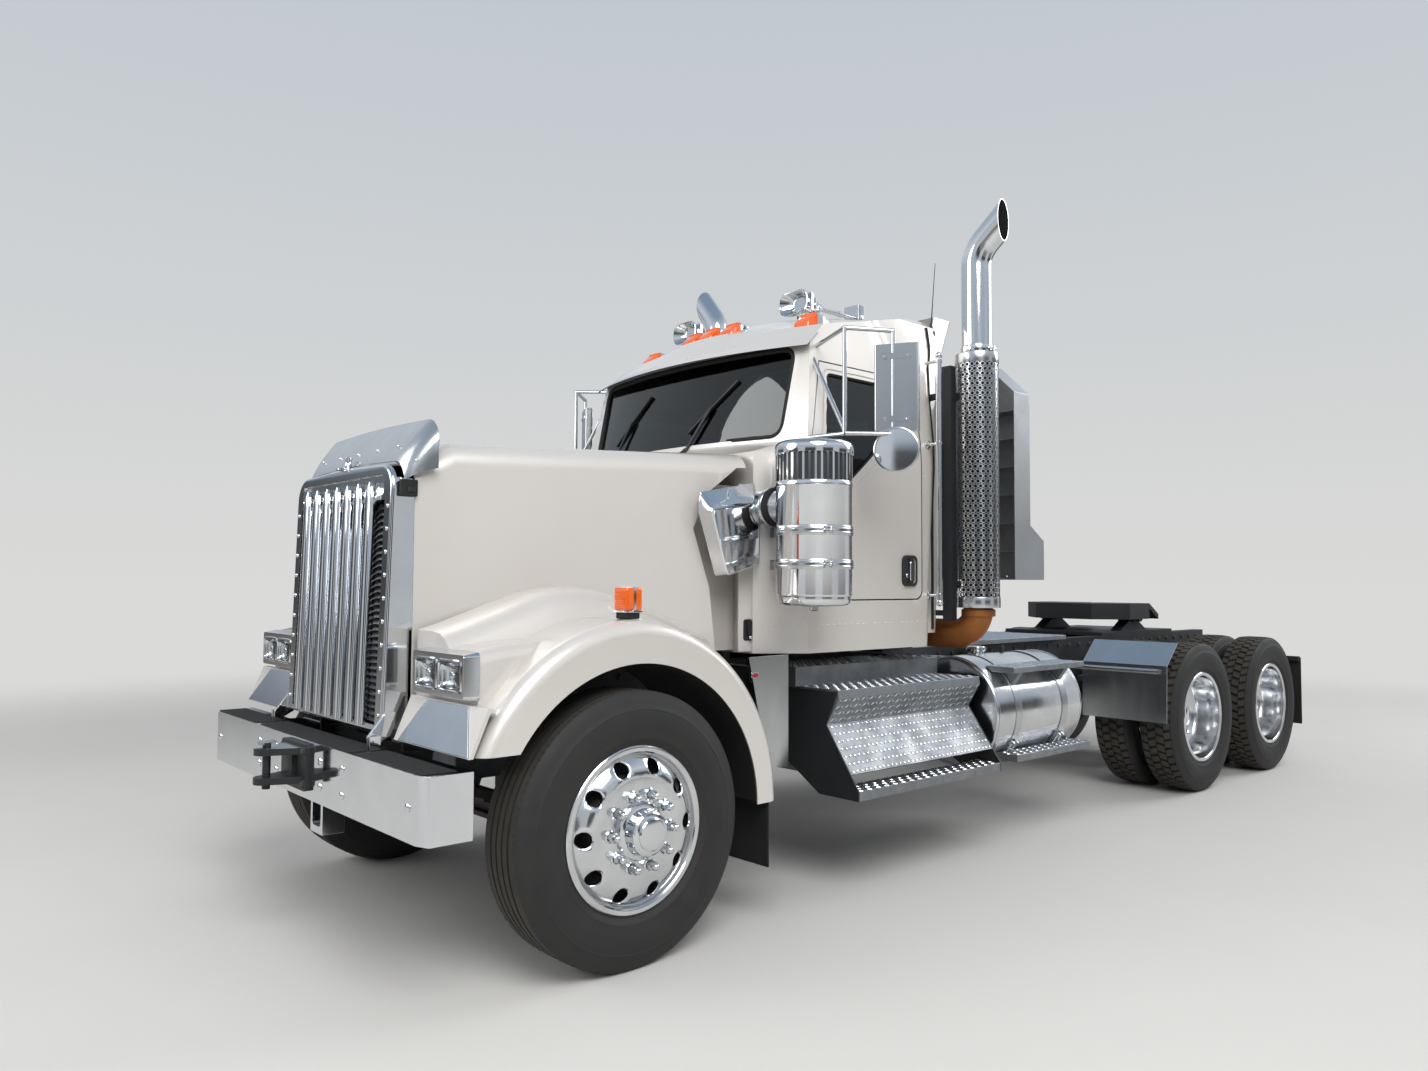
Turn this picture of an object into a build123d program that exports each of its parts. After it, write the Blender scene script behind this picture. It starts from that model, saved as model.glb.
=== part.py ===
# Semi truck tractor unit: long-nose day cab on a frame with a steered front axle and a tandem
# drive axle. Millimetres, +X forward, +Y to the driver's side, +Z up.
# The origin is on the ground under the middle of the overall box.
import os
from math import cos, hypot, radians, sin, sqrt

from build123d import *

os.makedirs("parts", exist_ok=True)

# Overall plan
front_reach = 1060  # front axle to the nose of the tow hitch
rear_reach = 7180  # front axle to the rear mud flaps
wheelbase = 5880  # front axle to the middle of the tandem
tandem_gap = 1320
front_axle_x = (rear_reach - front_reach) / 2
drive_xs = [front_axle_x - wheelbase + tandem_gap / 2, front_axle_x - wheelbase - tandem_gap / 2]


def ahead(distance):
    """A station, given as its distance ahead of the front axle."""
    return front_axle_x + distance


# Tyres and rims
tyre_r = 540
tyre_half = 139.5
rim_r = 311  # bead seat
flange_r = 326
rim_half = 118
rim_wall = 14
axle_z = tyre_r
steer_y = 1054.5  # middle of a front tyre
dual_gap = 337
dual_out_y = 1066  # middle of an outer drive tyre
dual_in_y = dual_out_y - dual_gap
hand_hole_r = 35
hand_holes = 10
fit_gap = 0.5  # running clearance between round parts
seat_gap = 0.3  # between a piece and the curved face that it sits on

# Frame
rail_y = 432  # outer face of a rail
rail_height = 270
rail_flange = 89
rail_wall = 8
frame_top = 1100
frame_bottom = frame_top - rail_height
frame_front = ahead(628)
frame_rear = ahead(-7060)

# Front axle and steering
kingpin_y = 905
kingpin_r = 24
beam_z = 455
spindle_r = 42
arm_reach = 190  # kingpin to the tie rod's ball, rearward
tie_rod_z = 430
ball_r = 13  # the arms' holes for the tie rod's studs

# Hood body
hinge_x = ahead(790)
hinge_z = 885
hinge_half = 540  # middle of the posts that carry the hood
hinge_pin_r = 9
hood_wall = 8
arch_r = 640
arch_x = ahead(-10)
arch_z = 545
fender_y = 1180  # outer face of a fender
hood_rear = ahead(-962)

# Cab
cab_wall = 45
cab_half = 950
cab_floor = 1160
seam_gap = 7
door_bevel = 14  # the door's rear edge is cut back towards its inside
handle_x = ahead(-2020)
handle_z = 1573
handle_wide = 126
handle_high = 168
door_front = ahead(-1247)
door_rear = ahead(-2142)
door_low = 1415
door_high = 2640
pillar_lean = 113  # how far the door's front edge leans back at its top
door_hinge_x = door_front - seam_gap / 2
door_hinge_y = cab_half + 12
door_hinge_zs = [1545, 1800, 2060]  # foot of each hinge's middle barrel
barrel_r = 10
barrel_high = 40
door_pin_r = 5

# Rows that carry the body's shape; columns are named beside each table
# height, half width, rear x, side's front x, corner x, corner y, nose x
cab_rows = [
    (cab_floor, cab_half, ahead(-2232), ahead(-1215), ahead(-1000), 785, ahead(-985)),
    (2150, cab_half, ahead(-2290), ahead(-1215), ahead(-1000), 785, ahead(-985)),
    (2215, 946, ahead(-2295), ahead(-1218), ahead(-1186), 836, ahead(-1064)),
    (2285, 942, ahead(-2300), ahead(-1222), ahead(-1200), 834, ahead(-1080)),
    (2735, 872, ahead(-2340), ahead(-1312), ahead(-1290), 822, ahead(-1180)),
    (2850, 850, ahead(-2400), ahead(-1440), ahead(-1410), 755, ahead(-1300)),
    (2900, 840, ahead(-2436), ahead(-1670), ahead(-1630), 720, ahead(-1345)),
    (3000, 815, ahead(-2510), ahead(-2110), ahead(-2070), 690, ahead(-1580)),
    (3050, 740, ahead(-2530), ahead(-2310), ahead(-2280), 620, ahead(-1900)),
]
cab_corner_r = 70


def cab_outline(row, inset):
    """Plan outline of the cab at one height, drawn in by the given wall."""
    z, half, rear, side_front, corner_x, corner_y, nose = row
    side = half - inset
    back = rear + inset
    radius = cab_corner_r - inset / 2
    knee = radius * (1 - cos(radians(45)))
    bend_x = side_front - inset
    post_x = corner_x - inset
    post_y = corner_y - inset * 0.6
    tip = nose - inset
    with BuildSketch(Plane.XY.offset(z)) as outline:
        with BuildLine():
            Line((back, side - radius), (back, -side + radius))
            ThreePointArc((back, -side + radius), (back + knee, -side + knee), (back + radius, -side))
            Line((back + radius, -side), (bend_x, -side))
            Line((bend_x, -side), (post_x, -post_y))
            ThreePointArc((post_x, -post_y), (tip, 0), (post_x, post_y))
            Line((post_x, post_y), (bend_x, side))
            Line((bend_x, side), (back + radius, side))
            ThreePointArc((back + radius, side), (back + knee, side - knee), (back, side - radius))
        make_face()
    return outline.sketch


def save(part, name):
    """Label a finished piece and write it to its own file."""
    part.label = name
    export_step(part, f"parts/{name}.step")


def joined(*pieces):
    """Pieces of one node, fused where they touch."""
    with BuildPart() as together:
        for piece in pieces:
            add(piece)
    return together.part


# Wheels: tyre and rim outlines as radius against distance from the tyre's middle
tyre_profile = [
    (rim_r, -rim_half + 12),
    (flange_r + 2, -rim_half + 10),
    (rim_r + 115, -tyre_half),
    (tyre_r - 38, -tyre_half + 16),
    (tyre_r, -tyre_half + 42),
    (tyre_r, tyre_half - 42),
    (tyre_r - 38, tyre_half - 16),
    (rim_r + 115, tyre_half),
    (flange_r + 2, rim_half - 10),
    (rim_r, rim_half - 12),
]


def tyre_ring(x, y):
    """One tyre as a ring around the axle line at x, its middle at y."""
    with BuildPart() as ring:
        with BuildSketch(Plane.XY) as section:
            with BuildLine():
                Polyline([(x + r, y + w) for r, w in tyre_profile], close=True)
            make_face()
        revolve(axis=Axis((x, 0, 0), (0, 1, 0)), revolution_arc=360)
    return Pos(0, 0, axle_z) * ring.part


def rim_profile(x, y, side, disc):
    """Half section of a rim; disc lists its web from the barrel to the hub's edge."""
    points = [
        (rim_r - rim_wall, -rim_half),
        (flange_r, -rim_half),
        (flange_r, -rim_half + 9),
        (rim_r - 0.3, -rim_half + 10),
        (rim_r - 0.3, rim_half - 10),
        (flange_r, rim_half - 9),
        (flange_r, rim_half),
        (rim_r - rim_wall, rim_half),
    ] + disc
    return [(x + r, side * (y + w)) for r, w in points]


disc_wall = 20
# radius, distance outboard of the tyre's middle: the web of a steered wheel stands proud
steer_disc = [
    (rim_r - rim_wall, 88),
    (262, 122),
    (238, 137),
    (110, 137),
    (110, 137 - disc_wall),
    (228, 137 - disc_wall),
    (250, 104),
    (rim_r - rim_wall, 62),
]
# the web of an outer drive wheel is dished to the plane where the twins are clamped
clamp_w = -dual_gap / 2
dish_disc = [
    (rim_r - rim_wall, -60),
    (250, -92),
    (215, clamp_w + disc_wall),
    (110, clamp_w + disc_wall),
    (110, clamp_w),
    (228, clamp_w),
    (rim_r - rim_wall, -98),
]


def rim_part(x, y, side, disc, hole_ring):
    """A one-piece rim with a ring of hand holes."""
    with BuildPart() as rim:
        with BuildSketch(Plane.XY):
            with BuildLine():
                Polyline(rim_profile(x, y, side, disc), close=True)
            make_face()
        revolve(axis=Axis((x, 0, 0), (0, 1, 0)), revolution_arc=360)
        with BuildSketch(Plane.XZ):
            with Locations((x, 0)):
                with PolarLocations(hole_ring, hand_holes):
                    Circle(hand_hole_r)
        extrude(amount=2 * dual_out_y, both=True, mode=Mode.SUBTRACT)
    return Pos(0, 0, axle_z) * rim.part


def drum_part(x, side, steps):
    """Turned parts on the axle line: steps name inner radius, outer radius, near y, far y."""
    with BuildPart() as turned:
        for inner, outer, near, far in steps:
            with BuildSketch(Plane.XY):
                with BuildLine():
                    Polyline(
                        (x + inner, side * near),
                        (x + outer, side * near),
                        (x + outer, side * far),
                        (x + inner, side * far),
                        close=True,
                    )
                make_face()
            revolve(axis=Axis((x, 0, 0), (0, 1, 0)), revolution_arc=360)
    return Pos(0, 0, axle_z) * turned.part


spindle_end_y = 1130
hub_bore = spindle_r + fit_gap
steer_face_y = steer_y + 137
# inner radius, outer radius, near y, far y
steer_hub_steps = [
    (hub_bore, 92, 980, 1000),
    (hub_bore, 109.5, 1000, spindle_end_y + 5),
    (0, 109.5, spindle_end_y + 5, steer_face_y + 8),
    (0, 84, steer_face_y + 8, steer_face_y + 72),
    (0, 60, steer_face_y + 72, steer_face_y + 86),
    (109, 168, steer_face_y - disc_wall - 14, steer_face_y - disc_wall),
    (168, 210, 968, steer_face_y - disc_wall),
]
clamp_y = dual_out_y + clamp_w
drive_hub_steps = [
    (hub_bore, 109.5, clamp_y - 70, clamp_y + disc_wall),
    (0, 109.5, clamp_y + disc_wall, clamp_y + 115),
    (0, 70, clamp_y + 115, clamp_y + 175),
    (109, 165, clamp_y - disc_wall - 16, clamp_y - disc_wall),
    (165, 210, clamp_y - 250, clamp_y - disc_wall),
]
lug_ring = 143
lug_r = 17
lug_count = 10


def lugs_part(x, side, near, far):
    """A ring of wheel nuts between two distances from the truck's middle."""
    with BuildPart() as lugs:
        with BuildSketch(Plane.XZ.offset(-near if side > 0 else near)):
            with Locations((x, axle_z)):
                with PolarLocations(lug_ring, lug_count):
                    RegularPolygon(lug_r, 6)
        extrude(amount=-(far - near) if side > 0 else far - near)
    return lugs.part


for side, word in ((1, "left"), (-1, "right")):
    with BuildPart() as tyre_front:
        add(tyre_ring(front_axle_x, side * steer_y))
    save(tyre_front.part, f"tyre_front_{word}")
    with BuildPart() as wheel_front:
        add(rim_part(front_axle_x, steer_y, side, steer_disc, 250))
        add(drum_part(front_axle_x, side, steer_hub_steps))
        add(lugs_part(front_axle_x, side, steer_face_y, steer_face_y + 62))
    save(wheel_front.part, f"wheel_front_{word}")
    for number, drive_x in enumerate(drive_xs, start=1):
        with BuildPart() as tyres_drive:
            add(tyre_ring(drive_x, side * dual_out_y))
            add(tyre_ring(drive_x, side * dual_in_y))
        save(tyres_drive.part, f"tyres_drive_{number}_{word}")
        with BuildPart() as wheels_drive:
            add(rim_part(drive_x, dual_out_y, side, dish_disc, 232))
            mirrored_disc = [(r, -w) for r, w in reversed(dish_disc)]
            add(rim_part(drive_x, dual_in_y, side, mirrored_disc, 232))
            add(drum_part(drive_x, side, drive_hub_steps))
            add(lugs_part(drive_x, side, clamp_y + disc_wall, clamp_y + disc_wall + 50))
        save(wheels_drive.part, f"wheels_drive_{number}_{word}")

# Frame rails with cross members
crossmember_xs = [ahead(d) for d in (400, -1985, -2700, -3550, -4400, -5880, -6990)]
crossmember_height = 190
with BuildPart() as frame_rails:
    for side in (1, -1):
        with BuildSketch(Plane.YZ.offset(frame_rear)):
            with BuildLine():
                Polyline(
                    (side * rail_y, frame_bottom),
                    (side * rail_y, frame_top),
                    (side * (rail_y - rail_flange), frame_top),
                    (side * (rail_y - rail_flange), frame_top - rail_wall),
                    (side * (rail_y - rail_wall), frame_top - rail_wall),
                    (side * (rail_y - rail_wall), frame_bottom + rail_wall),
                    (side * (rail_y - rail_flange), frame_bottom + rail_wall),
                    (side * (rail_y - rail_flange), frame_bottom),
                    close=True,
                )
            make_face()
        extrude(amount=frame_front - frame_rear)
    for member_x in crossmember_xs:
        with Locations((member_x, 0, frame_top - rail_height / 2)):
            Box(rail_wall, 2 * (rail_y - rail_wall), crossmember_height)
            for edge in (1, -1):
                with Locations((30, 0, edge * (crossmember_height - rail_wall) / 2)):
                    Box(60, 2 * (rail_y - rail_wall), rail_wall)

# Cab mounts on the frame and under the cab's floor
with BuildPart() as cab_mounts:
    for mount_x in (ahead(-1160), ahead(-2140)):
        for side in (1, -1):
            with Locations((mount_x, side * (rail_y - 45), frame_top)):
                Cylinder(42, cab_floor - frame_top, align=(Align.CENTER, Align.CENTER, Align.MIN))
save(joined(frame_rails.part, cab_mounts.part), "frame_rails")

# Front drop axle: a beam between two kingpin bosses
boss_r = 46
boss_half = 62
knuckle_gap = 6
seat_z = beam_z + 55
with BuildPart() as front_axle:
    with BuildSketch(Plane.YZ.offset(front_axle_x - 45)):
        with BuildLine():
            Polyline(
                (-kingpin_y, axle_z - 50),
                (-kingpin_y, axle_z + 45),
                (-kingpin_y + 60, axle_z + 45),
                (-620, seat_z),
                (620, seat_z),
                (kingpin_y - 60, axle_z + 45),
                (kingpin_y, axle_z + 45),
                (kingpin_y, axle_z - 50),
                (kingpin_y - 70, axle_z - 50),
                (600, beam_z - 55),
                (-600, beam_z - 55),
                (-kingpin_y + 70, axle_z - 50),
                close=True,
            )
        make_face()
    extrude(amount=90)
    with BuildSketch(Plane.YZ.offset(front_axle_x - 46)):
        with BuildLine():
            Polyline((-760, beam_z + 38), (-640, beam_z + 32), (640, beam_z + 32), (760, beam_z + 38),
                     (740, beam_z - 12), (620, beam_z - 32), (-620, beam_z - 32), (-740, beam_z - 12),
                     close=True)
        make_face()
    extrude(amount=32, mode=Mode.SUBTRACT)
    with BuildSketch(Plane.YZ.offset(front_axle_x + 14)):
        with BuildLine():
            Polyline((-760, beam_z + 38), (-640, beam_z + 32), (640, beam_z + 32), (760, beam_z + 38),
                     (740, beam_z - 12), (620, beam_z - 32), (-620, beam_z - 32), (-740, beam_z - 12),
                     close=True)
        make_face()
    extrude(amount=32, mode=Mode.SUBTRACT)
    for side in (1, -1):
        with Locations((front_axle_x, side * kingpin_y, axle_z)):
            Cylinder(boss_r, 2 * boss_half)
            Cylinder(kingpin_r + fit_gap, 2 * boss_half, mode=Mode.SUBTRACT)

# Front leaf springs under the rails, clamped on the axle beam
leaf_width = 90
leaf_wall = 14
spring_y = rail_y - leaf_width / 2
# leaf number from the top: half length
leaf_halves = [550, 525, 390, 255]
seat_pad = 12
eye_z = frame_bottom - 60
stack_top = seat_z + seat_pad + leaf_wall * len(leaf_halves)
with BuildPart() as front_springs:
    for side in (1, -1):
        for level, half_length in enumerate(leaf_halves):
            top = seat_z + seat_pad + leaf_wall * (len(leaf_halves) - level)
            rise = (eye_z - seat_z - seat_pad - 4 * leaf_wall) * (half_length / leaf_halves[0]) ** 2
            with BuildSketch(Plane.XZ.offset(-side * spring_y - leaf_width / 2)):
                with BuildLine():
                    ThreePointArc(
                        (front_axle_x - half_length, top + rise),
                        (front_axle_x, top),
                        (front_axle_x + half_length, top + rise),
                    )
                    Line((front_axle_x + half_length, top + rise),
                         (front_axle_x + half_length, top + rise - leaf_wall))
                    ThreePointArc(
                        (front_axle_x + half_length, top + rise - leaf_wall),
                        (front_axle_x, top - leaf_wall),
                        (front_axle_x - half_length, top + rise - leaf_wall),
                    )
                    Line((front_axle_x - half_length, top + rise - leaf_wall),
                         (front_axle_x - half_length, top + rise))
                make_face()
            extrude(amount=leaf_width)
        for end in (1, -1):
            eye_x = front_axle_x + end * leaf_halves[0]
            with BuildSketch(Plane.XZ.offset(-side * spring_y - leaf_width / 2)):
                with BuildLine():
                    Polyline(
                        (eye_x - 45, eye_z - 30),
                        (eye_x + 45, eye_z - 30),
                        (eye_x + 70, frame_bottom),
                        (eye_x - 70, frame_bottom),
                        close=True,
                    )
                make_face()
            extrude(amount=leaf_width)

with BuildPart() as spring_clamps:
    for side in (1, -1):
        for foot, high in ((seat_z - 6, seat_pad + 12), (stack_top - 3, 18)):
            with Locations((front_axle_x, side * spring_y, foot)):
                Box(144, leaf_width + 44, high, align=(Align.CENTER, Align.CENTER, Align.MIN))
        with Locations((front_axle_x, side * spring_y, seat_z - 26)):
            with GridLocations(118, leaf_width + 20, 2, 2):
                Cylinder(9, stack_top - seat_z + 60, align=(Align.CENTER, Align.CENTER, Align.MIN))
save(joined(front_axle.part, front_springs.part, spring_clamps.part), "front_axle")

# Steering knuckles and tie rod
yoke_gap = boss_half + knuckle_gap
yoke_wall = 40
for side, word in ((1, "left"), (-1, "right")):
    with BuildPart() as knuckle:
        with Locations((front_axle_x, side * kingpin_y, axle_z)):
            Cylinder(kingpin_r, 2 * (yoke_gap + yoke_wall))
            for end in (1, -1):
                with Locations((0, 0, end * (yoke_gap + yoke_wall / 2))):
                    Cylinder(boss_r, yoke_wall)
                    with Locations((0, side * 30, 0)):
                        Box(80, 60, yoke_wall)
        with BuildSketch(Plane.XZ.offset(-side * (kingpin_y + boss_r + 6))):
            with Locations((front_axle_x, axle_z)):
                Circle(yoke_gap + yoke_wall)
        extrude(amount=-side * 14)
        with BuildSketch(Plane.XZ.offset(-side * (kingpin_y + boss_r + 6))):
            with Locations((front_axle_x, axle_z)):
                Circle(spindle_r)
        extrude(amount=-side * (spindle_end_y - kingpin_y - boss_r - 6))
        with BuildSketch(Plane.XY.offset(tie_rod_z - 14)):
            with BuildLine():
                Polyline(
                    (front_axle_x + 34, side * (kingpin_y - 10)),
                    (front_axle_x + 34, side * (kingpin_y + 40)),
                    (front_axle_x - 40, side * (kingpin_y + 40)),
                    (front_axle_x - arm_reach - 30, side * (kingpin_y + 30)),
                    (front_axle_x - arm_reach - 30, side * (kingpin_y - 30)),
                    (front_axle_x - arm_reach + 20, side * (kingpin_y - 30)),
                    (front_axle_x - 40, side * (kingpin_y - 40)),
                    close=True,
                )
            make_face()
        extrude(amount=28)
        with Locations((front_axle_x - arm_reach, side * (kingpin_y), tie_rod_z)):
            Cylinder(ball_r, 90, mode=Mode.SUBTRACT)
    save(knuckle.part, f"knuckle_{word}")

ball_y = kingpin_y
rod_z = tie_rod_z - 46
with BuildPart() as tie_rod:
    with BuildSketch(Plane.XZ.offset(-ball_y + 20)):
        with Locations((front_axle_x - arm_reach, rod_z)):
            Circle(20)
    extrude(amount=2 * ball_y - 40)
    for side in (1, -1):
        with Locations((front_axle_x - arm_reach, side * ball_y, rod_z)):
            Cylinder(30, 50)
            Cylinder(ball_r - fit_gap, 78, align=(Align.CENTER, Align.CENTER, Align.MIN))
save(tie_rod.part, "tie_rod")

# Drive axles: tube, centre bowl and carrier nose
tube_r = 75
bowl_r = 215
bowl_back = 110
with BuildPart() as drive_axles:
    for drive_x in drive_xs:
        with BuildSketch(Plane.XZ.offset(clamp_y - 256)):
            with Locations((drive_x, axle_z)):
                Circle(tube_r)
        extrude(amount=-2 * (clamp_y - 256))
        with BuildSketch(Plane.XZ.offset(clamp_y + disc_wall - 5)):
            with Locations((drive_x, axle_z)):
                Circle(spindle_r)
        extrude(amount=-2 * (clamp_y + disc_wall - 5))
        with BuildSketch(Plane.YZ.offset(drive_x - bowl_back)):
            with Locations((0, axle_z)):
                Circle(bowl_r)
        extrude(amount=bowl_back + 150)
        with BuildSketch(Plane.YZ.offset(drive_x + 150)):
            with Locations((0, axle_z + 40)):
                Circle(130)
        extrude(amount=170, taper=12)

# Rear suspension: hangers, leaf beams and air springs under the rails
beam_y = rail_y - 45
hanger_back = 520  # hanger ahead of its axle
bag_back = 330  # air spring behind its axle
bag_r = 120
beam_top = axle_z + tube_r + 52
beam_wall = 50
with BuildPart() as rear_suspension:
    for drive_x in drive_xs:
        for side in (1, -1):
            with BuildSketch(Plane.XZ.offset(-side * beam_y - 45)):
                with BuildLine():
                    Polyline(
                        (drive_x + hanger_back - 60, beam_top - 40),
                        (drive_x + hanger_back + 60, beam_top - 40),
                        (drive_x + hanger_back + 110, frame_bottom),
                        (drive_x + hanger_back - 110, frame_bottom),
                        close=True,
                    )
                make_face()
            extrude(amount=90)
            with BuildSketch(Plane.XZ.offset(-side * beam_y - 38)):
                with BuildLine():
                    Polyline(
                        (drive_x + hanger_back - 60, beam_top),
                        (drive_x + 120, beam_top),
                        (drive_x - 140, beam_top - 40),
                        (drive_x - bag_back - 100, beam_top - 60),
                        (drive_x - bag_back - 100, beam_top - 60 - beam_wall),
                        (drive_x - 140, beam_top - 50 - beam_wall),
                        (drive_x + 120, beam_top - beam_wall),
                        (drive_x + hanger_back - 60, beam_top - beam_wall),
                        close=True,
                    )
                make_face()
            extrude(amount=76)
            with Locations((drive_x, side * beam_y, beam_top - beam_wall - 6)):
                Box(190, 100, 24)
    for drive_x in drive_xs:
        with BuildSketch(Plane.XZ.offset(2 * beam_y)):
            with Locations((drive_x, axle_z)):
                Circle(tube_r)
        extrude(amount=-4 * beam_y, mode=Mode.SUBTRACT)

bag_z = beam_top - 60
with BuildPart() as air_springs:
    for drive_x in drive_xs:
        for side in (1, -1):
            with BuildSketch(Plane.XZ.offset(-side * beam_y)):
                with BuildLine():
                    Polyline(
                        (drive_x - bag_back, bag_z),
                        (drive_x - bag_back + 80, bag_z),
                        (drive_x - bag_back + bag_r - 25, bag_z + 30),
                        (drive_x - bag_back + bag_r, bag_z + 60),
                        (drive_x - bag_back + bag_r, frame_bottom - 40),
                        (drive_x - bag_back + bag_r - 30, frame_bottom),
                        (drive_x - bag_back, frame_bottom),
                        close=True,
                    )
                make_face()
            revolve(axis=Axis((drive_x - bag_back, side * beam_y, 0), (0, 0, 1)), revolution_arc=360)
save(joined(rear_suspension.part, air_springs.part), "rear_suspension")

# Engine block, gearbox, drive shafts and radiator
engine_front = ahead(330)
engine_rear = ahead(-860)
engine_half = 320
engine_low = 640
engine_high = 1620
gearbox_rear = ahead(-1900)
shaft_r = 55
shaft_z = axle_z + 40
with BuildPart() as engine_block:
    with Locations(((engine_front + engine_rear) / 2, 0, engine_low)):
        Box(engine_front - engine_rear, 2 * engine_half, engine_high - engine_low,
            align=(Align.CENTER, Align.CENTER, Align.MIN))
    for mount_x in (engine_front - 230, engine_rear + 160):
        with Locations((mount_x, 0, frame_bottom + 70)):
            Box(120, 2 * (rail_y - rail_wall), 90, align=(Align.CENTER, Align.CENTER, Align.MIN))

with BuildPart() as gearbox:
    with BuildSketch(Plane.YZ.offset(engine_rear)):
        with Locations((0, 860)):
            Circle(250)
    with BuildSketch(Plane.YZ.offset(engine_rear - 260)):
        with Locations((0, 830)):
            Circle(180)
    loft(ruled=True)
    with BuildSketch(Plane.YZ.offset(engine_rear - 260)):
        with Locations((0, 830)):
            RectangleRounded(380, 330, 40)
    extrude(amount=-(engine_rear - 260 - gearbox_rear))
save(joined(engine_block.part, gearbox.part), "engine_block")

shaft_ends = [
    ((gearbox_rear - 12, 0, 800), (drive_xs[0] + 322, 0, shaft_z)),
    ((drive_xs[0] - bowl_back, 0, shaft_z), (drive_xs[1] + 322, 0, shaft_z)),
]
with BuildPart() as drive_shafts:
    for front_end, rear_end in shaft_ends:
        path = Edge.make_line(front_end, rear_end)
        with BuildSketch(Plane(front_end, z_dir=path % 0)):
            Circle(shaft_r)
        extrude(amount=path.length)
save(joined(drive_axles.part, drive_shafts.part), "drive_axles")

radiator_x = ahead(525)
with BuildPart() as radiator:
    with Locations((radiator_x, 0, frame_top + 5)):
        Box(110, 900, 760, align=(Align.CENTER, Align.CENTER, Align.MIN))
    with Locations((radiator_x, 0, frame_top + 5)):
        Box(110, 2 * (rail_y - rail_flange) - 16, 200, align=(Align.CENTER, Align.CENTER, Align.MAX))
    with Locations((radiator_x, 0, frame_bottom + rail_wall)):
        Box(90, 2 * (rail_y - rail_wall), 70, align=(Align.CENTER, Align.CENTER, Align.MIN))
    with Locations((radiator_x - 90, 0, 1470)):
        Cylinder(350, 70, rotation=(0, 90, 0))
save(radiator.part, "radiator")

# Bumper: front plate, returned ends and a top plate running back under the grille
bumper_front = ahead(885)
bumper_back = ahead(700)
bumper_half = 1157
bumper_low = 611
bumper_top = 847
bumper_wall = 8
bumper_chamfer = 60
bumper_depth = bumper_front - bumper_back
with BuildPart() as bumper:
    with BuildSketch(Plane.XY.offset(bumper_low)):
        with BuildLine():
            Polyline(
                (bumper_back, -bumper_half),
                (bumper_front - 22, -bumper_half),
                (bumper_front, -bumper_half + bumper_chamfer),
                (bumper_front, bumper_half - bumper_chamfer),
                (bumper_front - 22, bumper_half),
                (bumper_back, bumper_half),
                close=True,
            )
        make_face()
    extrude(amount=bumper_top - bumper_low)
    with BuildSketch(Plane.XY.offset(bumper_low)):
        with BuildLine():
            Polyline(
                (bumper_back - 1, -bumper_half + bumper_wall),
                (bumper_front - 22 - bumper_wall, -bumper_half + bumper_wall),
                (bumper_front - bumper_wall, -bumper_half + bumper_chamfer + bumper_wall),
                (bumper_front - bumper_wall, bumper_half - bumper_chamfer - bumper_wall),
                (bumper_front - 22 - bumper_wall, bumper_half - bumper_wall),
                (bumper_back - 1, bumper_half - bumper_wall),
                close=True,
            )
        make_face()
    extrude(amount=bumper_top - bumper_low - bumper_wall, mode=Mode.SUBTRACT)
    with Locations((frame_front + 2, 0, bumper_top)):
        Box(bumper_back - frame_front, 1240, bumper_wall, align=(Align.MIN, Align.CENTER, Align.MAX))
    for side in (1, -1):
        with BuildSketch(Plane.XZ.offset(-side * (rail_y + 6) - 6)):
            with BuildLine():
                Polyline(
                    (bumper_front - bumper_wall, bumper_low + 30),
                    (bumper_front - bumper_wall, bumper_top - 4),
                    (frame_front, bumper_top - 4),
                    (frame_front - 10, bumper_top + 150),
                    (frame_front - 130, bumper_top + 150),
                    (frame_front - 130, bumper_low + 150),
                    close=True,
                )
            make_face()
        extrude(amount=12)
        with Locations((hinge_x, side * hinge_half, bumper_top)):
            Box(44, 16, hinge_z - bumper_top + 20, align=(Align.CENTER, Align.CENTER, Align.MIN))
        with Locations((hinge_x, side * hinge_half, hinge_z)):
            Cylinder(hinge_pin_r + fit_gap, 20, rotation=(90, 0, 0), mode=Mode.SUBTRACT)
save(bumper.part, "bumper")

hitch_half = 140
pin_x = ahead(1010)
with BuildPart() as tow_hitch:
    with BuildSketch(Plane.YZ.offset(bumper_front)):
        with Locations((0, 739)):
            RectangleRounded(2 * hitch_half, 190, 18)
    extrude(amount=18)
    for level in (672, 790):
        with BuildSketch(Plane.XY.offset(level)):
            with BuildLine():
                Line((bumper_front + 18, -95), (pin_x, -50))
                ThreePointArc((pin_x, -50), (pin_x + 50, 0), (pin_x, 50))
                Line((pin_x, 50), (bumper_front + 18, 95))
                Line((bumper_front + 18, 95), (bumper_front + 18, -95))
            make_face()
        extrude(amount=28)
        with Locations((pin_x, 0, level + 14)):
            Cylinder(16.5, 28, mode=Mode.SUBTRACT)
    with Locations((bumper_front + 26, 0, 745)):
        Box(16, 60, 90)

with BuildPart() as tow_pin:
    with Locations((pin_x, 0, 650)):
        Cylinder(16, 190, align=(Align.CENTER, Align.CENTER, Align.MIN))
    with Locations((pin_x, 0, 840)):
        Box(70, 16, 16)

with BuildPart() as tow_eye:
    with BuildSketch(Plane.YZ.offset(ahead(706))):
        with Locations((0, bumper_top - bumper_wall - 200)):
            Rectangle(130, 400)
        with Locations((0, 545)):
            RectangleRounded(90, 150, 20, mode=Mode.SUBTRACT)
    extrude(amount=95)
save(joined(tow_hitch.part, tow_pin.part, tow_eye.part), "tow_hitch")

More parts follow.
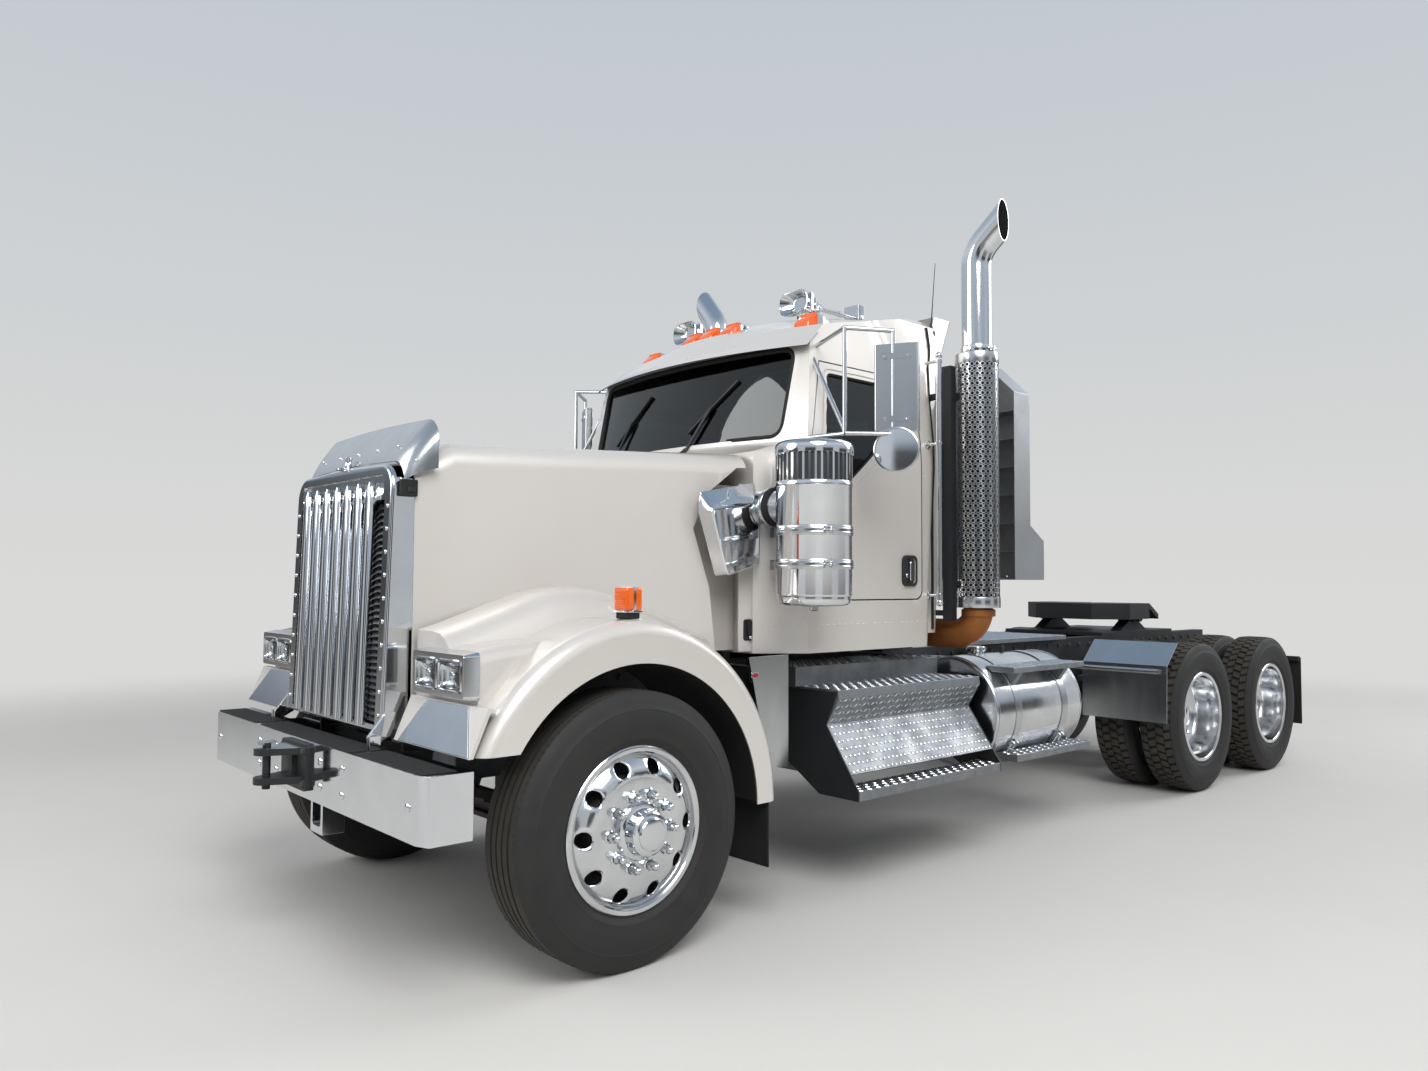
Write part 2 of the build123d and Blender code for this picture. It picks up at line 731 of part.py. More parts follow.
# Grille: a lean plane that carries surround, bars and screen
grille_foot = (ahead(754), 0, 905)
grille_lean = 1.5
grille_half = 513
grille_height = 1070
surround_band = 62
surround_wrap = 150
surround_back = ahead(632)
header_v = 925
bar_count = 7
bar_pitch = 113
bar_half = 31
bar_proud = 20
grille_normal = (cos(radians(grille_lean)), 0, sin(radians(grille_lean)))
grille_plane = Plane(origin=grille_foot, x_dir=(0, 1, 0), z_dir=grille_normal)
crown_r = 105
with BuildPart() as grille_surround:
    with BuildSketch(grille_plane):
        with BuildLine():
            Line((-grille_half, 0), (grille_half, 0))
            Line((grille_half, 0), (grille_half, grille_height - crown_r))
            ThreePointArc(
                (grille_half, grille_height - crown_r),
                (grille_half - crown_r * (1 - cos(radians(45))), grille_height - crown_r * (1 - cos(radians(45)))),
                (grille_half - crown_r, grille_height),
            )
            Line((grille_half - crown_r, grille_height), (0, grille_height + 12))
            Line((0, grille_height + 12), (-grille_half + crown_r, grille_height))
            ThreePointArc(
                (-grille_half + crown_r, grille_height),
                (-grille_half + crown_r * (1 - cos(radians(45))), grille_height - crown_r * (1 - cos(radians(45)))),
                (-grille_half, grille_height - crown_r),
            )
            Line((-grille_half, grille_height - crown_r), (-grille_half, 0))
        make_face()
    extrude(amount=-surround_wrap)
    fillet(grille_surround.faces().sort_by(Axis.X)[-1].edges(), 14)
    with BuildSketch(grille_plane.offset(1)):
        with BuildLine():
            Polyline(
                (-grille_half + surround_band, 30),
                (grille_half - surround_band, 30),
                (grille_half - surround_band, header_v),
                (-grille_half + surround_band, header_v),
                close=True,
            )
        make_face()
    extrude(amount=-surround_wrap - 2, mode=Mode.SUBTRACT)
    with BuildSketch(grille_plane.offset(1)):
        with Locations((0, header_v + 62)):
            RectangleRounded(2 * (grille_half - surround_band - 12), 84, 20)
    extrude(amount=-20, mode=Mode.SUBTRACT)
    with BuildSketch(grille_plane.offset(-24)):
        with Locations((0, grille_height / 2 + 8)):
            Rectangle(2 * grille_half - 24, grille_height - 24)
    extrude(amount=-surround_wrap, mode=Mode.SUBTRACT)
    with Locations((surround_back, 0, 1400)):
        Box(400, 1200, 1400, align=(Align.MAX, Align.CENTER, Align.CENTER), mode=Mode.SUBTRACT)
    for side in (1, -1):
        with BuildSketch(Plane.XZ.offset(-side * (hinge_half - 22) - 8)):
            with BuildLine():
                Polyline(
                    (hinge_x - 90, hinge_z + 105),
                    (hinge_x - 52, hinge_z + 105),
                    (hinge_x + 20, hinge_z + 14),
                    (hinge_x + 20, hinge_z - 14),
                    (hinge_x - 20, hinge_z - 14),
                    (hinge_x - 90, hinge_z + 24),
                    close=True,
                )
            make_face()
        extrude(amount=16)
        with Locations((hinge_x, side * (hinge_half - 4), hinge_z)):
            Cylinder(hinge_pin_r, 36, rotation=(90, 0, 0))

# V-fronted bars with pointed tips over the header
bar_foot = 24
bar_tip = 1000
bar_shoulder = 925
bar_taper = 31.5  # the flanks meet in a narrow ridge
bar_depth = 48
with BuildPart() as grille_bars:
    for index in range(bar_count):
        bar_y = (index - (bar_count - 1) / 2) * bar_pitch
        with BuildSketch(grille_plane.offset(bar_proud - bar_depth)):
            with BuildLine():
                Polyline(
                    (bar_y - bar_half, bar_foot),
                    (bar_y + bar_half, bar_foot),
                    (bar_y + bar_half, bar_shoulder),
                    (bar_y, bar_tip),
                    (bar_y - bar_half, bar_shoulder),
                    close=True,
                )
            make_face()
        extrude(amount=bar_depth, taper=bar_taper)
save(joined(grille_surround.part, grille_bars.part), "grille")

screen_wall = 8
screen_back = bar_depth - bar_proud + screen_wall
with BuildPart() as grille_screen:
    with BuildSketch(grille_plane.offset(-screen_back)):
        with BuildLine():
            Polyline(
                (-grille_half + surround_band, 30),
                (grille_half - surround_band, 30),
                (grille_half - surround_band, header_v),
                (-grille_half + surround_band, header_v),
                close=True,
            )
        make_face()
    extrude(amount=screen_wall)
save(grille_screen.part, "grille_screen")

# Hood: sections along the length; station, half width, top z, corner radius, foot z
hood_rows = [
    (surround_back, 516, 1985, 92, 905),
    (ahead(470), 545, 2078, 100, 1100),
    (ahead(-220), 650, 2106, 105, 1150),
    (hood_rear, 778, 2140, 110, 1170),
]


def hood_outline(row, inset):
    """Arch-shaped section of the hood at one station, drawn in by the given wall."""
    x, half, top, corner, foot = row
    side = half - inset
    crown = top - inset
    radius = corner - inset
    knee = radius * (1 - cos(radians(45)))
    with BuildSketch(Plane.YZ.offset(x)) as outline:
        with BuildLine():
            Line((-side, foot), (-side, crown - radius))
            ThreePointArc((-side, crown - radius), (-side + knee, crown - knee), (-side + radius, crown))
            ThreePointArc((-side + radius, crown), (0, crown + 14), (side - radius, crown))
            ThreePointArc((side - radius, crown), (side - knee, crown - knee), (side, crown - radius))
            Line((side, crown - radius), (side, foot))
            Line((side, foot), (-side, foot))
        make_face()
    return outline.sketch


# the rear edge is cut back around the intake covers: station, height
hood_cut = [
    (ahead(-1100), 2075),
    (ahead(-905), 2060),
    (ahead(-749), 1937),
    (ahead(-663), 1759),
    (ahead(-752), 1480),
    (ahead(-790), 1150),
    (ahead(-1100), 1150),
]


def cut_rear_sides():
    """Outline that trims the hood's sides at the rear."""
    with BuildSketch(Plane.XZ.offset(-cab_half)) as outline:
        with BuildLine():
            Polyline(hood_cut, close=True)
        make_face()
    return outline.sketch


with BuildPart() as hood_shell:
    loft(sections=[hood_outline(row, 0) for row in hood_rows], ruled=True)
    loft(sections=[hood_outline(row, hood_wall) for row in hood_rows], ruled=True, mode=Mode.SUBTRACT)
    for x, half, top, corner, foot in (hood_rows[0], hood_rows[-1]):
        with Locations((x, 0, (foot + top) / 2 - 60)):
            Box(4, 2 * (half - hood_wall), top - foot - 20, mode=Mode.SUBTRACT)
    with BuildSketch(Plane.XY.offset(900)):
        with Locations((front_axle_x, 0)):
            Rectangle(3000, 1000)
    extrude(amount=300, mode=Mode.SUBTRACT)
    extrude(cut_rear_sides(), amount=2 * cab_half, mode=Mode.SUBTRACT)
save(hood_shell.part, "hood_shell")

# Fender: a round flare over the wheel with a hump that runs in to the hood's side
flare_a = 775  # half length of the flare's outer line
flare_b = 812
flare_fillet = 62
flare_in = 700
fender_low = 889
fender_rear_low = 548
# ridge beside the hood: station and height of its crest
hump_rows = [
    (ahead(631), 1312),
    (ahead(548), 1336),
    (ahead(385), 1392),
    (ahead(213), 1456),
    (ahead(120), 1478),
    (ahead(30), 1487),
    (ahead(-80), 1480),
    (ahead(-195), 1458),
    (ahead(-450), 1368),
    (ahead(-700), 1262),
]
# lamp housing: station, top z, outer y
housing_rows = [
    (ahead(631), 1251, 1050),
    (ahead(509), 1272, 1050),
    (ahead(382), 1280, 1032),
    (ahead(250), 1284, 1010),
]
hump_in = 560
hump_low = 900
# the ridge's rounded shoulder: distance out, drop below the crest
ridge_points = [(120, 0), (190, 8), (235, 30), (272, 68), (298, 128), (318, 215)]
housing_points = [(-62, 0), (-34, 7), (-12, 24), (0, 52)]


def hump_outline(row, inset):
    """Cross section of the ridge beside the hood at one station."""
    x, top = row
    outer = [(hump_in + out - inset * 0.7, top - drop - inset * 0.7) for out, drop in ridge_points]
    with BuildSketch(Plane.YZ.offset(x)) as outline:
        with BuildLine():
            Polyline(
                (hump_in - inset, hump_low),
                (hump_in - inset, top - inset),
                (outer[0][0], top - inset),
                *outer[1:],
                (outer[-1][0], hump_low),
                close=True,
            )
        make_face()
    return outline.sketch


def housing_outline(row, inset):
    """Cross section of the headlamp housing at one station."""
    x, top, out = row
    outer = [(out + step - inset * 0.7, top - drop - inset * 0.7) for step, drop in housing_points]
    with BuildSketch(Plane.YZ.offset(x)) as outline:
        with BuildLine():
            Polyline(
                (hump_in - inset, hump_low),
                (hump_in - inset, top - inset),
                (outer[0][0], top - inset),
                *outer[1:],
                (out + 8 - inset, hump_low),
                close=True,
            )
        make_face()
    return outline.sketch


def flare_outline(inset, width_in):
    """Side outline of the flare, drawn in by the given wall."""
    wide = flare_a - inset
    tall = flare_b - inset
    front_x = wide * sqrt(1 - ((fender_low - arch_z) / tall) ** 2)
    rear_x = wide * sqrt(1 - ((fender_rear_low - arch_z) / tall) ** 2)
    diagonal = radians(45)
    with BuildSketch(Plane.XZ.offset(-width_in)) as outline:
        with BuildLine():
            ThreePointArc(
                (arch_x + front_x, fender_low),
                (arch_x + wide * cos(radians(58)), arch_z + tall * sin(radians(58))),
                (arch_x, arch_z + tall),
            )
            ThreePointArc(
                (arch_x, arch_z + tall),
                (arch_x - wide * cos(diagonal), arch_z + tall * sin(diagonal)),
                (arch_x - rear_x, fender_rear_low),
            )
            Line((arch_x - rear_x, fender_rear_low), (arch_x - arch_r + 60, fender_rear_low))
            Line((arch_x - arch_r + 60, fender_rear_low), (arch_x, fender_low))
            Line((arch_x, fender_low), (arch_x + front_x, fender_low))
        make_face()
    return outline.sketch


with BuildPart() as fender:
    extrude(flare_outline(0, flare_in), amount=-(fender_y - flare_in))
    outer_rim = fender.faces().sort_by(Axis.Y)[-1].edges().filter_by(GeomType.CIRCLE)
    fillet(outer_rim, flare_fillet)
    loft(sections=[hump_outline(row, 0) for row in hump_rows], ruled=True)
    loft(sections=[housing_outline(row, 0) for row in housing_rows], ruled=True)
    with BuildSketch(Plane.XZ.offset(-hump_in)):
        with BuildLine():
            Polyline((ahead(629), 1058), (ahead(652), 1058), (ahead(722), fender_low),
                     (ahead(706), fender_low), (ahead(640), 1042), (ahead(621), 1042), close=True)
        make_face()
    extrude(amount=-(fender_y - 20 - hump_in))
    with BuildPart(mode=Mode.PRIVATE) as hollow:
        extrude(flare_outline(hood_wall, flare_in - 10), amount=-(fender_y - hood_wall - flare_in + 10))
        inner_rim = hollow.faces().sort_by(Axis.Y)[-1].edges().filter_by(GeomType.CIRCLE)
        fillet(inner_rim, flare_fillet - hood_wall)
    add(hollow.part, mode=Mode.SUBTRACT)
    inner_rows = [(hump_rows[0][0] - hood_wall,) + hump_rows[0][1:]] + hump_rows[1:]
    loft(sections=[hump_outline(row, hood_wall) for row in inner_rows], ruled=True, mode=Mode.SUBTRACT)
    inner_rows = [(housing_rows[0][0] - hood_wall,) + housing_rows[0][1:]] + housing_rows[1:]
    loft(sections=[housing_outline(row, hood_wall) for row in inner_rows], ruled=True, mode=Mode.SUBTRACT)
    loft(sections=[hood_outline(row, 0) for row in hood_rows], ruled=True, mode=Mode.SUBTRACT)
    with BuildSketch(Plane.XZ.offset(-hump_in + 5)):
        with Locations((arch_x, arch_z)):
            Circle(arch_r)
    extrude(amount=-2 * fender_y, mode=Mode.SUBTRACT)
save(joined(fender.part, mirror(fender.part, about=Plane.XZ)), "fenders")

# Arch liners under the fenders
liner_wall = 6
liner_in = 668
with BuildPart() as fender_liners:
    with BuildSketch(Plane.XZ.offset(-liner_in)):
        with Locations((arch_x, arch_z)):
            Circle(arch_r + liner_wall)
            Circle(arch_r, mode=Mode.SUBTRACT)
    extrude(amount=-(fender_y - hood_wall - liner_in))
    with Locations((arch_x + arch_r, fender_y / 2, fender_low)):
        Box(2 * arch_r, 2 * fender_y, 2 * arch_r, align=(Align.CENTER, Align.CENTER, Align.MAX), mode=Mode.SUBTRACT)
    with Locations((arch_x - arch_r, fender_y / 2, fender_rear_low + 12)):
        Box(2 * arch_r, 2 * fender_y, 2 * arch_r, align=(Align.CENTER, Align.CENTER, Align.MAX), mode=Mode.SUBTRACT)
    mirror(about=Plane.XZ)

# Front mud flaps hang from the fenders' rear ends
flap_wall = 8
flap_low = 265
with BuildPart() as front_mudflaps:
    with Locations((arch_x - flare_a + 60, 690, flap_low)):
        Box(flap_wall, fender_y - hood_wall - seat_gap - 690, fender_rear_low + 30 - flap_low,
            align=(Align.CENTER, Align.MIN, Align.MIN))
    with Locations((arch_x - flare_a + hood_wall + 2, 710, fender_rear_low + 8)):
        Box(60 - hood_wall, 420, 16, align=(Align.MIN, Align.MIN, Align.MIN))
    mirror(about=Plane.XZ)
save(joined(fender_liners.part, front_mudflaps.part), "fender_liners")

# Headlamps: chrome pods with two rectangular lamps, and plates on the slope below
pod_in = 640
pod_out = 1064
pod_low = 1070
pod_high = 1250
pod_depth = 60
lens_wide = 172
lens_high = 108
lens_gap = 16
lens_y = (pod_in + pod_out) / 2 + 2
lens_z = 1160
pod_back = hump_rows[0][0]
with BuildPart() as headlamp_pods:
    with BuildSketch(Plane.YZ.offset(pod_back)):
        with Locations(((pod_in + pod_out) / 2, (pod_low + pod_high) / 2)):
            RectangleRounded(pod_out - pod_in, pod_high - pod_low, 22)
    extrude(amount=pod_depth, taper=10)
    with BuildSketch(Plane.YZ.offset(pod_back + pod_depth)):
        with Locations((lens_y, lens_z)):
            with GridLocations(lens_wide + lens_gap, 1, 2, 1):
                Rectangle(lens_wide, lens_high)
    extrude(amount=-24, mode=Mode.SUBTRACT)
    mirror(about=Plane.XZ)

with BuildPart() as headlamp_lenses:
    with BuildSketch(Plane.YZ.offset(pod_back + pod_depth - 24)):
        with Locations((lens_y, lens_z)):
            with GridLocations(lens_wide + lens_gap, 1, 2, 1):
                Rectangle(lens_wide, lens_high)
    extrude(amount=20)
    mirror(about=Plane.XZ)
save(headlamp_lenses.part, "headlamp_lenses")

slope_run = 70
slope_rise = 1058 - fender_low
slope_length = hypot(slope_run, slope_rise)
slope_plane = Plane(
    origin=(ahead(722), 0, fender_low),
    x_dir=(0, 1, 0),
    z_dir=(slope_rise / slope_length, 0, slope_run / slope_length),
)
with BuildPart() as lamp_plates:
    with BuildSketch(slope_plane):
        with BuildLine():
            Polyline((600, 2), (1156, 2), (1032, slope_length - 6), (700, slope_length - 6), close=True)
        make_face()
    extrude(amount=4)
    mirror(about=Plane.XZ)
save(joined(headlamp_pods.part, lamp_plates.part), "lamp_trim")

turn_lamp_x = ahead(-12)
turn_lamp_y = 1085
turn_lamp_z = 1381
with BuildPart() as turn_lamps:
    with Locations((turn_lamp_x, turn_lamp_y, turn_lamp_z)):
        Box(76, 102, 106, align=(Align.CENTER, Align.CENTER, Align.MIN))
        Box(56, 78, turn_lamp_z - arch_z - flare_b - seat_gap, align=(Align.CENTER, Align.CENTER, Align.MAX))
    add(fender.part, mode=Mode.SUBTRACT)
    fillet(turn_lamps.solids().sort_by(SortBy.VOLUME)[-1].edges().filter_by(Axis.Z), 6)
    mirror(about=Plane.XZ)
save(turn_lamps.part, "turn_lamps")

# Bug deflector: a curved strip standing over the hood's front edge
with BuildPart() as bug_deflector:
    for inset, cut in ((0, Mode.ADD), (5, Mode.SUBTRACT)):
        sections = []
        for x, half, high, foot in ((ahead(672), 528, 2052, 1915), (ahead(560), 572, 2168, 1960)):
            with BuildSketch(Plane.YZ.offset(x)) as outline:
                with BuildLine():
                    Polyline(
                        (-half + inset, foot),
                        (-half + inset, high - 95),
                        (-half + 95, high - inset),
                        (half - 95, high - inset),
                        (half - inset, high - 95),
                        (half - inset, foot),
                        close=True,
                    )
                make_face()
            sections.append(outline.sketch)
        loft(sections=sections, ruled=True, mode=cut)
    for y in (-300, 300):
        with Locations((ahead(598), y, 1990)):
            Box(26, 40, 136, align=(Align.CENTER, Align.CENTER, Align.MIN))
    loft(sections=[hood_outline(row, -seat_gap) for row in hood_rows], ruled=True, mode=Mode.SUBTRACT)
save(bug_deflector.part, "bug_deflector")

# Cab shell: walls, floor and roof around a hollow cabin, with door and window openings
roof_rows_from = 5


def cab_skin(inset):
    """Closed solid of the cab's outer form, drawn in by the given wall."""
    sections = []
    for index, row in enumerate(cab_rows):
        height = row[0]
        if index == 0:
            height += inset
        if index >= roof_rows_from:
            height -= inset
        sections.append(cab_outline((height,) + row[1:], inset))
    with BuildPart() as skin:
        loft(sections=sections, ruled=True)
    return skin.part


def door_outline(gap):
    """Side outline of a door, drawn in by the seam's gap."""
    with BuildSketch(Plane.XZ.offset(-790)) as outline:
        with BuildLine():
            Polyline(
                (door_front - gap, door_low + gap),
                (door_front - gap, 2240),
                (door_front - pillar_lean - gap, door_high - gap),
                (door_rear + gap, door_high - gap),
                (door_rear + gap, door_low + gap),
                close=True,
            )
        make_face()
        corners = outline.vertices().group_by(Axis.X)[0]
        fillet(corners, 55)
    return outline.sketch


# station, height: the sill drops in front so that the driver sees the road
window_points = [
    (ahead(-1318), 2050),
    (ahead(-1545), 2035),
    (ahead(-1720), 2175),
    (ahead(-1800), 2262),
    (ahead(-2045), 2268),
    (ahead(-2045), 2578),
    (ahead(-1415), 2578),
]


def window_outline():
    """Side outline of a door window."""
    with BuildSketch(Plane.XZ.offset(-600)) as outline:
        with BuildLine():
            Polyline(window_points, close=True)
        make_face()
        fillet(outline.vertices(), 34)
    return outline.sketch


screen_low = 2238
screen_high = 2705
screen_low_half = 790
screen_high_half = 800


def screen_outline(gap):
    """Front outline of the windshield opening, drawn in by a gap."""
    with BuildSketch(Plane.YZ.offset(ahead(-1450))) as outline:
        with BuildLine():
            Polyline(
                (-screen_low_half + gap, screen_low + gap),
                (screen_low_half - gap, screen_low + gap),
                (screen_high_half - gap, screen_high - gap),
                (-screen_high_half + gap, screen_high - gap),
                close=True,
            )
        make_face()
        fillet(outline.vertices(), 70)
    return outline.sketch


rear_window_half = 460
rear_window_low = 2170
rear_window_high = 2560


def rear_outline(gap):
    """Outline of the rear window."""
    with BuildSketch(Plane.YZ.offset(ahead(-2600))) as outline:
        with Locations((0, (rear_window_low + rear_window_high) / 2)):
            RectangleRounded(
                2 * (rear_window_half - gap), rear_window_high - rear_window_low - 2 * gap, 60
            )
    return outline.sketch


cab_outer = cab_skin(0)
cab_inner = cab_skin(cab_wall)
with BuildPart() as cab_shell:
    add(cab_outer)
    add(cab_inner, mode=Mode.SUBTRACT)
    with BuildPart(mode=Mode.PRIVATE) as door_cut:
        extrude(door_outline(0), amount=-500)
    add(door_cut.part, mode=Mode.SUBTRACT)
    add(mirror(door_cut.part, about=Plane.XZ), mode=Mode.SUBTRACT)
    extrude(screen_outline(0), amount=600, mode=Mode.SUBTRACT)
    extrude(rear_outline(0), amount=600, mode=Mode.SUBTRACT)
    extrude(cab_outline(cab_rows[0], cab_wall), amount=cab_wall, mode=Mode.SUBTRACT)

# Floor pan: lies in the shell's foot with a fine gap all round
floor_gap = 0.4
with BuildPart() as floor_pan:
    extrude(cab_outline(cab_rows[0], cab_wall + floor_gap), amount=cab_wall)

glass_in = 14
glass_wall = 6
glass_outer = cab_skin(glass_in)
glass_inner = cab_skin(glass_in + glass_wall)
with BuildPart() as windshield:
    add(glass_outer)
    add(glass_inner, mode=Mode.SUBTRACT)
    extrude(screen_outline(0.3), amount=600, mode=Mode.INTERSECT)

with BuildPart() as rear_window:
    add(glass_outer)
    add(glass_inner, mode=Mode.SUBTRACT)
    extrude(rear_outline(0.3), amount=600, mode=Mode.INTERSECT)
save(joined(windshield.part, rear_window.part), "cab_glass")

# Door hinges: the cab's leaves carry a pin between two short barrels, the door's barrel turns on it
leaf_thick = 8
with BuildPart() as cab_hinges:
    for foot in door_hinge_zs:
        for low in (foot - barrel_high / 2 - 0.5, foot + barrel_high + 0.5):
            with Locations((door_hinge_x, door_hinge_y, low)):
                Cylinder(barrel_r, barrel_high / 2, align=(Align.CENTER, Align.CENTER, Align.MIN))
            with Locations((door_hinge_x, cab_half, low)):
                Box(34, leaf_thick, barrel_high / 2, align=(Align.MIN, Align.MIN, Align.MIN))
        with Locations((door_hinge_x, door_hinge_y, foot - barrel_high / 2 - 0.5)):
            Cylinder(door_pin_r, 2 * barrel_high + 1, align=(Align.CENTER, Align.CENTER, Align.MIN))
    mirror(about=Plane.XZ)

with BuildPart() as door:
    add(cab_outer)
    add(cab_inner, mode=Mode.SUBTRACT)
    extrude(door_outline(seam_gap), amount=-500, mode=Mode.INTERSECT)
    extrude(window_outline(), amount=-500, mode=Mode.SUBTRACT)
    with BuildSketch(Plane.XY.offset(door_low)):
        with BuildLine():
            Polyline(
                (door_rear - 1, door_hinge_y),
                (door_rear + seam_gap, door_hinge_y - 7),
                (door_rear + seam_gap + door_bevel, 790),
                (door_rear - 1, 790),
                close=True,
            )
        make_face()
    extrude(amount=door_high - door_low, mode=Mode.SUBTRACT)
    for foot in door_hinge_zs:
        with Locations((door_hinge_x, door_hinge_y, foot)):
            Cylinder(barrel_r, barrel_high, align=(Align.CENTER, Align.CENTER, Align.MIN))
        with Locations((door_hinge_x, cab_half, foot)):
            Box(60, leaf_thick, barrel_high, align=(Align.MAX, Align.MIN, Align.MIN))
        with Locations((door_hinge_x, door_hinge_y, foot - 1)):
            Cylinder(door_pin_r + fit_gap, barrel_high + 2, align=(Align.CENTER, Align.CENTER, Align.MIN),
                     mode=Mode.SUBTRACT)
    with BuildSketch(Plane.XZ.offset(-cab_half + 2)):
        with Locations((handle_x, handle_z)):
            RectangleRounded(handle_wide, handle_high, 34)
    extrude(amount=-14)
    with BuildSketch(Plane.XZ.offset(-cab_half - 12)):
        with Locations((handle_x, handle_z)):
            RectangleRounded(handle_wide - 34, handle_high - 34, 22)
    extrude(amount=26, mode=Mode.SUBTRACT)
    with Locations((handle_x - 8, cab_half + 2, handle_z)):
        Box(30, 20, handle_high - 30)
with BuildPart() as door_glass:
    add(glass_outer)
    add(glass_inner, mode=Mode.SUBTRACT)
    extrude(window_outline(), amount=-500, mode=Mode.INTERSECT)
for about, word in ((None, "left"), (Plane.XZ, "right")):
    save(door.part if about is None else mirror(door.part, about=about), f"door_{word}")
    save(door_glass.part if about is None else mirror(door_glass.part, about=about), f"door_glass_{word}")

# Skirts under the cowl, between fender and step: station, height
skirt_points = [(-843, 1156), (-1107, 1158), (-1109, 620), (-972, 636)]
skirt_y = 918
with BuildPart() as cowl_skirts:
    with BuildSketch(Plane.XZ.offset(-skirt_y)):
        with BuildLine():
            Polyline([(ahead(x), z) for x, z in skirt_points], close=True)
        make_face()
    extrude(amount=-5)
    for z in (900, 1080):
        with Locations((ahead(-1060), (rail_y + skirt_y) / 2, z)):
            Box(60, skirt_y - rail_y, 24)
    mirror(about=Plane.XZ)
save(cowl_skirts.part, "cowl_skirts")

# Wipers: blades on the curved windshield and arms from pivots on the cowl
# foot and tip of each arm: y, z
wiper_arms = [((190, 2205), (330, 2440)), ((-510, 2205), (-370, 2440))]
arm_half_width = 8
blade_half_width = 5
blade_reach = (150, 130)  # how far a blade's ends lie from the arm's tip: y, z
wiper_gap = 0.5


def strip(start, end, half_width):
    """Straight strip in the front view between two points."""
    run = hypot(end[0] - start[0], end[1] - start[1])
    across = (-(end[1] - start[1]) / run * half_width, (end[0] - start[0]) / run * half_width)
    with BuildSketch(Plane.YZ.offset(ahead(-1450))) as outline:
        with BuildLine():
            Polyline(
                (start[0] - across[0], start[1] - across[1]),
                (end[0] - across[0], end[1] - across[1]),
                (end[0] + across[0], end[1] + across[1]),
                (start[0] + across[0], start[1] + across[1]),
                close=True,
            )
        make_face()
    return outline.sketch


with BuildPart() as wiper_arm_parts:
    add(cab_skin(-11))
    add(cab_skin(-wiper_gap), mode=Mode.SUBTRACT)
    with BuildPart(mode=Mode.PRIVATE) as arm_strips:
        for foot, tip in wiper_arms:
            extrude(strip(foot, tip, arm_half_width), amount=600)
            with BuildSketch(Plane.YZ.offset(ahead(-1450))):
                with Locations(foot):
                    Circle(22)
            extrude(amount=600)
    add(arm_strips.part, mode=Mode.INTERSECT)

with BuildPart() as wiper_blades:
    add(cab_skin(-4))
    add(cab_skin(glass_in - wiper_gap), mode=Mode.SUBTRACT)
    with BuildPart(mode=Mode.PRIVATE) as blade_strips:
        for foot, tip in wiper_arms:
            low_end = (tip[0] - blade_reach[0], tip[1] - blade_reach[1])
            high_end = (tip[0] + blade_reach[0], tip[1] + blade_reach[1])
            extrude(strip(low_end, high_end, blade_half_width), amount=600)
    add(blade_strips.part, mode=Mode.INTERSECT)
save(joined(wiper_arm_parts.part, wiper_blades.part), "wipers")

# Cowl sides: short walls from the cab's front corners to just inside the hood's rear edge,
# behind the sweep of the fenders when the hood tilts
cowl_front = (ahead(-930), 758)
cowl_rear = (ahead(-1010), 772)
cowl_wall = 7
cowl_high = 1985
with BuildPart() as cowl_sides:
    with BuildSketch(Plane.XY.offset(cab_floor + 10)):
        with BuildLine():
            Polyline(cowl_front, cowl_rear, (cowl_rear[0], cowl_rear[1] - cowl_wall),
                     (cowl_front[0], cowl_front[1] - cowl_wall), close=True)
        make_face()
    extrude(amount=cowl_high - cab_floor - 10)
    add(cab_outer, mode=Mode.SUBTRACT)
    mirror(about=Plane.XZ)

# Rear panel: a shallow shell that bulges behind the cab's rear wall
bulge = 125
bulge_wall = 8
panel_in = 24  # the panel's sides lie this far inside the cab's
panel_lip = 82  # rise over the roof
panel_steps = [0, 0, 25, 70]  # more depth towards the roof
panel_rows = [cab_rows[0], cab_rows[1], cab_rows[4], cab_rows[7]]


def panel_skin(inset):
    """Closed form of the rear panel, drawn in by its wall."""
    sections = []
    for index, row in enumerate(panel_rows):
        height = row[0]
        if index == 0:
            height += 70 + inset
        if index == len(panel_rows) - 1:
            height += panel_lip - inset
        half = row[1] - panel_in - inset
        front = row[2] + 30
        depth = bulge - inset + panel_steps[index]
        radius = 95 - inset
        with BuildSketch(Plane.XY.offset(height)) as outline:
            with BuildLine():
                Line((front, half), (row[2] - depth + radius, half))
                RadiusArc((row[2] - depth + radius, half), (row[2] - depth, half - radius), -radius)
                Line((row[2] - depth, half - radius), (row[2] - depth, -half + radius))
                RadiusArc((row[2] - depth, -half + radius), (row[2] - depth + radius, -half), -radius)
                Line((row[2] - depth + radius, -half), (front, -half))
                Line((front, -half), (front, half))
            make_face()
        sections.append(outline.sketch)
    with BuildPart() as skin:
        loft(sections=sections, ruled=True)
    return skin.part


panel_outer = panel_skin(0)
with BuildPart() as cab_rear_panel:
    add(panel_outer)
    add(panel_skin(bulge_wall), mode=Mode.SUBTRACT)
    add(cab_outer, mode=Mode.SUBTRACT)
    extrude(rear_outline(0), amount=400, mode=Mode.SUBTRACT)
save(joined(cab_shell.part, cab_rear_panel.part, cab_hinges.part, cowl_sides.part, floor_pan.part), "cab_shell")

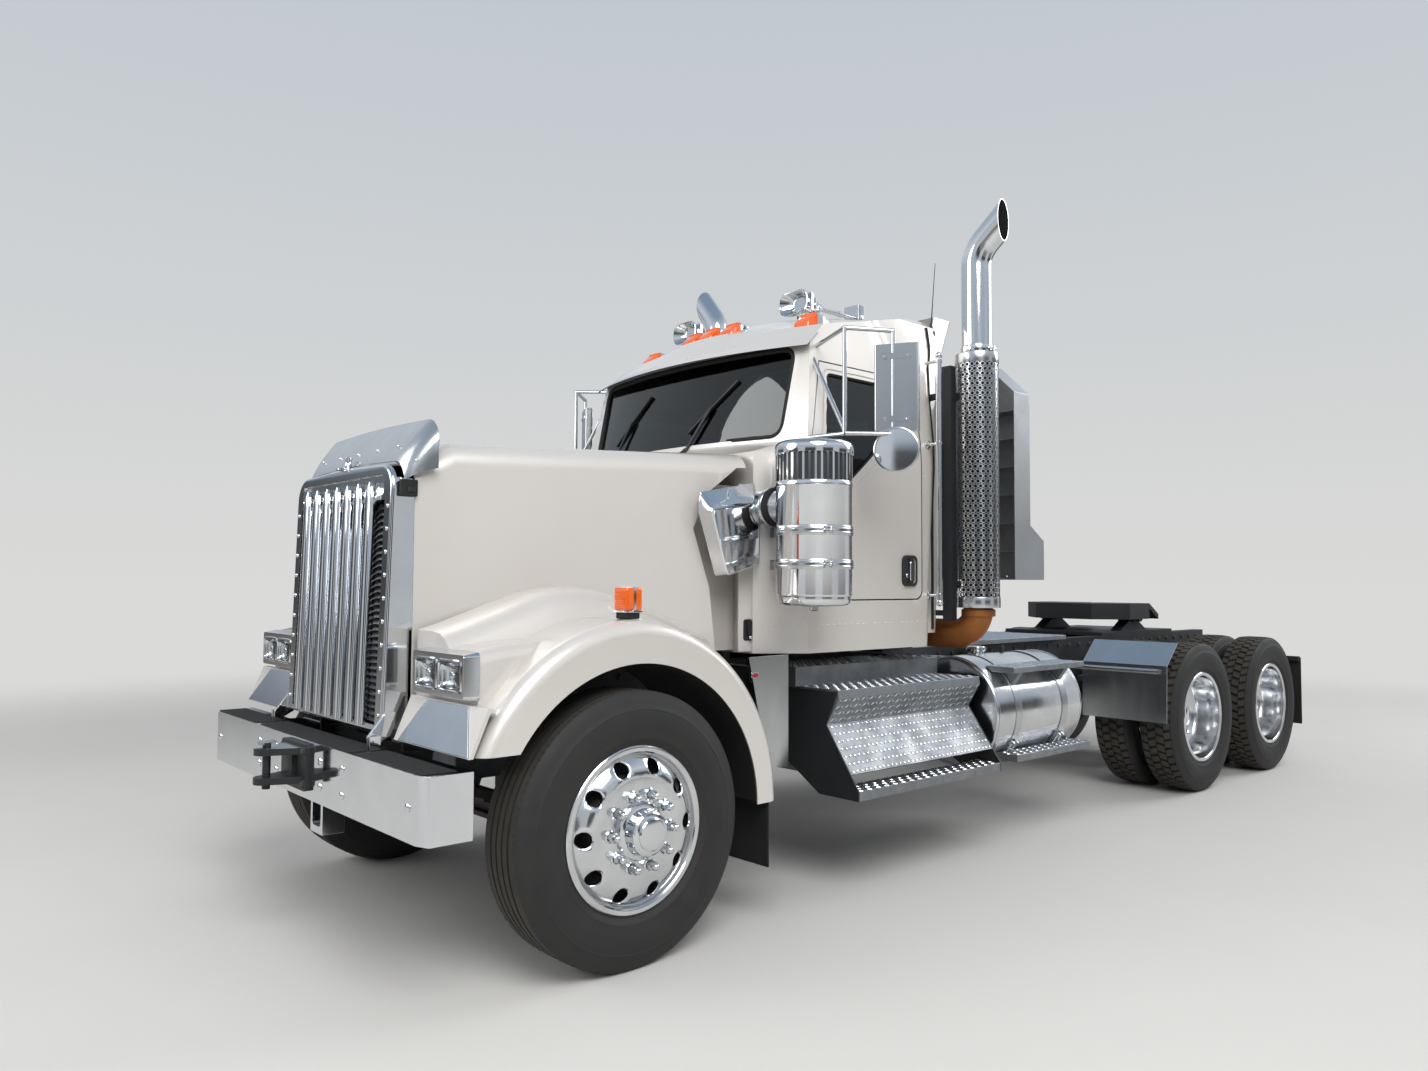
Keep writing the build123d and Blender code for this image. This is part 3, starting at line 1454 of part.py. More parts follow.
# Sun visor over the windshield: corner x, corner y, nose x, z
visor_rows = [
    (ahead(-1378), 872, ahead(-1255), 2792),
    (ahead(-1255), 905, ahead(-1085), 2700),
]
with BuildPart() as sun_visor:
    blade = []
    for corner_x, corner_y, nose_x, z in visor_rows:
        with BuildSketch(Plane.XY.offset(z)) as outline:
            with BuildLine():
                ThreePointArc((corner_x, -corner_y), (nose_x, 0), (corner_x, corner_y))
                Line((corner_x, corner_y), (corner_x - 60, corner_y - 60))
                ThreePointArc((corner_x - 60, corner_y - 60), (nose_x - 60, 0), (corner_x - 60, -corner_y + 60))
                Line((corner_x - 60, -corner_y + 60), (corner_x, -corner_y))
            make_face()
        blade.append(outline.sketch)
    loft(sections=blade, ruled=True)
    shade = []
    for corner_x, corner_y, nose_x, z in visor_rows:
        with BuildSketch(Plane.XY.offset(z)) as outline:
            with BuildLine():
                ThreePointArc((corner_x - 9, -corner_y + 9), (nose_x - 7, 0), (corner_x - 9, corner_y - 9))
                Line((corner_x - 9, corner_y - 9), (corner_x - 90, corner_y - 9))
                Line((corner_x - 90, corner_y - 9), (corner_x - 90, -corner_y + 9))
                Line((corner_x - 90, -corner_y + 9), (corner_x - 9, -corner_y + 9))
            make_face()
        shade.append(outline.sketch)
    loft(sections=shade, ruled=True, mode=Mode.SUBTRACT)
    add(cab_outer, mode=Mode.SUBTRACT)
save(sun_visor.part, "sun_visor")

# Roof lamps: x, y
marker_places = [(ahead(-1425), 0), (ahead(-1436), 162), (ahead(-1436), -162), (ahead(-1528), 662), (ahead(-1528), -662)]
with BuildPart() as roof_lamps:
    for x, y in marker_places:
        with BuildSketch(Plane.XZ.offset(-y - 62)):
            with BuildLine():
                base = 2900 if abs(y) < 300 else 2878
                Polyline((x + 62, base), (x + 42, base + 62), (x - 40, base + 84), (x - 110, base + 84),
                         (x - 110, base - 50), (x + 62, base - 50), close=True)
            make_face()
        extrude(amount=124)
    add(cab_outer, mode=Mode.SUBTRACT)
save(roof_lamps.part, "roof_lamps")

# Air horns: rectangular bells on thin trumpets
horn_y = 470
horn_z = 3068
horn_front = ahead(-1612)
horn_rear = ahead(-2134)
with BuildPart() as air_horns:
    for side in (1, -1):
        with BuildSketch(Plane.YZ.offset(horn_front)) as mouth:
            with Locations((side * horn_y, horn_z)):
                RectangleRounded(205, 126, 14)
        with BuildSketch(Plane.YZ.offset(horn_front - 70)) as throat:
            with Locations((side * horn_y, horn_z)):
                RectangleRounded(180, 108, 12)
        with BuildSketch(Plane.YZ.offset(horn_front - 190)) as neck:
            with Locations((side * horn_y, horn_z + 6)):
                RectangleRounded(44, 44, 12)
        loft(sections=[mouth.sketch, throat.sketch, neck.sketch], ruled=True)
        with BuildSketch(Plane.YZ.offset(horn_front)):
            with Locations((side * horn_y, horn_z)):
                RectangleRounded(189, 110, 8)
        extrude(amount=-50, mode=Mode.SUBTRACT)
        with BuildSketch(Plane.YZ.offset(horn_front - 190)):
            with Locations((side * horn_y, horn_z + 6)):
                Circle(13)
        extrude(amount=horn_rear - horn_front + 190)
        with Locations((horn_rear, side * horn_y, horn_z + 20)):
            Box(52, 110, 110)
        with Locations((horn_rear, side * horn_y, 3030)):
            Box(30, 40, 60)
        with Locations((horn_front - 90, side * horn_y, 2990)):
            Box(60, 60, 90)
    add(cab_outer, mode=Mode.SUBTRACT)
save(air_horns.part, "air_horns")

# Air cleaners beside the cowl with their mounting bands
cleaner_x = ahead(-1050)
cleaner_y = 1140
cleaner_r = 178
# radius, low z, high z
cleaner_steps = [
    (150, 1398, 1412),
    (cleaner_r - 6, 1412, 1440),
    (cleaner_r, 1440, 1950),
    (cleaner_r + 5, 1950, 1972),
    (cleaner_r, 1972, 2098),
    (cleaner_r + 7, 2098, 2142),
    (cleaner_r - 20, 2142, 2162),
]
band_zs = [1590, 1745]
with BuildPart() as air_cleaners:
    for radius, low, high in cleaner_steps:
        with Locations((cleaner_x, cleaner_y, low)):
            Cylinder(radius, high - low, align=(Align.CENTER, Align.CENTER, Align.MIN))
    mirror(about=Plane.XZ)

with BuildPart() as cleaner_mounts:
    for band_z in band_zs:
        with Locations((cleaner_x, cleaner_y, band_z)):
            Cylinder(cleaner_r + 5, 44)
        with Locations((cleaner_x - 60, cleaner_y - 200, band_z)):
            Box(120, 260, 40)
    with BuildSketch(Plane.XZ.offset(-700)):
        with Locations((cleaner_x + 30, 1868)):
            Circle(84)
    extrude(amount=-(cleaner_y - 700))
    with Locations((cleaner_x, cleaner_y, 1300)):
        Cylinder(cleaner_r, 900, align=(Align.CENTER, Align.CENTER, Align.MIN), mode=Mode.SUBTRACT)
    add(cab_outer, mode=Mode.SUBTRACT)
    with Locations((cleaner_x + 400, 740, 1600)):
        Box(800, 100, 900, mode=Mode.SUBTRACT)
    mirror(about=Plane.XZ)

# Intake covers over the hood's rear cut-outs: station, height on the inner and outer faces
cover_in = 790
cover_out = 872
cover_inner = [(-650, 1926), (-1002, 1992), (-1050, 1870), (-1040, 1592), (-748, 1530), (-640, 1832)]
cover_outer = [(-660, 1838), (-930, 1876), (-960, 1872), (-955, 1592), (-752, 1534), (-650, 1832)]
with BuildPart() as intake_covers:
    sections = []
    for y, points in ((cover_in, cover_inner), (cover_out, cover_outer)):
        with BuildSketch(Plane.XZ.offset(-y)) as outline:
            with BuildLine():
                Polyline([(ahead(x), z) for x, z in points], close=True)
            make_face()
        sections.append(outline.sketch)
    loft(sections=sections, ruled=True)
    add(cab_outer, mode=Mode.SUBTRACT)
    add(cleaner_mounts.part, mode=Mode.SUBTRACT)
    add(air_cleaners.part, mode=Mode.SUBTRACT)
    mirror(about=Plane.XZ)
save(joined(air_cleaners.part, cleaner_mounts.part, intake_covers.part), "air_cleaners")

# Exhaust: stacks with turned-out mouths, perforated shields and elbows
stack_x = ahead(-2455)
stack_y = 1100
stack_r = 84
stack_wall = 3
stack_low = 1372
bend_z = 3303
bend_r = 200
bend_angle = 45
tail = 240
mouth_out = 160
out_dir = Vector(-0.2, 0.98, 0).normalized()
with BuildPart() as exhaust_stacks:
    bottom = Vector(stack_x, stack_y, stack_low)
    knee_start = Vector(stack_x, stack_y, bend_z)
    mid = knee_start + out_dir * (bend_r * (1 - cos(radians(bend_angle / 2)))) + Vector(0, 0, bend_r * sin(radians(bend_angle / 2)))
    knee_end = knee_start + out_dir * (bend_r * (1 - cos(radians(bend_angle)))) + Vector(0, 0, bend_r * sin(radians(bend_angle)))
    tip = knee_end + (out_dir + Vector(0, 0, 1)).normalized() * tail
    with BuildLine() as route:
        Line(bottom, knee_start)
        ThreePointArc(knee_start, mid, knee_end)
        Line(knee_end, tip)
    with BuildSketch(Plane.XY.offset(stack_low)):
        with Locations((stack_x, stack_y)):
            Circle(stack_r)
            Circle(stack_r - stack_wall, mode=Mode.SUBTRACT)
    sweep()
    with BuildSketch(Plane(knee_start + out_dir * mouth_out, x_dir=(0, 0, 1), z_dir=out_dir)):
        Rectangle(1600, 900)
    extrude(amount=500, mode=Mode.SUBTRACT)
    mirror(about=Plane.XZ)

shield_r = 118
shield_high = 2800
with BuildPart() as stack_shields:
    with BuildSketch(Plane.XY.offset(stack_low)):
        with Locations((stack_x, stack_y)):
            Circle(shield_r)
            Circle(shield_r - 3, mode=Mode.SUBTRACT)
    extrude(amount=shield_high - stack_low)
    for ring_z in (stack_low + 40, shield_high - 60):
        with BuildSketch(Plane.XY.offset(ring_z)):
            with Locations((stack_x, stack_y)):
                Circle(shield_r - 2)
                Circle(stack_r, mode=Mode.SUBTRACT)
        extrude(amount=16)
    mirror(about=Plane.XZ)
save(stack_shields.part, "stack_shields")

elbow_r = 150
elbow_z = stack_low - elbow_r
elbow_in = 500
elbow_pipe = 82
with BuildPart() as exhaust_elbows:
    with BuildLine() as route:
        Line((stack_x, stack_y, stack_low), (stack_x, stack_y, stack_low - 1))
        ThreePointArc(
            (stack_x, stack_y, stack_low - 1),
            (stack_x, stack_y - elbow_r * (1 - cos(radians(45))), elbow_z - 1 + elbow_r * (1 - sin(radians(45)))),
            (stack_x, stack_y - elbow_r, elbow_z - 1),
        )
        Line((stack_x, stack_y - elbow_r, elbow_z - 1), (stack_x, elbow_in, elbow_z - 1))
    with BuildSketch(Plane.XY.offset(stack_low)):
        with Locations((stack_x, stack_y)):
            Circle(elbow_pipe)
            Circle(elbow_pipe - 4, mode=Mode.SUBTRACT)
    sweep()
    mirror(about=Plane.XZ)
save(joined(exhaust_stacks.part, exhaust_elbows.part), "exhaust_stacks")

# Stack supports: an outrigger on the frame and a post beside each stack
post_x = ahead(-2340)
post_low = 1300
post_high = 2730
with BuildPart() as stack_supports:
    for side in (1, -1):
        with Locations((post_x + 14, side * 1000, post_low)):
            Box(48, 60, post_high - post_low, align=(Align.CENTER, Align.CENTER, Align.MIN))
        for z in (post_low + 40, 1950, post_high - 160):
            with Locations((post_x + 14, side * 920, z)):
                Box(40, 120, 30)
        with Locations((stack_x, side * elbow_in, frame_top)):
            Box(120, 60, elbow_z - frame_top, align=(Align.CENTER, Align.CENTER, Align.MIN))
        with Locations((post_x - 40, side * (elbow_in - 30), frame_top)):
            Box(180, 160, 16, align=(Align.CENTER, Align.CENTER, Align.MIN))
    for z in (1500, 2560):
        for side in (1, -1):
            with Locations((post_x - 20, side * 1010, z)):
                Box(60, 40, 40)
    add(exhaust_elbows.part, mode=Mode.SUBTRACT)
    add(stack_shields.part, mode=Mode.SUBTRACT)
    add(panel_outer, mode=Mode.SUBTRACT)
    add(cab_outer, mode=Mode.SUBTRACT)

# Grab rails behind the doors
rail_x = ahead(-2200)
rail_out = 1022
rail_bar = 16
with BuildPart() as grab_rails:
    with Locations((rail_x, rail_out, 1400)):
        Cylinder(rail_bar, 1370, align=(Align.CENTER, Align.CENTER, Align.MIN))
    for z in (1440, 2280, 2740):
        with BuildSketch(Plane.XZ.offset(-800)):
            with Locations((rail_x, z)):
                Circle(13)
        extrude(amount=-(rail_out - 800))
    add(cab_outer, mode=Mode.SUBTRACT)
    mirror(about=Plane.XZ)
save(grab_rails.part, "grab_rails")

# Cab guard: an aluminium rack with a rim, ribs and legs
guard_x = ahead(-2912)
guard_half = 1158
guard_low = 1530
guard_high = 2806
guard_corner = 183
guard_depth = 167
guard_wall = 6
guard_rib_gap = 165
guard_post_y = 470
tray_depth = 148  # chain tray behind the guard's foot


def guard_outline(inset):
    """Front outline of the cab guard, drawn in by its wall."""
    with BuildSketch(Plane.YZ.offset(guard_x)) as outline:
        with BuildLine():
            half = guard_half - inset
            high = guard_high - inset
            low = guard_low + inset
            corner = guard_corner - inset * 0.4
            Polyline(
                (-half, low),
                (half, low),
                (half, high - corner),
                (half - corner, high),
                (-half + corner, high),
                (-half, high - corner),
                close=True,
            )
        make_face()
    return outline.sketch


with BuildPart() as cab_guard:
    extrude(guard_outline(0), amount=guard_depth)
    with BuildPart(mode=Mode.PRIVATE) as tray:
        extrude(guard_outline(guard_wall), amount=guard_depth + 2)
    tray_part = Pos(guard_wall, 0, 0) * tray.part
    add(tray_part, mode=Mode.SUBTRACT)
    for side in (1, -1):
        with Locations((guard_x + guard_depth / 2, side * guard_post_y, (guard_low + guard_high) / 2)):
            Box(guard_depth, guard_wall, guard_high - guard_low)
        with Locations((guard_x + guard_depth / 2, side * (rail_y - 45), frame_top)):
            Box(guard_depth, 80, guard_low - frame_top, align=(Align.CENTER, Align.CENTER, Align.MIN))
        rib_z = guard_low + guard_rib_gap
        while rib_z < guard_high - guard_corner:
            with Locations((guard_x + guard_depth / 2 - 15, side * (guard_post_y + guard_half) / 2, rib_z)):
                Box(guard_depth - 30, guard_half - guard_post_y - guard_wall, guard_wall)
            rib_z += guard_rib_gap
    with Locations((guard_x, 0, 2380)):
        Box(4 * guard_wall, 2 * guard_post_y - 120, 460, mode=Mode.SUBTRACT)
    with BuildSketch(Plane.XZ.offset(guard_half)):
        with BuildLine():
            Polyline((guard_x, guard_low), (guard_x, 1850), (guard_x - tray_depth, 1762),
                     (guard_x - tray_depth, guard_low), close=True)
        make_face()
    extrude(amount=-2 * guard_half)
    with BuildSketch(Plane.XZ.offset(guard_half - guard_wall)):
        with BuildLine():
            Polyline((guard_x, guard_low + guard_wall), (guard_x, 1843), (guard_x - tray_depth + guard_wall, 1757),
                     (guard_x - tray_depth + guard_wall, guard_low + guard_wall), close=True)
        make_face()
    extrude(amount=-2 * (guard_half - guard_wall), mode=Mode.SUBTRACT)
save(cab_guard.part, "cab_guard")

# Step boxes under the doors: section as distance out and height
box_front = ahead(-1300)
box_rear = ahead(-2500)
box_section = [
    (440, 1078),
    (790, 1078),
    (790, 984),
    (1072, 984),
    (1078, 943),
    (1000, 813),
    (1155, 590),
    (1060, 560),
    (440, 560),
]
low_step_in = 1060
low_step_out = 1205
low_step_z = 472
low_step_high = 47
end_plate = 8
with BuildPart() as step_boxes:
    with BuildSketch(Plane.YZ.offset(box_rear)):
        with BuildLine():
            Polyline(box_section, close=True)
        make_face()
    extrude(amount=box_front - box_rear)
    mirror(about=Plane.XZ)

with BuildPart() as step_ends:
    for x in (box_front, box_rear - end_plate):
        with BuildSketch(Plane.YZ.offset(x)):
            with BuildLine():
                Polyline(
                    (rail_y, 975),
                    (1068, 975),
                    (1000, 813),
                    (low_step_out, low_step_z + low_step_high),
                    (low_step_out, low_step_z),
                    (956, low_step_z),
                    (rail_y, 800),
                    close=True,
                )
            make_face()
        extrude(amount=end_plate)
    with BuildSketch(Plane.YZ.offset(box_rear)):
        with BuildLine():
            Polyline((rail_y, 1000), (440, 1000), (440, 600), (rail_y, 840), close=True)
        make_face()
    extrude(amount=box_front - box_rear)
    mirror(about=Plane.XZ)
save(joined(stack_supports.part, step_ends.part), "side_brackets")

with BuildPart() as low_steps:
    with Locations(((box_front + box_rear) / 2, (low_step_in + low_step_out) / 2, low_step_z)):
        Box(box_front - box_rear, low_step_out - low_step_in, low_step_high, align=(Align.CENTER, Align.CENTER, Align.MIN))
    mirror(about=Plane.XZ)

# Fuel tanks with straps, brackets and steps
tank_front = ahead(-2560)
tank_rear = ahead(-3500)
tank_y = 842
tank_z = 765
tank_r = 315
tank_mid = (tank_front + tank_rear) / 2
strap_xs = [tank_front - 215, tank_rear + 215]
with BuildPart() as fuel_tanks:
    with BuildSketch(Plane.YZ.offset(tank_rear)):
        with Locations((tank_y, tank_z)):
            Circle(tank_r)
    extrude(amount=tank_front - tank_rear)
    fillet(fuel_tanks.edges().filter_by(GeomType.CIRCLE), 22)
    with Locations((tank_mid + 120, tank_y - 60, tank_z + tank_r - 12)):
        Cylinder(48, 44, align=(Align.CENTER, Align.CENTER, Align.MIN))
    mirror(about=Plane.XZ)
save(fuel_tanks.part, "fuel_tanks")

strap_wall = 5
with BuildPart() as tank_straps:
    for strap_x in strap_xs:
        with BuildSketch(Plane.YZ.offset(strap_x - 32)):
            with Locations((tank_y, tank_z)):
                Circle(tank_r + strap_wall)
            with BuildLine():
                Polyline((rail_y, 1060), (tank_y - 160, 1060), (tank_y - 160, 500), (rail_y, 720), close=True)
            make_face()
            with Locations((tank_y, tank_z)):
                Circle(tank_r, mode=Mode.SUBTRACT)
        extrude(amount=64)
    mirror(about=Plane.XZ)
save(tank_straps.part, "tank_straps")

tank_step_out = 1205
with BuildPart() as tank_steps:
    with Locations((tank_mid - 10, (980 + tank_step_out) / 2, 1000)):
        Box(790, tank_step_out - 980, 32, align=(Align.CENTER, Align.CENTER, Align.MIN))
    with Locations((tank_mid - 60, (1050 + tank_step_out) / 2, 500)):
        Box(830, tank_step_out - 1050, 40, align=(Align.CENTER, Align.CENTER, Align.MIN))
    for strap_x in strap_xs:
        with BuildSketch(Plane.YZ.offset(strap_x - 20)):
            with BuildLine():
                Polyline((960, 1016), (tank_step_out - 30, 1016), (tank_step_out - 30, 1000), (1100, 890),
                         (1000, 890), close=True)
            make_face()
            with BuildLine():
                Polyline((860, 440), (tank_step_out - 20, 500), (tank_step_out - 20, 520), (1080, 560),
                         (860, 500), close=True)
            make_face()
            with Locations((tank_y, tank_z)):
                Circle(tank_r + strap_wall, mode=Mode.SUBTRACT)
        extrude(amount=40)
    with BuildSketch(Plane.YZ.offset(tank_rear)):
        with Locations((tank_y, tank_z)):
            Circle(tank_r + strap_wall)
    extrude(amount=tank_front - tank_rear, mode=Mode.SUBTRACT)
    mirror(about=Plane.XZ)

# Deck plate, quarter fenders, rear mud flaps
with BuildPart() as deck_plate:
    with Locations((ahead(-3900), 0, frame_top)):
        Box(1200, 2 * 500, 30, align=(Align.CENTER, Align.CENTER, Align.MIN))
    with Locations((ahead(-3900), 0, frame_top)):
        Box(1180, 2 * 490, 24, align=(Align.CENTER, Align.CENTER, Align.MIN), mode=Mode.SUBTRACT)
    for side in (1, -1):
        with Locations((ahead(-3900), side * (rail_y - 40), frame_top)):
            Box(1180, 40, 26, align=(Align.CENTER, Align.CENTER, Align.MIN))
save(joined(step_boxes.part, low_steps.part, tank_steps.part, deck_plate.part), "tread_plates")

quarter_wall = 5
with BuildPart() as quarter_fenders:
    with BuildSketch(Plane.XZ.offset(-585)):
        with BuildLine():
            Polyline(
                (ahead(-4764), 1092),
                (ahead(-4590), 938),
                (ahead(-4575), 548),
                (ahead(-4575 + quarter_wall), 548),
                (ahead(-4590 + quarter_wall + 1), 941),
                (ahead(-4760), 1096),
                close=True,
            )
        make_face()
    extrude(amount=-(1203 - 585))
    with BuildSketch(Plane.XZ.offset(-rail_y)):
        with Locations((ahead(-4568), 900)):
            Circle(18)
    extrude(amount=-(1150 - rail_y))
    mirror(about=Plane.XZ)
save(quarter_fenders.part, "quarter_fenders")

flap_x = ahead(-rear_reach)
with BuildPart() as rear_mudflaps:
    with Locations((flap_x, 895, 319)):
        Box(10, 620, 566, align=(Align.MIN, Align.CENTER, Align.MIN))
    with BuildSketch(Plane.XZ.offset(-rail_y)):
        with Locations((flap_x + 30, 875)):
            Rectangle(40, 40)
    extrude(amount=-(1200 - rail_y))
    with Locations((flap_x + 90, rail_y + 20, 875)):
        Box(160, 40, 40)
    mirror(about=Plane.XZ)
save(rear_mudflaps.part, "rear_mudflaps")

# Fifth wheel: base brackets on the frame and a tilting plate with a throat
fifth_x = ahead(-5800)
plate_half = 460
plate_front = fifth_x + 440
plate_rear = fifth_x - 440
plate_top = 1350
plate_thick = 42
pivot_z = 1238
pivot_r = 32
throat_r = 26
with BuildPart() as fifth_base:
    with Locations((fifth_x, 0, frame_top)):
        Box(1240, 2 * rail_y, 26, align=(Align.CENTER, Align.CENTER, Align.MIN))
    for side in (1, -1):
        with BuildSketch(Plane.XZ.offset(-side * 345 - 45)):
            with BuildLine():
                Polyline(
                    (fifth_x - 230, frame_top + 26),
                    (fifth_x + 230, frame_top + 26),
                    (fifth_x + 62, pivot_z - 20),
                    (fifth_x + 62, pivot_z + 30),
                    (fifth_x - 62, pivot_z + 30),
                    (fifth_x - 62, pivot_z - 20),
                    close=True,
                )
            make_face()
            with Locations((fifth_x, pivot_z)):
                Circle(pivot_r + fit_gap, mode=Mode.SUBTRACT)
        extrude(amount=90)
save(fifth_base.part, "fifth_base")

ramp_run = 300
ramp_drop = 96
skirt_deep = 88
skirt_wall = 16
plate_rim = [
    (plate_rear + ramp_run, -plate_half),
    (plate_front - 230, -plate_half),
    (plate_front, -plate_half + 210),
    (plate_front, plate_half - 210),
    (plate_front - 230, plate_half),
    (plate_rear + ramp_run, plate_half),
]
with BuildPart() as fifth_plate:
    with BuildSketch(Plane.XY.offset(plate_top - plate_thick)):
        with BuildLine():
            Polyline(*plate_rim, close=True)
        make_face()
    extrude(amount=plate_thick)
    with BuildSketch(Plane.XZ.offset(plate_half)):
        with BuildLine():
            Polyline(
                (plate_rear + ramp_run, plate_top),
                (plate_rear, plate_top - ramp_drop),
                (plate_rear, plate_top - ramp_drop - plate_thick),
                (plate_rear + ramp_run, plate_top - plate_thick),
                close=True,
            )
        make_face()
    extrude(amount=-2 * plate_half)
    with BuildSketch(Plane.XY.offset(plate_top + 1)):
        with BuildLine():
            Polyline(
                (plate_rear - 1, -200),
                (fifth_x - 90, -throat_r),
                (fifth_x, -throat_r),
                (fifth_x, throat_r),
                (fifth_x - 90, throat_r),
                (plate_rear - 1, 200),
                close=True,
            )
        make_face()
        with Locations((fifth_x, 0)):
            Circle(throat_r)
        for flank in (1, -1):
            with BuildLine():
                Polyline((plate_rear - 1, flank * (plate_half + 1)), (plate_rear - 1, flank * (plate_half - 60)),
                         (plate_rear + ramp_run, flank * (plate_half + 1)), close=True)
            make_face()
    extrude(amount=-2 * plate_thick - ramp_drop, mode=Mode.SUBTRACT)
    with BuildSketch(Plane.XY.offset(plate_top - plate_thick - skirt_deep)):
        with BuildLine():
            Polyline(*plate_rim, close=True)
        make_face()
        offset(amount=-skirt_wall, mode=Mode.SUBTRACT)
        with Locations((plate_rear + ramp_run, 0)):
            Rectangle(4 * skirt_wall, 2 * plate_half - 4 * skirt_wall, mode=Mode.SUBTRACT)
    extrude(amount=skirt_deep)
    for side in (1, -1):
        with BuildSketch(Plane.XZ.offset(-side * 345 - 38)):
            with BuildLine():
                Polyline(
                    (fifth_x - 300, plate_top - plate_thick),
                    (fifth_x + 300, plate_top - plate_thick),
                    (fifth_x + 120, pivot_z + 48),
                    (fifth_x - 120, pivot_z + 48),
                    close=True,
                )
            make_face()
        extrude(amount=76)
        with BuildSketch(Plane.XZ.offset(-side * 345 - 64)):
            with Locations((fifth_x, pivot_z)):
                Circle(pivot_r)
        extrude(amount=128)
        for flank in (1, -1):
            with BuildSketch(Plane.XZ.offset(-side * 345 - flank * 58 - 6)):
                with BuildLine():
                    Polyline(
                        (fifth_x - 130, plate_top - plate_thick),
                        (fifth_x + 130, plate_top - plate_thick),
                        (fifth_x + 45, pivot_z - 40),
                        (fifth_x - 45, pivot_z - 40),
                        close=True,
                    )
                make_face()
            extrude(amount=12)
save(fifth_plate.part, "fifth_plate")

# Mirrors: bracket tubes on the cab, heads and glasses
head_x = ahead(-1440)
head_y = 1318
head_low = 2238
head_high = 2664
head_wide = 216
head_turn = 28
tube_bar = 11


def rod(start, end, radius):
    """A straight round bar between two points."""
    path = Edge.make_line(start, end)
    with BuildPart() as bar:
        with BuildSketch(Plane(start, z_dir=path % 0)):
            Circle(radius)
        extrude(amount=path.length)
    return bar.part


def bracket_bar(start, end, radius):
    """A mirror's bar, given by stations, that ends at the cab's skin."""
    plain = rod((ahead(start[0]), start[1], start[2]), (ahead(end[0]), end[1], end[2]), radius)
    with BuildPart() as bar:
        add(plain)
        add(cab_outer, mode=Mode.SUBTRACT)
    return bar.part


# start and end of each bracket tube: station, out, height
mirror_tubes = [
    ((-1390, 790, 2706), (-1262, 1146, 2742)),
    ((-1262, 1146, 2742), (-1440, 1300, 2728)),
    ((-1440, 1300, 2728), (-1440, 1300, 2220)),
    ((-1440, 1300, 2226), (-1262, 1146, 2226)),
    ((-1262, 1146, 2226), (-1214, 850, 2222)),
    ((-1262, 1146, 2742), (-1262, 1146, 2226)),
    ((-1340, 840, 2700), (-1262, 1146, 2240)),
]
mirror_bars = [bracket_bar(start, end, tube_bar) for start, end in mirror_tubes]
mirror_bars.append(bracket_bar((-1440, 1300, 2232), (-1440, 1300, 2150), tube_bar - 3))
with BuildPart() as mirror_frames:
    add(mirror_bars)
    for x, y, z in ((-1262, 1146, 2742), (-1440, 1300, 2728), (-1440, 1300, 2226)):
        with Locations((ahead(x), y, z)):
            Sphere(tube_bar + 1)
    mirror(about=Plane.XZ)

with BuildPart() as mirror_heads:
    head_plane = Plane(origin=(head_x, head_y, head_low), x_dir=(-sin(radians(head_turn)), cos(radians(head_turn)), 0),
                       z_dir=(0, 0, 1))
    with BuildSketch(head_plane):
        with Locations((0, 22)):
            RectangleRounded(head_wide, 44, 10)
    extrude(amount=head_high - head_low)
    spot_dir = (-cos(radians(head_turn)), -sin(radians(head_turn)), 0)
    with BuildSketch(Plane(origin=(head_x, head_y, 2148), z_dir=spot_dir)):
        Circle(108)
    extrude(amount=40, taper=20)
    add(mirror_frames.part, mode=Mode.SUBTRACT)
    mirror(about=Plane.XZ)
save(joined(mirror_frames.part, mirror_heads.part), "mirrors")

# Cabin: dashboard, seats, steering column and wheel
dash_rear = ahead(-1345)
dash_half = 735
with BuildPart() as dashboard:
    with BuildSketch(Plane.XZ.offset(-dash_half)):
        with BuildLine():
            Polyline(
                (ahead(-1060), cab_floor + cab_wall),
                (ahead(-1060), 2080),
                (ahead(-1110), 2130),
                (ahead(-1200), 2165),
                (ahead(-1310), 2160),
                (dash_rear, 2090),
                (ahead(-1300), 1760),
                (ahead(-1180), 1700),
                (ahead(-1120), cab_floor + cab_wall),
                close=True,
            )
        make_face()
    extrude(amount=2 * dash_half)
    add(cab_skin(cab_wall + seat_gap), mode=Mode.INTERSECT)

seat_y = 480
with BuildPart() as seats:
    with BuildSketch(Plane.XZ.offset(-seat_y - 250)):
        with BuildLine():
            Polyline(
                (ahead(-1640), 1560),
                (ahead(-1640), 1690),
                (ahead(-2030), 1665),
                (ahead(-2120), 2240),
                (ahead(-2200), 2240),
                (ahead(-2130), 1560),
                close=True,
            )
        make_face()
    extrude(amount=500)
    with BuildSketch(Plane.XZ.offset(-seat_y - 125)):
        with BuildLine():
            Polyline((ahead(-2118), 2250), (ahead(-2130), 2400), (ahead(-2205), 2400), (ahead(-2198), 2250), close=True)
        make_face()
    extrude(amount=250)
    with Locations((ahead(-2159), seat_y, 2245)):
        Box(20, 120, 30)
    with Locations((ahead(-1890), seat_y, 1205)):
        Box(380, 380, 355, align=(Align.CENTER, Align.CENTER, Align.MIN))
    mirror(about=Plane.XZ)
save(seats.part, "seats")

column_tilt = 28  # the wheel's face leans from flat
wheel_centre = (ahead(-1560), seat_y, 2010)
column_dir = (-sin(radians(column_tilt)), 0, cos(radians(column_tilt)))
hand_wheel_r = 228
hub_high = 36
with BuildPart() as steering_wheel:
    with BuildPart(Plane(origin=wheel_centre, z_dir=column_dir), mode=Mode.PRIVATE) as ring:
        Torus(hand_wheel_r, 15)
        Cylinder(42, hub_high)
        for turn in (90, 210, 330):
            with Locations(Rotation(0, 0, turn)):
                with Locations((hand_wheel_r / 2, 0, 0)):
                    Box(hand_wheel_r - 10, 30, 12)
    add(ring.part)
save(steering_wheel.part, "steering_wheel")

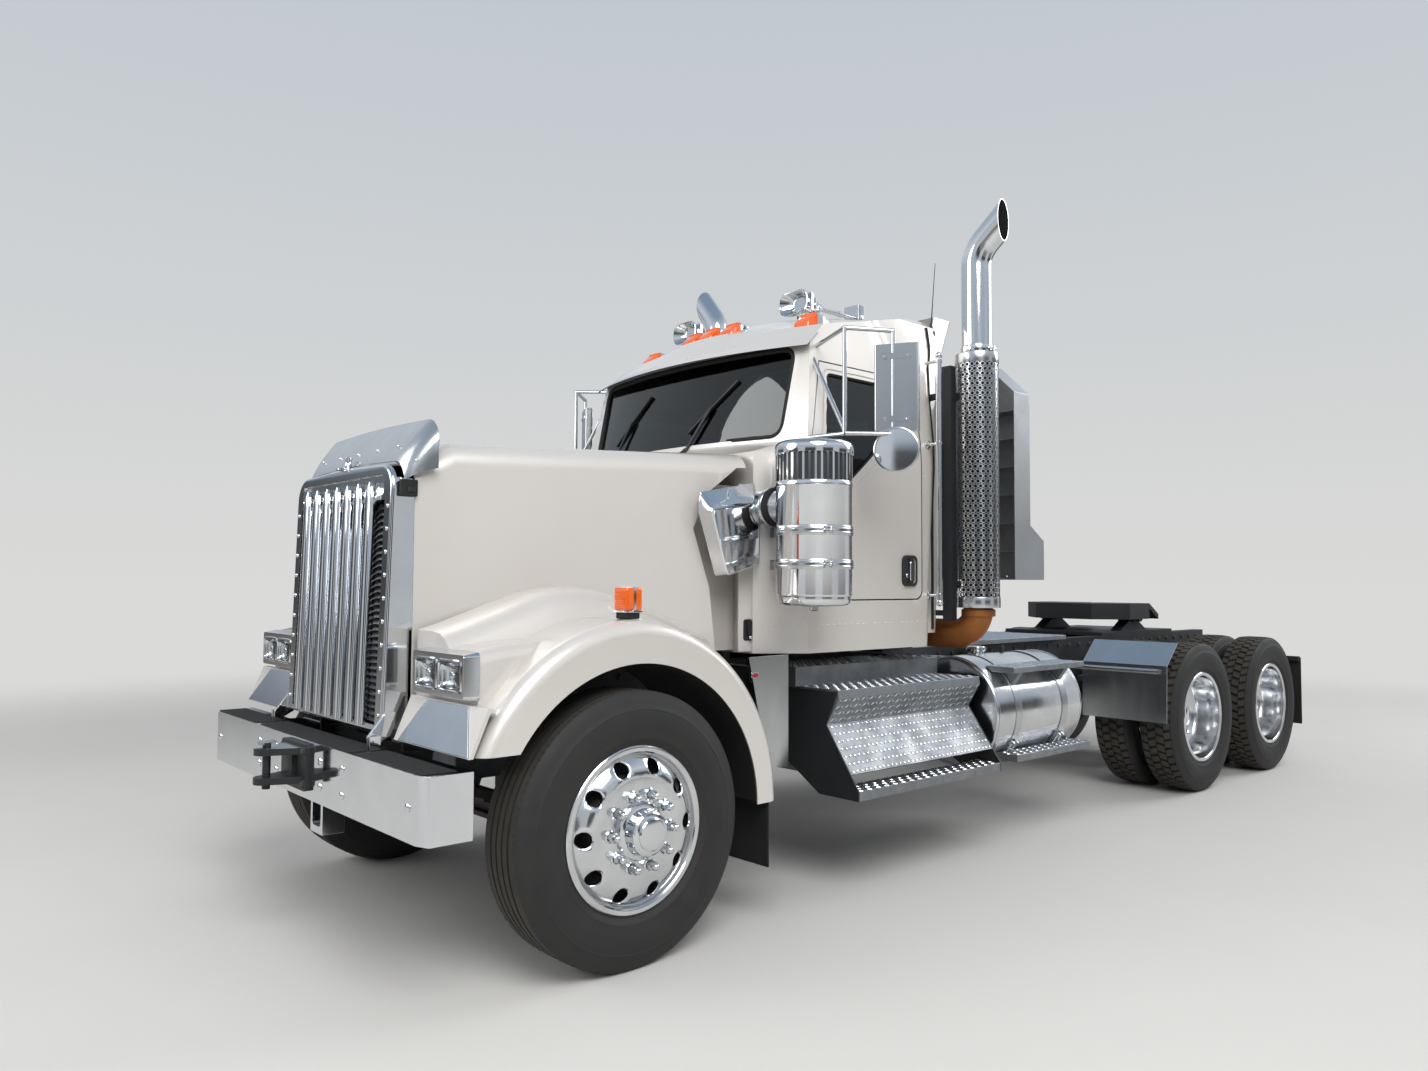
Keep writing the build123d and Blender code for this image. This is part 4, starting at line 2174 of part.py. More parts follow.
column_length = 885
column_end = tuple(w - column_length * d for w, d in zip(wheel_centre, column_dir))
column_start = tuple(w - (hub_high / 2 + 0.4) * d for w, d in zip(wheel_centre, column_dir))
with BuildPart() as steering_column:
    add(rod(column_start, column_end, 34))
    add(dashboard.part, mode=Mode.SUBTRACT)
save(joined(dashboard.part, steering_column.part), "dashboard")
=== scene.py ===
from math import acos, atan2, cos, hypot, pi, radians, sin, tan, tau

import bmesh
import bpy
from mathutils import Matrix, Vector
from mathutils.bvhtree import BVHTree


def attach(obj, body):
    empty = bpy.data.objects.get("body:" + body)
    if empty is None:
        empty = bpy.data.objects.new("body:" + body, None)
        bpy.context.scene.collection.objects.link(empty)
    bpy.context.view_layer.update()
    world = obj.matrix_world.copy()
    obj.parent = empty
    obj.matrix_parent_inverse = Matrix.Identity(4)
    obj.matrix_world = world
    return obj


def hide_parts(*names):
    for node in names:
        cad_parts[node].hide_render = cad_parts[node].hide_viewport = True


bl_info = {
    "name": "Tractor unit looks",
    "version": (1, 0, 0),
    "blender": (4, 5, 0),
    "location": "3D View > Sidebar > Tractor",
    "description": "Finishes, fittings and studio for the long-nose tractor unit",
    "category": "Object",
}

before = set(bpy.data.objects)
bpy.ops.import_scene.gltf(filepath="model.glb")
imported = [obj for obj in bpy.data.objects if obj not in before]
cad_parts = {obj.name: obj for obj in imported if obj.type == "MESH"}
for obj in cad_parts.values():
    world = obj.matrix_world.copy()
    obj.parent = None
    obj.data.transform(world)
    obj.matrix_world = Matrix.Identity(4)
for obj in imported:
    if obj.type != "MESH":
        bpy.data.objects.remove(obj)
MM = 0.001  # the shapes below are written in millimetres, in the CAD model's frame
AXLE_X = 3060  # front axle, which stations are measured from


def ahead(distance):
    """A station, given as its distance ahead of the front axle."""
    return AXLE_X + distance


# Materials


def colour(hex_code):
    """Linear colour with alpha, from an sRGB hex value."""
    parts = [int(hex_code[i:i + 2], 16) / 255 for i in (0, 2, 4)]
    return tuple(c / 12.92 if c <= 0.04045 else ((c + 0.055) / 1.055) ** 2.4 for c in parts) + (1.0,)


def put(tree, kind, ins=None, **settings):
    """Adds a node with its settings, and fills or links its inputs."""
    made = tree.nodes.new(kind)
    for key, value in settings.items():
        setattr(made, key, value)
    for key, value in (ins or {}).items():
        if isinstance(value, bpy.types.NodeSocket):
            tree.links.new(value, made.inputs[key])
        else:
            made.inputs[key].default_value = value
    return made


FINISHES = {}


def finish(name, base, rough, metal=0.0, worn=None, worn_share=0.35, spread=400.0, grain=None,
           bump=0.0, rough_span=0.08, stretch=(1, 1, 1), detail=4.0, **sockets):
    """A finish whose colour and gloss drift over the surface, with a fine bump.

    spread is the size of the patches in millimetres, grain that of the bump."""
    mat = bpy.data.materials.new(name)
    mat.use_nodes = True
    tree = mat.node_tree
    shader = tree.nodes["Principled BSDF"]
    place = put(tree, "ShaderNodeTexCoord").outputs["Object"]
    place = put(tree, "ShaderNodeMapping", {"Vector": place, "Scale": stretch}).outputs["Vector"]
    drift = put(tree, "ShaderNodeTexNoise", {"Vector": place, "Scale": 1000 / spread, "Detail": detail,
                                             "Roughness": 0.6}).outputs["Fac"]
    low, high = 0.5 - worn_share / 2, 0.5 + worn_share / 2
    patch = put(tree, "ShaderNodeMapRange", {"Value": drift, "From Min": low, "From Max": high})
    mixed = put(tree, "ShaderNodeMix", {"Factor": patch.outputs["Result"], "A": colour(base),
                                        "B": colour(worn or base)}, data_type="RGBA")
    tree.links.new(mixed.outputs["Result"], shader.inputs["Base Color"])
    gloss = put(tree, "ShaderNodeMapRange", {"Value": drift, "From Min": low, "From Max": high,
                                             "To Min": rough, "To Max": rough + rough_span})
    tree.links.new(gloss.outputs["Result"], shader.inputs["Roughness"])
    shader.inputs["Metallic"].default_value = metal
    if grain:
        fine = put(tree, "ShaderNodeTexNoise", {"Vector": place, "Scale": 1000 / grain, "Detail": 2.0})
        rise = put(tree, "ShaderNodeBump", {"Height": fine.outputs["Fac"], "Strength": bump,
                                            "Distance": grain * MM * 0.25})
        tree.links.new(rise.outputs["Normal"], shader.inputs["Normal"])
    for key, value in sockets.items():
        shader.inputs[key.replace("_", " ")].default_value = value
    FINISHES[name] = mat
    return mat


class TractorColours(bpy.types.PropertyGroup):
    """Colours of the finishes that an owner would choose."""

    pearl: bpy.props.FloatVectorProperty(
        name="Pearl enamel", description="Body colour", subtype="COLOR", size=4, min=0, max=1,
        default=colour("D3CEC8"))
    chassis: bpy.props.FloatVectorProperty(
        name="Chassis enamel", description="Colour of the frame and fifth wheel", subtype="COLOR",
        size=4, min=0, max=1, default=colour("17181A"))
    amber: bpy.props.FloatVectorProperty(
        name="Amber lenses", description="Colour of the marker and turn lamps", subtype="COLOR",
        size=4, min=0, max=1, default=colour("E8640A"))
    cloth: bpy.props.FloatVectorProperty(
        name="Seat cloth", description="Colour of the woven seat covers", subtype="COLOR", size=4,
        min=0, max=1, default=colour("5A5A5E"))


def recolour(mat, value, share=1.0):
    """Sets both colours of a finish from an owner's choice; the worn one is a share darker."""
    mix = next(n for n in mat.node_tree.nodes if n.bl_idname == "ShaderNodeMix")
    mix.inputs["A"].default_value = value
    mix.inputs["B"].default_value = tuple(c * share for c in value[:3]) + (1.0,)


def make_finishes(choice):
    """Builds every finish once."""
    # Pearl enamel, sprayed and clear-coated: a soft sheen under a sharp gloss, faint orange peel
    pearl = finish("pearl_enamel", "D3CEC8", 0.3, 0.25, spread=900, grain=4, bump=0.03,
                   Coat_Weight=1.0, Coat_Roughness=0.04, Coat_IOR=1.5)
    recolour(pearl, tuple(choice.pearl), 0.94)
    # Chromium plate on steel: a near mirror, slightly clouded by wiping
    finish("chrome_plate", "DCDEE0", 0.045, 1.0, worn="D2D4D7", spread=260, rough_span=0.06)
    # Polished stainless sheet: rolled, buffed along its length, a little softer than chrome
    finish("stainless_sheet", "C9CBCC", 0.16, 1.0, worn="BDBFC1", spread=180, rough_span=0.1,
           stretch=(1, 1, 0.25), grain=3, bump=0.03)
    # Forged aluminium, machine polished: bright, with a fine haze
    finish("polished_aluminium", "DADBDC", 0.1, 1.0, worn="CACCCE", spread=160, rough_span=0.12)
    # Mill-finish aluminium: dull grey with handling marks
    finish("mill_aluminium", "B9BCBF", 0.34, 1.0, worn="A7AAAD", spread=220, rough_span=0.16,
           grain=6, bump=0.05)
    # Embossed aluminium floor plate: brighter on its bars, dull between
    finish("floor_plate", "9C9FA2", 0.42, 1.0, worn="85888B", spread=120, rough_span=0.16,
           grain=5, bump=0.06)
    # Chassis enamel: brushed semi-gloss black under road film
    chassis = finish("chassis_enamel", "17181A", 0.38, worn="2A2927", worn_share=0.5, spread=260,
                     rough_span=0.25, grain=7, bump=0.08, Specular_IOR_Level=0.45)
    recolour(chassis, tuple(choice.chassis), 1.7)
    # Sand-cast iron with a dusty paint: matt and pebbly
    finish("cast_iron", "2C2B2A", 0.6, worn="3E3A36", worn_share=0.5, spread=120, grain=5, bump=0.3)
    # Sprayed engine enamel on castings
    finish("engine_enamel", "6A6F74", 0.45, worn="575B60", spread=200, grain=6, bump=0.15)
    # Moulded ABS with a spark-eroded texture
    finish("black_abs", "1C1C1E", 0.5, worn="242426", spread=300, grain=2.5, bump=0.15)
    # Rubber of seals, hoses and flaps: matt black, greyed by weather
    finish("black_rubber", "161617", 0.68, worn="222221", worn_share=0.5, spread=150, grain=4,
           bump=0.12, Specular_IOR_Level=0.35)
    # Tyre compound: charcoal, dressed on the wall, dusty towards the road
    finish("tyre_compound", "1D1D1E", 0.55, worn="2B2A28", worn_share=0.55, spread=90,
           rough_span=0.22, grain=3, bump=0.1, Specular_IOR_Level=0.4)
    # Tread faces scrubbed grey-brown by the road
    finish("tread_face", "35332F", 0.8, worn="46423B", worn_share=0.6, spread=60, grain=4, bump=0.2,
           Specular_IOR_Level=0.3)
    # Exhaust steel browned by heat: straw to rust with a dull metal sheen
    finish("heat_browned_steel", "B0713C", 0.42, 0.75, worn="7E4C28", worn_share=0.7, spread=140,
           rough_span=0.2, grain=5, bump=0.12)
    # Soot inside the stacks; the same near-black also stands as painted shade in the horn throats and on the
    # pipe walls hidden under the heat shields
    finish("soot_and_painted_shade", "0B0B0B", 0.9, spread=120, grain=6, bump=0.3)
    # Cab trim: vinyl with a leather grain, and a padded headliner
    finish("cabin_vinyl", "4B4A4C", 0.55, worn="424143", spread=260, grain=3, bump=0.25)
    finish("headliner", "8A8782", 0.9, worn="7E7B76", spread=200, grain=3, bump=0.3)
    # Glass-fibre laminate left bare inside the hood: dull grey with a woven grain
    finish("raw_fibreglass", "6E6C66", 0.7, worn="5E5C57", spread=200, grain=4, bump=0.4)
    # Radiator core: thin dark fins
    finish("core_fins", "3A3C3E", 0.5, 0.6, worn="2C2D2E", spread=60, stretch=(1, 1, 40), grain=9,
           bump=0.5)
    amber = finish("amber_acrylic", "E8640A", 0.12, spread=60, worn="D95506", Transmission_Weight=0.15,
                   IOR=1.49, Coat_Weight=0.6, Emission_Strength=0.12)
    recolour(amber, tuple(choice.amber), 0.85)
    amber.node_tree.nodes["Principled BSDF"].inputs["Emission Color"].default_value = tuple(choice.amber)
    finish("red_acrylic", "A3120C", 0.14, worn="8A0E09", spread=60, IOR=1.49, Coat_Weight=0.6)
    # Smoked acrylic, cast and clear-edged
    finish("tinted_acrylic", "3A3D42", 0.08, worn="33363B", spread=200, IOR=1.49, Coat_Weight=0.8)
    # Lamp glass: clear, moulded
    finish("lamp_glass", "F2F5F6", 0.02, spread=80, rough_span=0.02, Transmission_Weight=1.0, IOR=1.5)
    # Laminated glass with a grey-green tint
    finish("tinted_glass", "55625F", 0.01, spread=900, rough_span=0.01, Transmission_Weight=1.0,
           IOR=1.5)
    woven = finish("seat_cloth", "5A5A5E", 0.85, worn="4C4C50", worn_share=0.5, spread=60, grain=5,
                   bump=0.5, Sheen_Weight=0.4, Sheen_Roughness=0.5)
    recolour(woven, tuple(choice.cloth), 0.8)
    # Silvered reflector behind the lenses
    finish("silvered", "E4E6E8", 0.06, 1.0, spread=50, rough_span=0.04)


NODE_FINISH = {
    "frame_rails": "chassis_enamel", "front_axle": "cast_iron", "rear_suspension": "chassis_enamel",
    "engine_block": "engine_enamel", "drive_axles": "cast_iron", "radiator": "core_fins",
    "bumper": "chrome_plate", "tow_hitch": "chassis_enamel", "cab_shell": "pearl_enamel",
    "cab_glass": "tinted_glass", "sun_visor": "pearl_enamel", "roof_lamps": "amber_acrylic",
    "air_horns": "chrome_plate", "air_cleaners": "chrome_plate", "exhaust_stacks": "chrome_plate",
    "stack_shields": "stainless_sheet", "side_brackets": "chassis_enamel",
    "grab_rails": "chrome_plate", "cab_guard": "mill_aluminium", "fuel_tanks": "polished_aluminium",
    "tank_straps": "stainless_sheet", "tread_plates": "floor_plate",
    "quarter_fenders": "stainless_sheet", "rear_mudflaps": "black_rubber",
    "fifth_base": "chassis_enamel", "mirrors": "stainless_sheet", "dashboard": "cabin_vinyl",
    "seats": "seat_cloth", "cowl_skirts": "stainless_sheet", "wipers": "black_abs",
    "hood_shell": "pearl_enamel", "fenders": "pearl_enamel", "fender_liners": "black_rubber",
    "grille": "chrome_plate", "grille_screen": "black_abs", "lamp_trim": "chrome_plate",
    "headlamp_lenses": "lamp_glass", "turn_lamps": "amber_acrylic", "bug_deflector": "chrome_plate",
    "knuckle": "cast_iron", "tie_rod": "cast_iron", "fifth_plate": "chassis_enamel",
    "steering_wheel": "cabin_vinyl", "door_glass": "tinted_glass", "door": "pearl_enamel",
    "tyre": "tyre_compound", "wheel": "polished_aluminium",
}


def clothe_nodes():
    """Gives every CAD node that still shows its finish."""
    for name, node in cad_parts.items():
        key = max((k for k in NODE_FINISH if name.startswith(k)), key=len)
        mat = FINISHES[NODE_FINISH[key]]
        if node.data.materials:
            for slot in node.material_slots:
                slot.material = mat
        else:
            node.data.materials.append(mat)


# Shapes


def facing(origin, normal, up=(0, 0, 1)):
    """Frame at a point: its third axis is the normal, its second lies near up."""
    out = Vector(normal).normalized()
    across = Vector(up).cross(out)
    if across.length < 0.01:
        across = Vector((0, 1, 0)).cross(out)
    across.normalize()
    turned = Matrix((across, out.cross(across), out)).transposed().to_4x4()
    return Matrix.Translation(origin) @ turned


def rounded(wide, high, corner, steps=3, middle=(0, 0)):
    """Outline of a rectangle with round corners."""
    points = []
    for sx, sy, start in ((1, 1, 0), (-1, 1, 90), (-1, -1, 180), (1, -1, 270)):
        for i in range(steps + 1):
            a = radians(start + 90 * i / steps)
            points.append((middle[0] + sx * (wide / 2 - corner) + corner * cos(a),
                           middle[1] + sy * (high / 2 - corner) + corner * sin(a)))
    return points


def drawn_in(outline, depth):
    """An outline drawn in by a depth, corner by corner."""
    area = sum(a[0] * b[1] - b[0] * a[1] for a, b in zip(outline, outline[1:] + outline[:1]))
    turn = 1 if area > 0 else -1
    points = []
    for i, here in enumerate(outline):
        before, after = Vector(outline[i - 1]), Vector(outline[(i + 1) % len(outline)])
        one, two = (Vector(here) - before).normalized(), (after - Vector(here)).normalized()
        inward = Vector((-one.y - two.y, one.x + two.x))
        if inward.length < 1e-6:
            inward = Vector((-one.y, one.x))
        inward.normalize()
        slant = max(0.35, inward.dot(Vector((-one.y, one.x))))
        points.append(tuple(Vector(here) + inward * (turn * depth / slant)))
    return points


def settle(name, mesh, body, slot, replaced=(), crease=35):
    """Makes a mesh one finished piece that rides on a body."""
    for polygon in mesh.polygons:
        polygon.use_smooth = True
    mesh.set_sharp_from_angle(angle=radians(crease))
    piece = bpy.data.objects.new(name, mesh)
    bpy.context.scene.collection.objects.link(piece)
    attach(piece, body)
    if replaced:
        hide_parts(*replaced)
    return piece


class Shape:
    """Faces in millimetres that become one finished piece."""

    def __init__(self):
        self.bm = bmesh.new()
        self.used = []

    def index(self, finish_name):
        if finish_name not in self.used:
            self.used.append(finish_name)
        return self.used.index(finish_name)

    def skin(self, rings, finish_name, caps=True, loop=False, shut=True, at=None):
        """Skins rings of equal point counts, in order; caps close the two ends."""
        index = self.index(finish_name)
        at = at or Matrix.Identity(4)
        made = [[self.bm.verts.new(at @ Vector(p)) for p in ring] for ring in rings]
        pairs = list(zip(made, made[1:]))
        if loop:
            pairs.append((made[-1], made[0]))
        count = len(made[0])
        for low, high in pairs:
            for i in range(count if shut else count - 1):
                j = (i + 1) % count
                self.bm.faces.new((low[i], low[j], high[j], high[i])).material_index = index
        if caps and not loop:
            self.bm.faces.new(made[0][::-1]).material_index = index
            self.bm.faces.new(made[-1]).material_index = index

    def lathe(self, profile, finish_name, at, steps=32, loop=False, caps=False):
        """Turns (radius, distance) points round the frame's third axis."""
        rings = [[(r * cos(tau * i / steps), r * sin(tau * i / steps), w) for i in range(steps)]
                 for r, w in profile]
        self.skin(rings, finish_name, caps=caps, loop=loop, at=at)

    def plate(self, outline, thick, finish_name, at, bevel=0.0, both=False):
        """A sheet with the outline in the frame's first two axes, thick along its third."""
        rings = [[(x, y, 0) for x, y in outline]]
        if bevel:
            inner = drawn_in(outline, bevel)
            if both:
                rings = [[(x, y, 0) for x, y in inner], [(x, y, bevel) for x, y in outline]]
            rings.append([(x, y, thick - bevel) for x, y in outline])
            rings.append([(x, y, thick) for x, y in inner])
        else:
            rings.append([(x, y, thick) for x, y in outline])
        self.skin(rings, finish_name, at=at)

    def block(self, low, high, finish_name, soft=3.0):
        """A box between two corners with softened edges."""
        low, high = Vector(low), Vector(high)
        size = high - low
        soft = min(soft, min(size) * 0.3)
        at = Matrix.Translation(((low.x + high.x) / 2, (low.y + high.y) / 2, low.z))
        self.plate(rounded(size.x, size.y, soft, 2), size.z, finish_name, at, bevel=soft * 0.6, both=True)

    def tube(self, path, radius, finish_name, steps=12, caps=True):
        """A round bar along a line of points."""
        path = [Vector(p) for p in path]
        radii = radius if isinstance(radius, (list, tuple)) else [radius] * len(path)
        rings = []
        side = None
        for i, (here, r) in enumerate(zip(path, radii)):
            along = (path[min(i + 1, len(path) - 1)] - path[max(i - 1, 0)]).normalized()
            if side is None:
                side = along.orthogonal()
            side = (side - along * side.dot(along)).normalized()
            other = along.cross(side)
            rings.append([here + (side * cos(tau * k / steps) + other * sin(tau * k / steps)) * r
                          for k in range(steps)])
        self.skin(rings, finish_name, caps=caps)

    def ball(self, middle, radius, finish_name, steps=12):
        rows = max(4, steps // 2)
        profile = [(radius * sin(pi * i / rows), -radius * cos(pi * i / rows)) for i in range(rows + 1)]
        self.lathe(profile, finish_name, Matrix.Translation(middle), steps)

    def both_sides(self):
        """Adds the mirror image across the truck's middle."""
        copied = bmesh.ops.duplicate(self.bm, geom=self.bm.verts[:] + self.bm.edges[:] + self.bm.faces[:])
        for item in copied["geom"]:
            if isinstance(item, bmesh.types.BMVert):
                item.co.y = -item.co.y

    def mesh(self, name):
        """The collected faces as a mesh in metres, merged, with outward normals."""
        bm = self.bm
        bmesh.ops.scale(bm, vec=(MM, MM, MM), verts=bm.verts)
        bmesh.ops.remove_doubles(bm, verts=bm.verts, dist=2e-5)
        bmesh.ops.recalc_face_normals(bm, faces=bm.faces)
        made = bpy.data.meshes.new(name)
        bm.to_mesh(made)
        bm.free()
        for finish_name in self.used:
            made.materials.append(FINISHES[finish_name])
        return made

    def done(self, name, body, slot, replaced=(), crease=35):
        return settle(name, self.mesh(name), body, slot, replaced, crease)


def inputs_of(tree, sockets):
    """Names a node group's inputs, and its one output."""
    for name, kind in sockets:
        tree.interface.new_socket(name, in_out="INPUT", socket_type=kind)
    tree.interface.new_socket("Geometry", in_out="OUTPUT", socket_type="NodeSocketGeometry")
    return put(tree, "NodeGroupInput").outputs


def repeat_tree():
    """Sets a unit on every point: its foot along 'facing', its length along 'along'."""
    tree = bpy.data.node_groups.new("unit_on_points", "GeometryNodeTree")
    given = inputs_of(tree, (("Geometry", "NodeSocketGeometry"), ("Unit", "NodeSocketObject"),
                             ("Size", "NodeSocketFloat"), ("Finish", "NodeSocketMaterial")))
    unit = put(tree, "GeometryNodeObjectInfo", {"Object": given["Unit"]}).outputs["Geometry"]
    foot = put(tree, "GeometryNodeInputNamedAttribute", {"Name": "facing"}, data_type="FLOAT_VECTOR")
    length = put(tree, "GeometryNodeInputNamedAttribute", {"Name": "along"}, data_type="FLOAT_VECTOR")
    stood = put(tree, "FunctionNodeAlignRotationToVector", {"Vector": foot.outputs["Attribute"]}, axis="Z")
    laid = put(tree, "FunctionNodeAlignRotationToVector", {
        "Rotation": stood.outputs["Rotation"], "Vector": length.outputs["Attribute"]}, axis="X",
        pivot_axis="Z")
    each = put(tree, "GeometryNodeInstanceOnPoints", {
        "Points": given["Geometry"], "Instance": unit, "Rotation": laid.outputs["Rotation"],
        "Scale": given["Size"]})
    whole = put(tree, "GeometryNodeRealizeInstances", {"Geometry": each.outputs["Instances"]})
    clad = put(tree, "GeometryNodeSetMaterial", {"Geometry": whole.outputs["Geometry"],
                                                 "Material": given["Finish"]})
    put(tree, "NodeGroupOutput", {"Geometry": clad.outputs["Geometry"]})
    return tree


def ring_tree():
    """Repeats a unit in rows round an axis, every other row shifted by a share of a step."""
    tree = bpy.data.node_groups.new("unit_round_axis", "GeometryNodeTree")
    given = inputs_of(tree, (("Geometry", "NodeSocketGeometry"), ("Round", "NodeSocketInt"),
                             ("Rows", "NodeSocketInt"), ("Rise", "NodeSocketFloat"),
                             ("Shift", "NodeSocketFloat"), ("Centre", "NodeSocketVector"),
                             ("Turn", "NodeSocketRotation"), ("Finish", "NodeSocketMaterial")))
    total = put(tree, "ShaderNodeMath", {0: given["Round"], 1: given["Rows"]}, operation="MULTIPLY")
    points = put(tree, "GeometryNodePoints", {"Count": total.outputs[0]})
    number = put(tree, "GeometryNodeInputIndex").outputs["Index"]
    row = put(tree, "ShaderNodeMath", {0: number, 1: given["Round"]}, operation="DIVIDE")
    row = put(tree, "ShaderNodeMath", {0: row.outputs[0]}, operation="FLOOR").outputs[0]
    odd = put(tree, "ShaderNodeMath", {0: row, 1: 2.0}, operation="MODULO").outputs[0]
    shift = put(tree, "ShaderNodeMath", {0: odd, 1: given["Shift"]}, operation="MULTIPLY").outputs[0]
    place = put(tree, "ShaderNodeMath", {0: number, 1: shift}, operation="ADD").outputs[0]
    step = put(tree, "ShaderNodeMath", {0: tau, 1: given["Round"]}, operation="DIVIDE").outputs[0]
    angle = put(tree, "ShaderNodeMath", {0: place, 1: step}, operation="MULTIPLY").outputs[0]
    rise = put(tree, "ShaderNodeMath", {0: row, 1: given["Rise"]}, operation="MULTIPLY").outputs[0]
    moved = put(tree, "GeometryNodeSetPosition", {
        "Geometry": points.outputs["Geometry"],
        "Position": put(tree, "ShaderNodeCombineXYZ", {"Z": rise}).outputs["Vector"]})
    spun = put(tree, "FunctionNodeEulerToRotation", {
        "Euler": put(tree, "ShaderNodeCombineXYZ", {"Z": angle}).outputs["Vector"]})
    each = put(tree, "GeometryNodeInstanceOnPoints", {
        "Points": moved.outputs["Geometry"], "Instance": given["Geometry"],
        "Rotation": spun.outputs["Rotation"]})
    whole = put(tree, "GeometryNodeRealizeInstances", {"Geometry": each.outputs["Instances"]})
    stood = put(tree, "GeometryNodeTransform", {
        "Geometry": whole.outputs["Geometry"], "Translation": given["Centre"], "Rotation": given["Turn"]})
    clad = put(tree, "GeometryNodeSetMaterial", {"Geometry": stood.outputs["Geometry"],
                                                 "Material": given["Finish"]})
    put(tree, "NodeGroupOutput", {"Geometry": clad.outputs["Geometry"]})
    return tree


def grown(mesh, tree, values):
    """Runs a node group on a mesh and gives the result as a plain mesh."""
    seed = bpy.data.objects.new("seed", mesh)
    bpy.context.scene.collection.objects.link(seed)
    nodes = seed.modifiers.new("growth", "NODES")
    nodes.node_group = tree
    for item in tree.interface.items_tree:
        if item.item_type == "SOCKET" and item.in_out == "INPUT" and item.name in values:
            nodes[item.identifier] = values[item.name]
    bpy.context.view_layer.update()
    seen = seed.evaluated_get(bpy.context.evaluated_depsgraph_get())
    result = bpy.data.meshes.new_from_object(seen)
    seed.modifiers.remove(nodes)
    bpy.data.objects.remove(seed)
    return result


def spread_units(name, places, unit, finish_name, body, slot, size=1.0, crease=35):
    """Puts a unit shape on each (point, facing, along) place, in millimetres."""
    holder = bpy.data.objects.new("unit", unit.mesh("unit"))
    bpy.context.scene.collection.objects.link(holder)
    points = bpy.data.meshes.new("places")
    points.from_pydata([tuple(c * MM for c in place[0]) for place in places], [], [])
    for k, key in enumerate(("facing", "along"), start=1):
        values = points.attributes.new(key, "FLOAT_VECTOR", "POINT")
        values.data.foreach_set("vector", [c for place in places for c in place[k]])
    mesh = grown(points, TREES["repeat"], {"Unit": holder, "Size": size, "Finish": FINISHES[finish_name]})
    bpy.data.objects.remove(holder)
    mesh.materials.clear()
    mesh.materials.append(FINISHES[finish_name])
    return settle(name, mesh, body, slot, crease=crease)


def ring_of(unit, count, at, finish_name, rows=1, rise=0.0, shift=0.0):
    """A mesh of the unit repeated round the third axis of a frame."""
    values = {"Round": count, "Rows": rows, "Rise": rise * MM, "Shift": shift,
              "Centre": [c * MM for c in at.translation], "Turn": at.to_euler(),
              "Finish": FINISHES[finish_name]}
    mesh = grown(unit.mesh("unit"), TREES["ring"], values)
    mesh.materials.clear()
    mesh.materials.append(FINISHES[finish_name])
    return mesh


def together(name, meshes, body, slot, replaced=(), crease=35):
    """Joins meshes to one piece, keeping their finishes."""
    bm = bmesh.new()
    used = []
    for mesh in meshes:
        start = len(bm.faces)
        bm.from_mesh(mesh)
        bm.faces.ensure_lookup_table()
        order = []
        for mat in mesh.materials:
            if mat not in used:
                used.append(mat)
            order.append(used.index(mat))
        for face in bm.faces[start:]:
            face.material_index = order[min(face.material_index, len(order) - 1)]
        bpy.data.meshes.remove(mesh)
    whole = bpy.data.meshes.new(name)
    bm.to_mesh(whole)
    bm.free()
    for mat in used:
        whole.materials.append(mat)
    return settle(name, whole, body, slot, replaced, crease)


TREES = {}


def rivet(radius, height, sides=8):
    """A domed head."""
    unit = Shape()
    unit.lathe([(radius, -0.5), (radius, height * 0.25), (radius * 0.8, height * 0.7),
                (radius * 0.42, height * 0.95), (0, height)], "chrome_plate", Matrix.Identity(4), sides)
    return unit


def hex_bolt(radius, height, washer=1.35):
    """A hexagon head on its washer."""
    unit = Shape()
    flat = Matrix.Identity(4)
    unit.lathe([(radius * washer, -0.5), (radius * washer, height * 0.2), (radius, height * 0.25)],
               "chrome_plate", flat, 12)
    unit.lathe([(radius, height * 0.2), (radius, height * 0.85), (radius * 0.82, height), (0, height)],
               "chrome_plate", flat, 6)
    return unit


# Wheels

WHEEL_Z = 540  # axle height
STEER_Y = 1054.5
TWIN_YS = (1066, 729)
DRIVE_XS = (-2160, -3480)


class TractorWheels(bpy.types.PropertyGroup):
    """Sizes of the tyres and wheels that may be changed."""

    steer_grooves: bpy.props.IntProperty(
        name="Steer grooves", description="Grooves round a steered tyre", default=4, min=2, max=6)
    groove_depth: bpy.props.FloatProperty(
        name="Groove depth", description="Depth of the tread grooves in millimetres", default=13, min=3,
        max=20)
    lugs: bpy.props.IntProperty(
        name="Drive lugs", description="Tread pitches round a drive tyre", default=52, min=24, max=80)
    nuts: bpy.props.IntProperty(
        name="Wheel nuts", description="Nuts round a hub", default=10, min=6, max=12)


# half of a tyre's wall from the bead to the shoulder: radius, half width
WALL = [(311, 104), (322, 109), (333, 113.5), (338, 116.5), (341, 119), (352, 125), (354, 126.6),
        (359, 128), (361, 127.8), (385, 134.5), (405, 138), (426, 139.3), (446, 138.6), (464, 135.6),
        (466, 136.6), (471, 135.8), (473, 134), (490, 129), (503, 124), (514, 119.5), (524, 114),
        (532, 107.5)]


def wall_profile(side):
    return [(r, side * w) for r, w in WALL]


